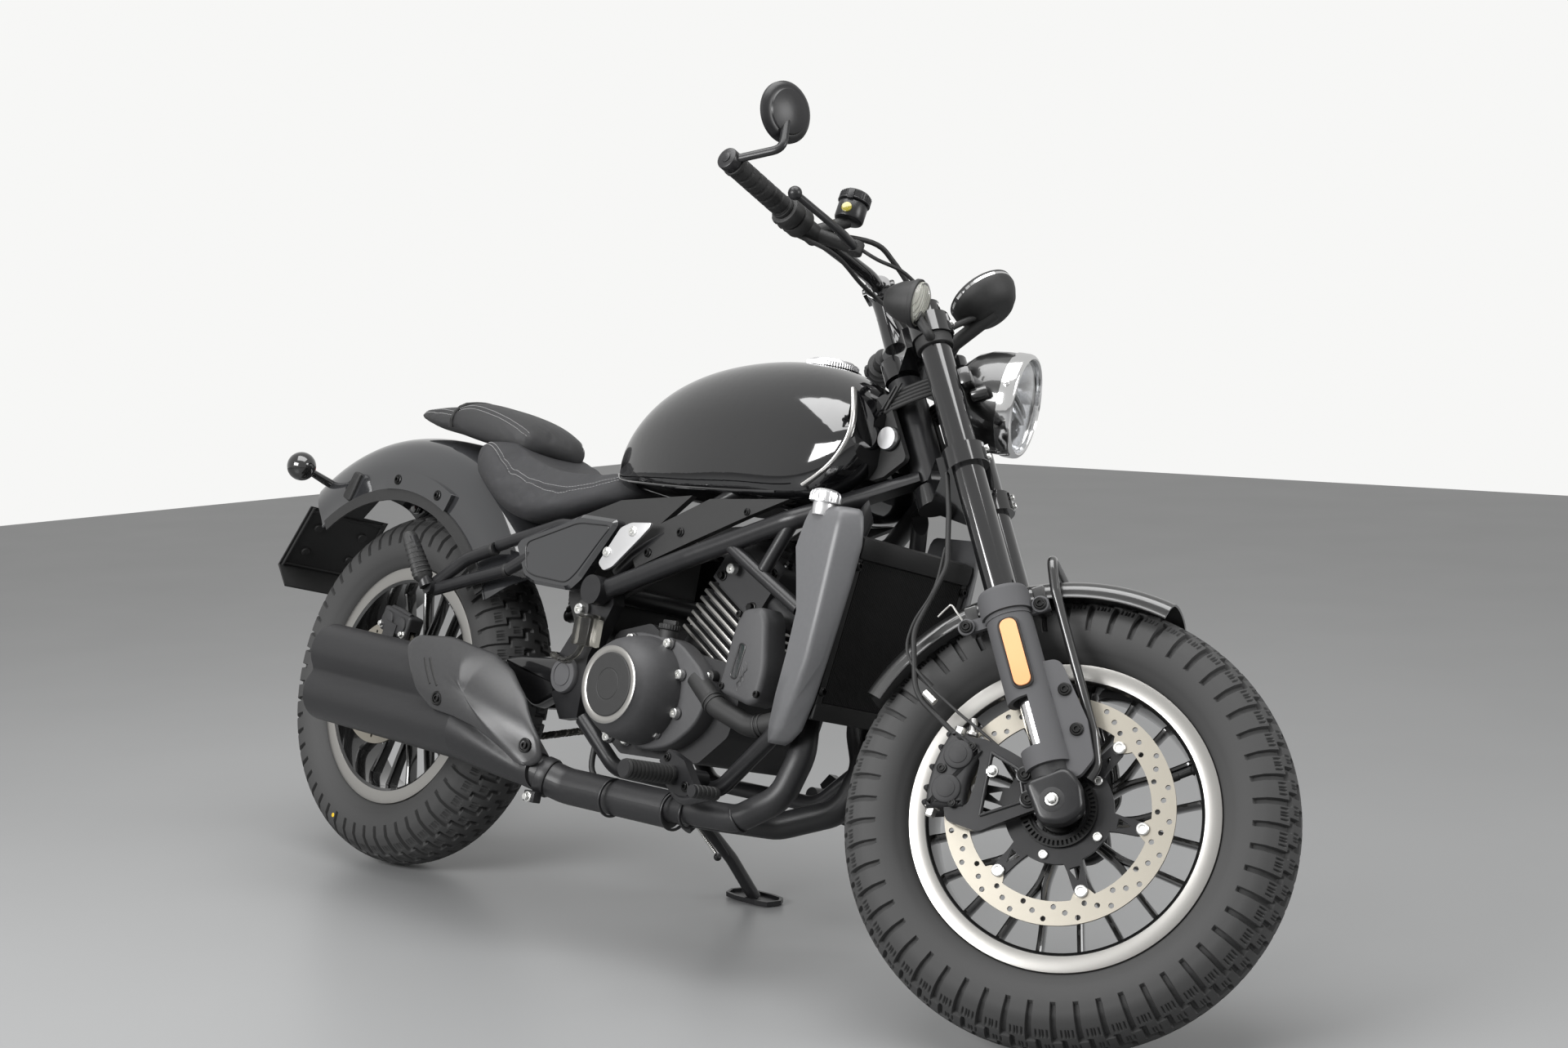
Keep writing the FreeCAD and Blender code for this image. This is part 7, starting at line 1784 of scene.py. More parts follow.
def front_indicators():
    """The two cone-shaped front indicators with ribbed lenses."""
    axis = FORWARD_ON_FORK
    rise = upward(axis)
    shells, lenses, cores, ribs = (bmesh.new() for _ in range(4))
    for side in SIDES:
        front = on_fork((0.0, side * 0.341, 0.983)) + axis * 14
        back = front - axis * 52 * CONE_SCALE
        lathe(shells, [(r * CONE_SCALE, h * CONE_SCALE) for r, h in CONE], back, axis, 48)
        leg = Vector((LEG_X, side * LEG_Y, 724))
        lathe(shells, [(23.1, 0), (27.4, 0), (28.4, 1), (28.4, 17), (27.4, 18), (23.1, 18)], leg, Z, 40,
              closed=True)
        tube(shells, bent([(LEG_X, side * (LEG_Y + 24), 733), (LEG_X, side * 134.6, 733), front - axis * 30], 14),
             [9.0] + [7.0] * 8, 16)
        lathe(lenses, [(r * CONE_SCALE, h * CONE_SCALE) for r, h in CONE_LENS], back, axis, 48)
        drum(cores, back + axis * 40.2 * CONE_SCALE, axis, 27, 5, 1.5, 32)
        for i in range(-4, 5):
            y = i * 5.6
            reach = sqrt(27.0 ** 2 - y * y) * 0.92
            line = [back + (axis * (51.4 - 4.6 * (abs(t) ** 3 + (abs(y) / 27) ** 3)) + Y * y + rise * reach * t)
                    * CONE_SCALE for t in (-1, -0.6, 0, 0.6, 1)]
            tube(ribs, line, 1.1, 6)
    piece("indicator_shells", shells, ON_STEERING, "plain_plastic", ["front_indicators"])
    piece("indicator_lenses", lenses, ON_STEERING, "indicator_lens")
    piece("indicator_ribs", ribs, ON_STEERING, "indicator_lens")
    piece("indicator_cores", cores, ON_STEERING, "lens_core")


class MOTORCYCLE_OT_lamps(bpy.types.Operator):
    """Makes the headlamp and the two front indicators with their lenses and reflectors"""
    bl_idname = "motorcycle.lamps"
    bl_label = "Lamps"

    def execute(self, context):
        headlamp()
        front_indicators()
        return {"FINISHED"}


# Engine, cooling and exhaust details

CLUTCH_FACE = Vector((742, -205, 392))
CLUTCH_OUTLINE = [(0.431, 0.251), (0.43, 0.29), (0.465, 0.326), (0.539, 0.323), (0.585, 0.294), (0.598, 0.267),
                  (0.587, 0.237), (0.554, 0.21), (0.512, 0.201), (0.465, 0.214)]
CLUTCH_BULGE = [(0.446, 0.25), (0.448, 0.29), (0.474, 0.311), (0.514, 0.309), (0.536, 0.288), (0.542, 0.261),
                (0.533, 0.237), (0.509, 0.223), (0.475, 0.225)]
SHROUD_FOLD = [(709, 1066, 1124, 1134, 146), (706, 1059, 1127, 1140, 156), (698, 1054, 1130, 1145, 162),
               (680, 1050, 1131, 1149, 165), (655, 1045, 1130, 1152, 166), (641, 1042, 1129, 1150, 166),
               (600, 1053, 1126, 1145, 166), (547, 1066, 1122, 1136, 166), (480, 1060, 1115, 1124, 165),
               (420, 1050, 1099, 1112, 162), (375, 1042, 1080, 1098, 156), (357, 1041, 1066, 1082, 152),
               (349, 1044, 1058, 1070, 146)]
FRONT_COVER_OUTLINE = [(0.623, 0.337), (0.63, 0.364), (0.659, 0.369), (0.668, 0.357), (0.679, 0.306),
                       (0.675, 0.273), (0.663, 0.267), (0.616, 0.277)]
HOSE = [(0.57, -0.908, 0.286), (0.609, -0.954, 0.261), (0.663, -0.923, 0.246), (0.716, -0.862, 0.264)]
CYLINDERS = Matrix.Translation((785, 0, 440)) @ Matrix.Rotation(radians(30.0), 4, "Y")
RADIATOR = Matrix.Translation((1112, 0, 534)) @ Matrix.Rotation(radians(8.3), 4, "Y")
BOLTS_ON_CLUTCH = [(787, 471), (825, 426), (830, 366), (794, 331), (730, 311), (686, 310), (656, 352), (652, 418),
                   (700, 470)]


def turned_along(point, ahead):
    return Vector(point), (Vector(ahead) - Vector(point)).normalized()


def clutch_side():
    """The clutch cover with its ring and medallion, the oil cap and the bosses."""
    sketch = bmesh.new()
    slab(sketch, rounded(in_mm(CLUTCH_OUTLINE), 26, 5), upright(-97.8), 33, 5)
    slab(sketch, rounded(in_mm(CLUTCH_BULGE), 40, 6), upright(-130), 44, 34)
    lathe(sketch, [(0, 0), (86, 0), (86.5, 6), (84.5, 22), (82, 36), (77, 52), (70, 64), (63.5, 72), (62.4, 75),
                   (62, 76), (0, 76)], CLUTCH_FACE + Y * 76.2, -Y, 96)
    for x, z in BOLTS_ON_CLUTCH:
        drum(sketch, (x, -127, z), -Y, 10, 8, 2, 20)
    piece("clutch_case", sketch, ON_CHASSIS, "cover_casting", ["clutch_cover"], 40)
    sketch = bmesh.new()
    lathe(sketch, [(50.5, -2), (61, -2), (61.4, -1), (61.2, 0.2), (59.5, 0.9), (52.5, 0.9), (50.5, 0)],
          CLUTCH_FACE + Y * 0.2, -Y, 96, closed=True)
    piece("clutch_ring", sketch, ON_CHASSIS, "machined_lip")
    sketch = bmesh.new()
    lathe(sketch, [(0, -1), (50, -1), (50, 0), (48.5, 0.6), (26, 0.6), (25.2, 0.1), (24, 0.1), (23.2, 0.6),
                   (0, 0.6)], CLUTCH_FACE - Y * 0.6, -Y, 72)
    piece("clutch_medallion", sketch, ON_CHASSIS, "plain_plastic", smooth=12)
    spots = right_spots([(x, -135, z, 1.25) for x, z in BOLTS_ON_CLUTCH])
    spots += right_spots([(864, -112, 431, 1), (848, -112, 372, 1), (571, -140, 504, 1.5), (855, -92, 603, 1.4)])
    copies("engine_screws", socket_screw(6.4, 5.5), spots, ON_CHASSIS)
    sketch = bmesh.new()
    drum(sketch, (760, -114, 466), Z, 15.5, 27, 2, 32)
    drum(sketch, (760, -114, 493), Z, 17, 9, 2, 32)
    box(sketch, (745, -117.5, 500), (775, -110.5, 509), 2)
    for i in range(24):
        turn = tau * i / 24
        out = Vector((cos(turn), sin(turn), 0)) * 17
        tube(sketch, [Vector((760, -114, 494)) + out, Vector((760, -114, 501)) + out], 0.9, 6)
    for x, z in ((864, 431), (848, 372)):
        drum(sketch, (x, -96, z), -Y, 11, 16, 2, 20)
    drum(sketch, (571, -120, 504), -Y, 17, 20, 3, 28)
    piece("oil_cap_and_bosses", sketch, ON_CHASSIS, "plain_plastic")


def cylinders():
    """Bright edges of the fins, the head's screws and the plug leads."""
    sketch = bmesh.new()
    for i in range(7):
        low = 38 + 14 * i
        box(sketch, (-61, -80.6, low + 0.2), (60.4, -73, low + 5.8), 1.2, turn=CYLINDERS)
        box(sketch, (54, -79, low + 0.4), (61.4, 79, low + 5.6), 1.2, turn=CYLINDERS)
        box(sketch, (-61, 73, low + 0.2), (60.4, 80.6, low + 5.8), 1.2, turn=CYLINDERS)
    piece("fin_edges", sketch, ON_CHASSIS, "machined_lip")
    spots = [spot(CYLINDERS @ Vector((x, y, 233)), CYLINDERS.to_3x3() @ Z)
             for x in (-44, 44) for y in (-58, 0, 58)]
    spots += [spot(CYLINDERS @ Vector((x, -79.5, z)), -Y) for z in (150, 214) for x in (-44, 44)]
    copies("head_screws", flange_screw(9, 8), spots, ON_CHASSIS, "black_screw")
    sketch = bmesh.new()
    for y in (-40, 40):
        at = CYLINDERS @ Vector((0, y, 228))
        aim = CYLINDERS.to_3x3() @ Z
        drum(sketch, at, aim, 16, 16, 4, 24)
        cable(sketch, [at + aim * 12, at + aim * 30 - X * 10, at + aim * 30 - X * 60 + Z * 4,
                       (760, y * 0.6, 660)], 4)
    piece("plug_leads", sketch, ON_CHASSIS, "hose_rubber")


def front_case():
    """The cover ahead of the cylinders with its trim, window and screws."""
    sketch = bmesh.new()
    slab(sketch, rounded(in_mm(FRONT_COVER_OUTLINE), 16, 5), upright(-95.8), 44.2, 9)
    piece("front_case", sketch, ON_CHASSIS, "cover_casting", ["engine_front_cover"], 40)
    sketch = bmesh.new()
    outline = rounded([(939, 436), (952, 433), (961, 486), (948, 489)], 6.2, 5)
    tube(sketch, [Vector((x, -139.6, z)) for x, z in outline + [outline[0]]], 1.7, 8)
    for i in range(3):
        x, z = 962 + 5 * i, 424 + 8 * i
        tube(sketch, [(x - 4, -139.8, z + 22), (x, -139.8, z + 10), (x - 6, -139.8, z + 4), (x - 3, -139.8, z - 8)],
             1.2, 8)
    piece("front_case_trim", sketch, ON_CHASSIS, "frame_paint")
    sketch = bmesh.new()
    slab(sketch, outline, upright(-138.6), 1.4, 0.3)
    piece("front_case_window", sketch, ON_CHASSIS, "sea_glass")
    spots = right_spots([(935, -139.5, 532, 0.9), (1000, -139.5, 416, 0.9), (925, -139.5, 420, 0.9)])
    copies("front_case_screws", socket_screw(6.0, 4.0), spots, ON_CHASSIS, "black_screw")


def hoses_and_looms():
    """The lower hose, the rear fluid box, the pivot covers and the cable looms."""
    sketch = bmesh.new()
    path = bent([(x * WHEELBASE, y * 130, z * WHEELBASE) for x, y, z in HOSE], 60, 8)
    tube(sketch, path, 16.6, 28)
    for at, ahead in ((path[2], path[3]), (path[-2], path[-1])):
        point, along = turned_along(at, ahead)
        for shift in (-8, 0):
            lathe(sketch, [(15, 0), (17.8, 0), (18.4, 1.5), (18.4, 3), (17.8, 4.5), (15, 4.5)],
                  point + along * shift, along, 32, closed=True)
    piece("lower_hose", sketch, ON_CHASSIS, "hose_rubber", ["coolant_hose"])
    sketch = bmesh.new()
    box(sketch, (588, -166, 446), (628, -136, 492), 3)
    drum(sketch, (608, -151, 492), Z, 17, 6, 2, 28)
    cable(sketch, [(600, -150, 448), (590, -150, 430), (560, -146, 418), (520, -140, 424)], 5, 12, 5)
    piece("rear_fluid_box", sketch, ON_CHASSIS, "smoked_plastic")
    sketch = bmesh.new()
    lathe(sketch, [(0, 0), (30, 0), (30.4, 6), (28, 10), (20.5, 11), (20, 9.6), (18.4, 9.6), (17.6, 11), (0, 12)],
          Vector((556, -132, 394)), -Y, 56)
    lathe(sketch, [(0, 0), (17, 0), (17, 8), (14, 12), (12, 12), (11, 9), (0, 9)], Vector((612, -139, 540)),
          Vector((-0.75, -0.2, -0.5)), 40)
    piece("pivot_covers", sketch, ON_CHASSIS, "fork_grey")
    sketch = bmesh.new()
    for side in SIDES:
        for shift in (0, 16):
            path = smooth_path([(520 + shift, side * 100, 470), (600, side * (104 + shift / 2), 520 + shift),
                                (680, side * 106, 560 + shift), (760, side * 96, 600), (800, side * 60, 640)], 6)
            tube(sketch, path, 4.2, 10)
        cable(sketch, [(640, side * 118, 300), (650, side * 122, 250), (700, side * 118, 228),
                       (790, side * 110, 226), (850, side * 100, 250)], 5.0, 12)
    piece("engine_looms", sketch, ON_CHASSIS, "hose_rubber")


class MOTORCYCLE_OT_engine(bpy.types.Operator):
    """Makes the clutch cover, front cover, fin edges, hose, fluid box, looms and screws of the engine"""
    bl_idname = "motorcycle.engine"
    bl_label = "Engine"

    def execute(self, context):
        clutch_side()
        cylinders()
        front_case()
        hoses_and_looms()
        return {"FINISHED"}


def folded_panel(sketch, rows):
    """A closed panel folded along a soft ridge: rows of height, back edge, ridge, front edge and ridge depth."""
    loops = []
    for z, back, ridge, front, depth in reversed(rows):
        section = [(back, -131), (back, 5 - depth * 0.94), (back + 5, 1 - depth * 0.97), (ridge - 9, -depth - 0.6),
                   (ridge - 3, -depth), (ridge + 3, 3.5 - depth), (front - 4, -139), (front, -135), (front, -131)]
        loops.append([sketch.verts.new((x, y, z)) for x, y in section])
    loft(sketch, loops)


def radiator():
    """The radiator's core with its tanks, frame and fins."""
    sketch = bmesh.new()
    box(sketch, (-17, -128, -140), (15, 128, 108), 2, turn=RADIATOR)
    box(sketch, (-23, -128, 106), (23, 128, 140), 9, turn=RADIATOR)
    box(sketch, (-21, -128, -140), (19, 128, -112), 6, turn=RADIATOR)
    for side in SIDES:
        box(sketch, (-18, side * 122 - 6, -116), (18, side * 122 + 6, 108), 2, turn=RADIATOR)
    piece("radiator_body", sketch, ON_CHASSIS, "radiator_black", ["radiator"])
    template = bmesh.new()
    box(template, (-0.5, -0.6, -111), (2.6, 0.6, 105), 0)
    spots = [spot(RADIATOR @ Vector((15, y * 2.9, 0)), RADIATOR.to_3x3() @ Z, along=RADIATOR.to_3x3() @ X)
             for y in range(-39, 40)]
    copies("radiator_fins", template, spots, ON_CHASSIS, "radiator_black")


def shrouds_and_cap():
    """The two folded shrouds, their screws and the pressure cap."""
    sketch = bmesh.new()
    folded_panel(sketch, SHROUD_FOLD)
    mirrored(sketch)
    piece("shroud_panels", sketch, ON_CHASSIS, "shroud_paint", ["radiator_shrouds"], 50)
    spots = [spot(RADIATOR @ Vector((18, side * 122, z)), X) for side in SIDES for z in (96, -96)]
    copies("radiator_screws", cup_screw(7.5), spots, ON_CHASSIS, "black_screw")
    foot = Vector((1080, -150, 712))
    sketch = bmesh.new()
    drum(sketch, foot - Z * 20, Z, 16.8, 21, 1, 32)
    lathe(sketch, [(0, 0), (22, 0), (22, 10), (21, 15), (17, 18.5), (11, 20), (9, 18), (0, 17.6)], foot, Z, 60)
    for i in range(14):
        turn = tau * i / 14
        out = Vector((cos(turn), sin(turn), 0))
        tube(sketch, [foot + out * 21.6 + Z * 1.5, foot + out * 21.6 + Z * 11, foot + out * 19.6 + Z * 15.5],
             [2.4, 2.4, 1.6], 10)
    piece("pressure_cap", sketch, ON_CHASSIS, "aluminium", ["radiator_cap"])


class MOTORCYCLE_OT_cooling(bpy.types.Operator):
    """Makes the radiator's core, frame and cap, and the two shrouds beside it"""
    bl_idname = "motorcycle.cooling"
    bl_label = "Radiator And Shrouds"

    def execute(self, context):
        radiator()
        shrouds_and_cap()
        return {"FINISHED"}


PIPE_SEAMS = [((748, -158, 219), (700, -160, 220), 31.4), ((872, -140, 219), (830, -140, 219), 30.5),
              ((900, -137, 220), (950, -132, 222), 23.6), ((1000, -130, 228), (1030, -122, 250), 22.8)]
SHIELD_OUTLINE = [(283, 399), (289, 417), (356, 424), (453, 408), (503, 386), (554, 349), (612, 284), (620, 256),
                  (603, 241), (582, 241), (550, 261), (491, 286), (440, 296), (378, 301), (337, 325), (310, 364)]
SHIELD_SLOTS = [[(341, 381), (377, 341)], [(353, 382), (395, 340)]]
SHIELD_BOLTS = [(592, 273), (401, 320)]
SHIELD_CROWN = 150
SHIELD_RINGS = (1.0, 0.985, 0.95, 0.88, 0.78, 0.66, 0.52, 0.36, 0.18)


def solids_tree(*nodes):
    """The faces of some of the frame's solids, for rays in the drawing's millimetres."""
    back = BIKE.inverted()
    points, faces = [], []
    for name in nodes:
        mesh = frame["nodes"][name].data
        faces += [tuple(v + len(points) for v in polygon.vertices) for polygon in mesh.polygons]
        points += [back @ vertex.co for vertex in mesh.vertices]
    return BVHTree.FromPolygons(points, faces)


def shield_depth(x, z):
    """How far out the crowned form of the shield lies at a place seen from the side."""
    ridge = 366 - 0.282 * (x - 280)
    return -(262 - 0.0009 * max(0, x - 370) ** 2) + (z - ridge) ** 2 / SHIELD_CROWN


def draped_shell(sketch, tree, outline):
    """A thin crowned shell on the right-hand side, pushed out where the solids under it stand past it."""
    outline = spaced([Vector((x, z)) for x, z in outline], 8)
    middle = sum(outline, Vector((0, 0))) / len(outline)
    count = len(outline)
    rows = []
    for scale in SHIELD_RINGS:
        row = []
        for point in outline:
            x, z = middle + (point - middle) * scale
            found = surface_point(tree, (x, -500, z), Y)
            row.append([x, max(0, shield_depth(x, z) - found[0].y) if found else 0, z])
        rows.append(row)
    least = [[item[1] for item in row] for row in rows]
    for _ in range(24):
        pushed = [[item[1] for item in row] for row in rows]
        for r in range(len(rows)):
            for i in range(count):
                near = [pushed[r][i - 1], pushed[r][(i + 1) % count], pushed[max(r - 1, 0)][i],
                        pushed[min(r + 1, len(rows) - 1)][i]]
                rows[r][i][1] = max(sum(near) / 4, least[r][i])
    rows = [[(x, shield_depth(x, z) - push, z) for x, push, z in row] for row in rows]
    front = [[sketch.verts.new((x, y - (4.5 if r > 1 else 3.6 * r), z)) for x, y, z in row]
             for r, row in enumerate(rows)]
    back = [[sketch.verts.new((x, y + 1.5, z)) for x, y, z in row] for row in rows]
    for skin in (front, back):
        for lower, upper in zip(skin, skin[1:]):
            bridge(sketch, lower, upper)
        centre = sketch.verts.new(sum((v.co for v in skin[-1]), Vector()) / count)
        for i in range(count):
            sketch.faces.new((skin[-1][i], skin[-1][(i + 1) % count], centre))
    bridge(sketch, front[0], back[0])


def pipe_seams():
    """Seams and clamp of the pipes, and the linings of the two outlets."""
    sketch = bmesh.new()
    for at, ahead, radius in PIPE_SEAMS:
        point, along = turned_along(at, ahead)
        lathe(sketch, [(radius - 4, -2), (radius - 0.6, -2), (radius, -1), (radius, 1), (radius - 0.6, 2),
                       (radius - 4, 2)], point, along, 48, closed=True)
    point, along = turned_along((606, -175, 229), (640, -160, 221))
    lathe(sketch, [(26, -9), (31.5, -9), (32.5, -7), (32.5, 7), (31.5, 9), (26, 9)], point, along, 48, closed=True)
    box(sketch, (592, -206, 186), (618, -190, 204), 2)
    for lift in (-37, 37):
        at = Vector((8, -208, 326 + lift))
        lathe(sketch, [(16.6, -1.5), (21, -1.5), (21.6, 0), (21, 3), (16.6, 3)], at, X, 40, closed=True)
        lathe(sketch, [(15.4, 0.5), (17.2, 0.5), (17.2, 26), (15.4, 26)], at, X, 40, closed=True)
    piece("exhaust_seams", sketch, ON_CHASSIS, "exhaust_paint")


def heat_shield():
    """The crowned shield over the silencer with its slots and screws."""
    sketch = bmesh.new()
    tree = solids_tree("muffler", "exhaust_pipes")
    draped_shell(sketch, tree, rounded(SHIELD_OUTLINE, 9, 4))
    tree = BVHTree.FromBMesh(sketch)
    piece("shield_cover", sketch, ON_CHASSIS, "shield_paint", ["heat_shield"], 50)
    sketch = bmesh.new()
    # Each slot is a black rod on the shield: its black is partly the silencer's paint behind the opening and partly
    # painted shade in it.
    for (x, z), (end_x, end_z) in SHIELD_SLOTS:
        tube(sketch, [surface_point(tree, (x + (end_x - x) * share, -500, z + (end_z - z) * share), Y)[0] + Y * 2.2
                      for share in (0, 0.25, 0.5, 0.75, 1)], 3.4, 12)
    piece("shield_slots", sketch, ON_CHASSIS, "radiator_black")
    copies("exhaust_screws", flange_screw(8, 7), right_spots([(604, -206.5, 194, 1.1)]), ON_CHASSIS)
    spots = [spot(surface_point(tree, (x, -500, z), Y)[0], (0.2, -1, 0)) for x, z in SHIELD_BOLTS]
    copies("shield_screws", cup_screw(12), spots, ON_CHASSIS, "black_screw")


class MOTORCYCLE_OT_exhaust(bpy.types.Operator):
    """Makes the seams, clamp, outlets, heat shield and screws of the exhaust"""
    bl_idname = "motorcycle.exhaust"
    bl_label = "Exhaust"

    def execute(self, context):
        pipe_seams()
        heat_shield()
        return {"FINISHED"}


# Tank, rear guard, chain, brakes, footrests and stand

TANK_TRIM = [(1062, 112, 893), (1074, 117, 862), (1079, 120, 838), (1076, 122, 812), (1063, 125, 784),
             (1042, 129, 760), (1012, 132, 738)]
SIDE_PLATE = [(606, 582), (645, 643), (668, 653), (715, 656), (714, 648), (696, 630), (641, 578), (622, 570)]
PIVOT_CASTING = [(384, 404), (422, 414), (557, 423), (572, 392), (556, 368), (488, 330), (456, 345)]
STAND_PIVOT = Vector((647.46, 128.05, 203.44))
STAND_FOOT = Vector((686.6, 262.5, 78.4))
STAND_AXIS = Vector((0.14462, 0.65737, 0.73956))
CHAIN_Y = 91.0
BRACKET_OUTLINE = [(-92, 128), (-70, 118), (-42, 92), (-22, 70), (-16, 30), (-22, 2), (-74, -2), (-113, -6),
                   (-152, 22), (-150, 44), (-118, 34), (-100, 60), (-84, 92), (-98, 112)]
BRACKET_WINDOW = [(-66, 96), (-36, 62), (-40, 17), (-104, 15)]
REAR_SPROCKET = (0.0, 323.0, 98.0)
DRIVE_SPROCKET = (640.0, 400.0, 36.0)
CHAIN_PITCH = 15.9


def chain_run(pitch):
    """Places, outward directions and headings along the chain's closed run."""
    ax, az, big = REAR_SPROCKET
    bx, bz, small = DRIVE_SPROCKET
    run = Vector((bx - ax, 0, bz - az))
    heading = atan2(run.z, run.x)
    opening = acos((big - small) / run.length)
    points = []
    for step in range(61):
        angle = heading + opening + (tau - 2 * opening) * step / 60
        points.append(Vector((ax + big * cos(angle), 0, az + big * sin(angle))))
    for step in range(31):
        angle = heading - opening + 2 * opening * step / 30
        points.append(Vector((bx + small * cos(angle), 0, bz + small * sin(angle))))
    points.append(points[0])
    total = sum((b - a).length for a, b in zip(points, points[1:]))
    count = 2 * round(total / pitch / 2)
    spacing = total / count
    places, carried = [], 0.0
    for a, b in zip(points, points[1:]):
        step = b - a
        while carried < step.length:
            along = step.normalized()
            places.append((a + along * carried + Y * CHAIN_Y, along.cross(Y), along))
            carried += spacing
        carried -= step.length
    return places[:count], spacing


def chain_link(pitch, half_width, thick):
    """One link lying along x: two waisted side plates with their pins and roller."""
    sketch = bmesh.new()
    outline = []
    for i in range(32):
        angle = tau * i / 32
        x = cos(angle) * (pitch / 2 + 5.4)
        z = sin(angle) * 6.6 * (1 - 0.24 * (1 - abs(cos(angle))) ** 2)
        outline.append((x, z))
    for side in SIDES:
        low = half_width if side > 0 else -half_width - thick
        slab(sketch, outline, upright(low + thick), thick, 0.4)
    for x in (-pitch / 2, pitch / 2):
        drum(sketch, (x, -half_width - thick - 0.9, 0), Y, 2.6, 2 * (half_width + thick + 0.9), 0.5, 12)
    return sketch


def tank_fittings():
    """The tank's filler cap, trim and seam."""
    foot = Vector((901, 0, 945))
    sketch = bmesh.new()
    lathe(sketch, [(0, -2), (41, -2), (42, 0), (42, 8), (40.5, 10), (36, 11), (34, 13.4), (20, 14), (0, 14)],
          foot, Z, 96)
    box(sketch, foot + Vector((-10, -30, 12.6)), foot + Vector((16, -8, 14.8)), 1)
    piece("tank_cap", sketch, ON_CHASSIS, "aluminium", ["filler_cap"])
    template = bmesh.new()
    tube(template, [(0, 0, 0), (0, 0, 7.6)], 1.3, 8)
    spots = [spot(foot + Vector((41.8 * cos(a), 41.8 * sin(a), 0.4)), Z) for a in
             (tau * i / 60 for i in range(60))]
    copies("tank_cap_ribs", template, spots, ON_CHASSIS, "aluminium")
    sketch = bmesh.new()
    for side in SIDES:
        tube(sketch, smooth_path([(x, side * y, z) for x, y, z in TANK_TRIM], 6), 6.2, 16, squash=0.6)
    piece("tank_trim", sketch, ON_CHASSIS, "bright_steel")
    sketch = bmesh.new()
    for side in SIDES:
        line = smooth_path([(x, side * y, z) for x, y, z in ((520, 70, 741), (570, 104, 727), (650, 132, 721),
                                                             (760, 146, 718), (881, 152, 719), (975, 152, 722))], 6)
        tube(sketch, line, 2.0, 8)
    piece("tank_seam", sketch, ON_CHASSIS, "tank_paint")


def rear_guard():
    """The rear guard with its brackets, screws and liner."""
    sketch = bmesh.new()
    guard_shell(sketch, 346.0, 465.0, 128.0, 30.0, 130.0, 3.0, 72, 3.0)
    outline = rounded(ring_sector(350, 385, 65, 96), 14, 5)
    slab(sketch, outline, upright(135), 24, 5)
    made = bmesh.new()
    slab(made, outline, upright(135), 24, 5)
    copy_into(sketch, made, matrix=Matrix.Scale(-1, 4, Y))
    piece("rear_guard", sketch, ON_REAR_AXLE, "guard_paint", ["rear_mudguard"], 40)
    spots = side_spots([(-4, 135, 690, 1), (122, 135, 668, 1)])
    copies("rear_guard_screws", cup_screw(9.5), spots, ON_CHASSIS, "black_screw")
    sketch = bmesh.new()
    for side in SIDES:
        pierced(sketch, [ring_sector(330, 351, 33, 128)], upright(side * 130 + 2), 4)
        slab(sketch, rounded([(-175, 650 - 323), (-150, 700 - 323), (-128, 695 - 323), (-150, 640 - 323)], 6, 3),
             upright(side * 118 + 14), 28, 4)
    piece("guard_liner", sketch, ON_REAR_AXLE, "plain_plastic")


def ball_lamps():
    """The two ball-shaped rear indicators."""
    shells, lenses = bmesh.new(), bmesh.new()
    for side in SIDES:
        centre = Vector((-0.162 * WHEELBASE, side * 188, 0.466 * WHEELBASE))
        ball = []
        for i in range(25):
            angle = radians(-90 + 150 * i / 24)
            ball.append((27 * cos(angle), 27 * sin(angle)))
        ball += [(12.5, 22.6), (11.5, 20.0), (0, 20.0)]
        lathe(shells, ball, centre, -X, 48)
        lathe(lenses, [(0, 19), (12.6, 19), (13.2, 22.2), (9, 25.0), (0, 26.6)], centre, -X, 40)
        foot = Vector((-0.167 * WHEELBASE, side * 96, 0.45 * WHEELBASE))
        tube(shells, [foot, centre], [9, 6.5], 20)
        drum(shells, foot - Y * side * 6, Y * side, 14, 14, 3, 28)
    piece("ball_lamp_shells", shells, ON_CHASSIS, "ball_plastic", ["rear_indicators"])
    piece("ball_lamp_lenses", lenses, ON_CHASSIS, "lens_core")


def plate_carrier():
    """The blank plate's ribs and bosses and the tail lamp's collar."""
    top, low = on_bike(-0.222, 0, 0.423), on_bike(-0.271, 0, 0.342)
    lean = (low - top).normalized()
    out = lean.cross(Y).normalized()
    if out.x > 0:
        out = -out
    sketch = bmesh.new()
    for y in (-84, 84):
        tube(sketch, [top + Y * y - out * 3, low + Y * y - out * 3], 3.0, 10)
    for share in (0.06, 0.94):
        tube(sketch, [top + (low - top) * share - Y * 84 - out * 3, top + (low - top) * share + Y * 84 - out * 3],
             3.0, 10)
    for share in (0.3, 0.7):
        for y in (-52, 52):
            at = top + (low - top) * share + Y * y
            drum(sketch, at, -out, 9, 7, 1.5, 20)
    drum(sketch, on_bike(-0.199, 0, 0.461) - X * 2, -X, 35, 20, 3, 40, hole=32.2)
    piece("plate_carrier_ribs", sketch, ON_CHASSIS, "plain_plastic")


def side_panels():
    """The bare metal plates, the pivot castings and the screws of the panels."""
    sketch = bmesh.new()
    for side in SIDES:
        slab(sketch, rounded(SIDE_PLATE, 6, 4), upright(side * 151.5 + 2.5), 5, 1)
    piece("side_plates", sketch, ON_CHASSIS, "aluminium", ["metal_plates"])
    spots = side_spots([(676, 154, 639, 1), (623, 154, 601, 1)])
    copies("side_plate_screws", cup_screw(8.5), spots, ON_CHASSIS)
    sketch = bmesh.new()
    for side in SIDES:
        slab(sketch, rounded(PIVOT_CASTING, 16, 5), upright(side * 122 + 12), 24, 9)
    piece("pivot_castings", sketch, ON_CHASSIS, "fork_gloss")
    spots = right_spots([(693, -128.6, 610, 1), (760, -128.6, 648, 1), (900, -128.6, 690, 0.8)])
    copies("panel_screws", cup_screw(7.5), spots, ON_CHASSIS, "black_screw")


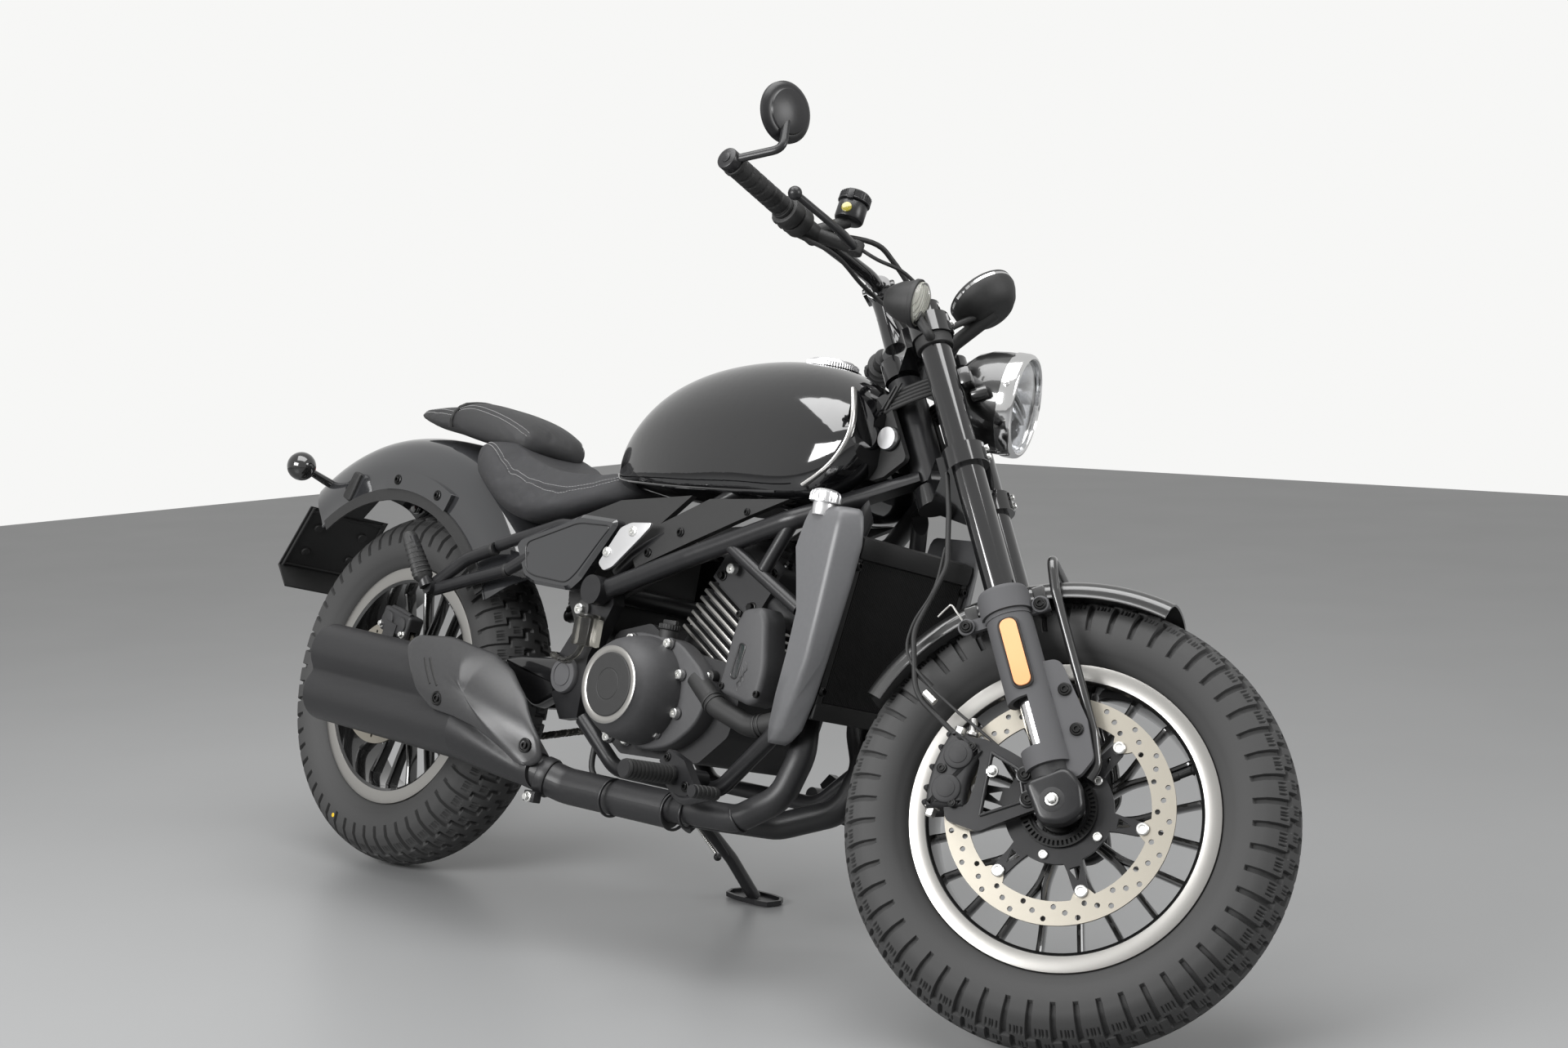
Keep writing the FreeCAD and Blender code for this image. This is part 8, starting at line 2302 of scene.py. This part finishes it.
def frame_trim():
    """The caps and outlines on the frame, and the cables at the steering head."""
    sketch = bmesh.new()
    for side in SIDES:
        drum(sketch, (1103, side * 54, 829), Y * side, 19, 8, 3, 36)
        inner = rounded(in_mm([(0.276, 0.405), (0.362, 0.434), (0.416, 0.434), (0.404, 0.42), (0.372, 0.378),
                               (0.358, 0.366), (0.302, 0.369), (0.287, 0.373)]), 16, 5)
        tube(sketch, [Vector((p.x, side * 150.2, p.y)) for p in inner + [inner[0]]], 1.3, 8)
        drum(sketch, (622, side * 132, 539.5), Y * side, 17, 14, 3, 36)
    piece("panel_trim", sketch, ON_CHASSIS, "frame_paint")
    spots = side_spots([(622, 146.5, 539.5, 1.2)])
    copies("tube_end_screws", cup_screw(9), spots, ON_CHASSIS, "black_screw")
    sketch = bmesh.new()
    for side in SIDES:
        for i in range(5):
            cable(sketch, [(1000, side * 40, 842 + 7 * i), (1044, side * (57 - 2 * i), 850 + 8 * i),
                           (1100, side * (52 - 2 * i), 880 + 7 * i), (1148, side * 34, 906 + 6 * i),
                           (1166, side * 12, 916 + 6 * i)], 3.4, 10, 5)
        for x, z in ((1082, 890), (1092, 895)):
            tube(sketch, [(x - 8, side * 59, z - 22), (x + 8, side * 52, z + 22)], 2.2, 8)
    piece("head_cables", sketch, ON_CHASSIS, "hose_rubber")
    spots = side_spots([(1103, 62, 829, 0.8)])
    copies("head_plate_screws", socket_screw(6.6, 3.6), spots, ON_CHASSIS)


class MOTORCYCLE_OT_body(bpy.types.Operator):
    """Makes the tank's cap and trim, the rear guard, ball indicators, plate carrier, panel trim and cables"""
    bl_idname = "motorcycle.body"
    bl_label = "Tank And Bodywork"

    def execute(self, context):
        tank_fittings()
        rear_guard()
        ball_lamps()
        plate_carrier()
        side_panels()
        frame_trim()
        return {"FINISHED"}


def drive_chain():
    """The chain of outer and inner links round both sprockets."""
    places, spacing = chain_run(CHAIN_PITCH)
    outer = [spot(at, out, along=along) for at, out, along in places[::2]]
    inner = [spot(at, out, along=along) for at, out, along in places[1::2]]
    chain = copies("chain_outer_links", chain_link(spacing, 5.0, 1.6), outer, ON_CHASSIS, "chain_steel")
    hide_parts("drive_chain")
    copies("chain_inner_links", chain_link(spacing, 3.2, 1.6), inner, ON_CHASSIS, "chain_steel")


def front_caliper():
    """The front caliper with its bracket, screws, pins and lines."""
    bearing = radians(56.0)
    out = Vector((-sin(bearing), 0, cos(bearing)))
    along = Vector((cos(bearing), 0, sin(bearing)))
    middle = out * 153.0

    def polar(angle, radius):
        return Vector((-sin(angle), 0, cos(angle))) * radius

    def on_caliper(t, r, y=-104.0):
        return middle + along * t + out * r + Y * y

    sketch = bmesh.new()
    outer = [polar(bearing + radians(a), 181) for a in range(-19, 20, 2)]
    inner = [polar(bearing + radians(a), 127) for a in range(19, -20, -2)]
    outline = rounded([(point.x, point.z) for point in outer + inner], 9, 3)
    slab(sketch, outline, upright(-46), 20, 5)
    slab(sketch, outline, upright(-80), 24, 8)
    caliper_turn = Matrix.Translation(middle) @ Matrix.Rotation(-bearing, 4, "Y")
    box(sketch, (-40, -84, 12), (40, -62, 27), 4, turn=caliper_turn)
    for a in (-9.5, 9.5):
        at = polar(bearing + radians(a), 153)
        drum(sketch, at - Y * 100, -Y, 21, 8, 4, 40)
        drum(sketch, at - Y * 107, -Y, 13, 2.0, 0.8, 36)
    for a in (-16, -9.5, 0, 9.5, 16):
        out_here = polar(bearing + radians(a), 1)
        tube(sketch, [out_here * 178 - Y * 100, out_here * 184 - Y * 94, out_here * 185 - Y * 56,
                      out_here * 178 - Y * 49], 4.0, 10)
    piece("caliper_casting", sketch, ON_STEERING, "engine_casting", ["front_caliper"])
    sketch = bmesh.new()
    pierced(sketch, [rounded(BRACKET_OUTLINE, 7, 4), rounded(BRACKET_WINDOW, 5, 4)], upright(-86), 12)
    for a, b in zip(BRACKET_WINDOW, BRACKET_WINDOW[1:] + BRACKET_WINDOW[:1]):
        tube(sketch, [(a[0], -98, a[1]), (b[0], -98, b[1])], 2.6, 10)
    for x, z in ((-30, 52), (-34, 18)):
        drum(sketch, (x, -84, z), -Y, 13, 17, 3, 28)
    for side in SIDES:
        slab(sketch, rounded([(-32, 36), (30, 42), (44, 14), (38, -26), (8, -37), (-26, -27)], 13, 5),
             upright(side * 115 + 11), 22, 8)
    piece("caliper_bracket", sketch, ON_STEERING, "frame_paint")
    spots = [spot(on_caliper(t, r, y), facing, size) for t, r, y, facing, size in
             ((52, 12, -88, along, 1.5), (-52, 12, -88, -along, 1.5))]
    spots += right_spots([(-72, -98.5, 70, 1.1)]) + side_spots([(0, 126.2, 0, 1.2)])
    copies("caliper_screws", flange_screw(8, 9), spots, ON_STEERING)
    spots = [spot(on_caliper(t, r, y), -Y, size) for t, r, y, size in
             ((0, 14, -104.5, 0.8), (42, -16, -104.5, 0.7), (-42, -16, -104.5, 0.7))]
    spots += right_spots([(-30, -101, 52, 1.1), (-34, -101, 18, 1.1)])
    copies("caliper_pins", cup_screw(9), spots, ON_STEERING, "black_screw")
    sketch = bmesh.new()
    drum(sketch, on_caliper(58, -8, -92), along, 9, 6, 1.5, 20)
    tube(sketch, [on_caliper(62, -8, -92), on_caliper(82, -2, -90)], 5.5, 16)
    tube(sketch, [(-126, -100, 190), (-136, -100, 208)], 6.0, 16)
    piece("hose_ends", sketch, ON_STEERING, "bright_steel")
    sketch = bmesh.new()
    cable(sketch, [(-20, -92, 40), (-60, -96, 110), (-100, -98, 170), (-130, -100, 222),
                   (-146, -104, 270), (-128, -106, 310), (-86, -106, 352), (-56, -102, 410)], 2.2)
    piece("wheel_lines", sketch, ON_STEERING, "hose_rubber")


def rear_caliper():
    """The rear caliper's pistons and the screws of the rear axle."""
    bearing = radians(78.0)
    out = Vector((cos(bearing), 0, sin(bearing)))
    along = Vector((-sin(bearing), 0, cos(bearing)))
    sketch = bmesh.new()
    for t in (-20, 20):
        drum(sketch, out * 112 + along * t - Y * 101, -Y, 17, 6, 3, 32)
    tube(sketch, [out * 134 + along * 30 - Y * 92, out * 136 - Y * 92, out * 134 - along * 30 - Y * 92], 5, 12)
    drum(sketch, Vector((0, -132, 0)), -Y, 22, 6, 2, 40)
    piece("rear_caliper_casting", sketch, ON_REAR_AXLE, "engine_casting")
    spots = [spot(out * 100 + along * t - Y * 103.5, -Y) for t in (-34, 34)]
    spots += side_spots([(0, 138, 0, 1.9)])
    copies("rear_wheel_screws", flange_screw(7.5, 6), spots, ON_REAR_AXLE)


def footrests():
    """Rubbers of the footrests and pedals, the pillion rests and their rings."""
    sketch = bmesh.new()
    for side in SIDES:
        start = Vector((905, side * 190, 275))
        profile = [(0, 4), (12.6, 4)]
        for i in range(11):
            h = 8 + i * 8
            profile += [(15.2, h - 1), (15.2, h + 3.2), (13.0, h + 4), (13.0, h + 6)]
        profile += [(15.2, 95), (14, 99), (0, 99.4)]
        lathe(sketch, profile, start, Y * side, 28)
        tip = on_bike(0.681, side * 196, 0.176)
        pad = [(0, 2), (9, 2)]
        for i in range(5):
            pad += [(10.4, 6 + i * 9), (10.4, 10 + i * 9), (9, 11 + i * 9)]
        pad += [(9, 51), (0, 51.6)]
        lathe(sketch, pad, tip, Y * side, 20)
    piece("footrest_rubbers", sketch, ON_CHASSIS, "grip_rubber")
    sketch = bmesh.new()
    for side in SIDES:
        for at, ahead in (((0.222, 148, 0.394), (0.176, 150, 0.378)), ((0.251, 146, 0.372), (0.195, 148, 0.357))):
            start = on_bike(at[0], side * at[1], at[2])
            towards = (on_bike(ahead[0], side * ahead[1], ahead[2]) - start).normalized()
            lathe(sketch, [(7.4, 0), (11.2, 0), (11.8, 2), (11.8, 7), (11.2, 8), (7.4, 8)], start - towards,
                  towards, 28, closed=True)
        foot, top = on_bike(0.132, side * 176, 0.339), on_bike(0.101, side * 196, 0.392)
        reach = top - foot
        aim = reach.normalized()
        tube(sketch, [foot + reach * 0.1, foot + reach * 0.2, top + aim * 2, top + aim * 10], [12, 19, 15, 11], 20,
             squash=0.72)
        for i in range(7):
            wide = 19.6 - 3.6 * i / 6
            tube(sketch, [foot + reach * (0.26 + 0.1 * i), foot + reach * (0.26 + 0.1 * i) + aim * 3.2], wide, 20,
                 squash=0.74)
    piece("pillion_rest_rings", sketch, ON_CHASSIS, "plain_plastic")
    spots = side_spots([(938, 190.5, 262, 0.9), (888, 190.5, 300, 0.8)])
    copies("footrest_screws", cup_screw(9), spots, ON_CHASSIS, "black_screw")


def stand_fittings():
    """The peg, line and spring of the side stand."""
    sketch = bmesh.new()
    leg = (STAND_FOOT - STAND_PIVOT).normalized()
    back = STAND_AXIS.cross(leg).normalized()
    if back.x > 0:
        back = -back
    root = STAND_PIVOT + leg * 92 + STAND_AXIS * 3
    cable(sketch, [root, root + back * 22 + leg * 4, root + back * 42 + leg * 12], 4.2, 12, 5)
    bmesh.ops.create_uvsphere(sketch, u_segments=20, v_segments=12, radius=7.0,
                              matrix=Matrix.Translation(root + back * 44 + leg * 13))
    cable(sketch, [STAND_PIVOT + leg * 22 - back * 12, STAND_PIVOT + leg * 50 - back * 17,
                   STAND_PIVOT + leg * 90 - back * 13], 1.6, 8, 5)
    piece("stand_peg", sketch, ON_STAND, "frame_paint")
    template = bmesh.new()
    lathe(template, [(0, -1.7), (2.6, -1.6), (3.4, -0.6), (3.4, 0.6), (2.6, 1.6), (0, 1.7)], Vector(), Z, 12)
    spots = []
    for lift in (-5.5, 5.5):
        for i in range(20):
            at = STAND_PIVOT + leg * (22 + i * 3.2) + back * 16 + STAND_AXIS * lift
            spots.append(spot(at, leg))
    copies("stand_springs", template, spots, ON_STAND, "bright_steel")


class MOTORCYCLE_OT_running_gear(bpy.types.Operator):
    """Makes the chain's links, the calipers with their screws and lines, footrest rubbers and stand fittings"""
    bl_idname = "motorcycle.running_gear"
    bl_label = "Chain, Brakes And Footrests"

    def execute(self, context):
        drive_chain()
        front_caliper()
        rear_caliper()
        footrests()
        stand_fittings()
        return {"FINISHED"}


# Panel, registration and the run

STEPS = ("materials", "stage", "tyres", "wheels", "discs", "seats", "fork", "cockpit", "lamps", "engine", "cooling",
         "exhaust", "body", "running_gear")
CLASSES = [PaintSettings, WheelSettings, MOTORCYCLE_OT_materials, MOTORCYCLE_OT_stage, MOTORCYCLE_OT_tyres,
           MOTORCYCLE_OT_wheels, MOTORCYCLE_OT_discs, MOTORCYCLE_OT_seats, MOTORCYCLE_OT_fork, MOTORCYCLE_OT_cockpit,
           MOTORCYCLE_OT_lamps, MOTORCYCLE_OT_engine, MOTORCYCLE_OT_cooling, MOTORCYCLE_OT_exhaust,
           MOTORCYCLE_OT_body, MOTORCYCLE_OT_running_gear]


class MOTORCYCLE_PT_panel(bpy.types.Panel):
    """Lists the settings and the steps that dress the motorcycle"""
    bl_idname = "MOTORCYCLE_PT_panel"
    bl_label = "Motorcycle"
    bl_space_type = "VIEW_3D"
    bl_region_type = "UI"
    bl_category = "Motorcycle"

    def draw(self, context):
        column = self.layout.column()
        for group in (context.scene.motorcycle_paint, context.scene.motorcycle_wheels):
            for key in group.bl_rna.properties.keys():
                if key not in ("rna_type", "name"):
                    column.prop(group, key)
        for step in STEPS:
            column.operator(f"motorcycle.{step}")


def register():
    for item in CLASSES + [MOTORCYCLE_PT_panel]:
        bpy.utils.register_class(item)
    bpy.types.Scene.motorcycle_paint = PointerProperty(type=PaintSettings)
    bpy.types.Scene.motorcycle_wheels = PointerProperty(type=WheelSettings)


def unregister():
    del bpy.types.Scene.motorcycle_wheels
    del bpy.types.Scene.motorcycle_paint
    for item in reversed(CLASSES + [MOTORCYCLE_PT_panel]):
        bpy.utils.unregister_class(item)


def main():
    register()
    for step in STEPS:
        getattr(bpy.ops.motorcycle, step)()


if __name__ == "__main__":
    main()
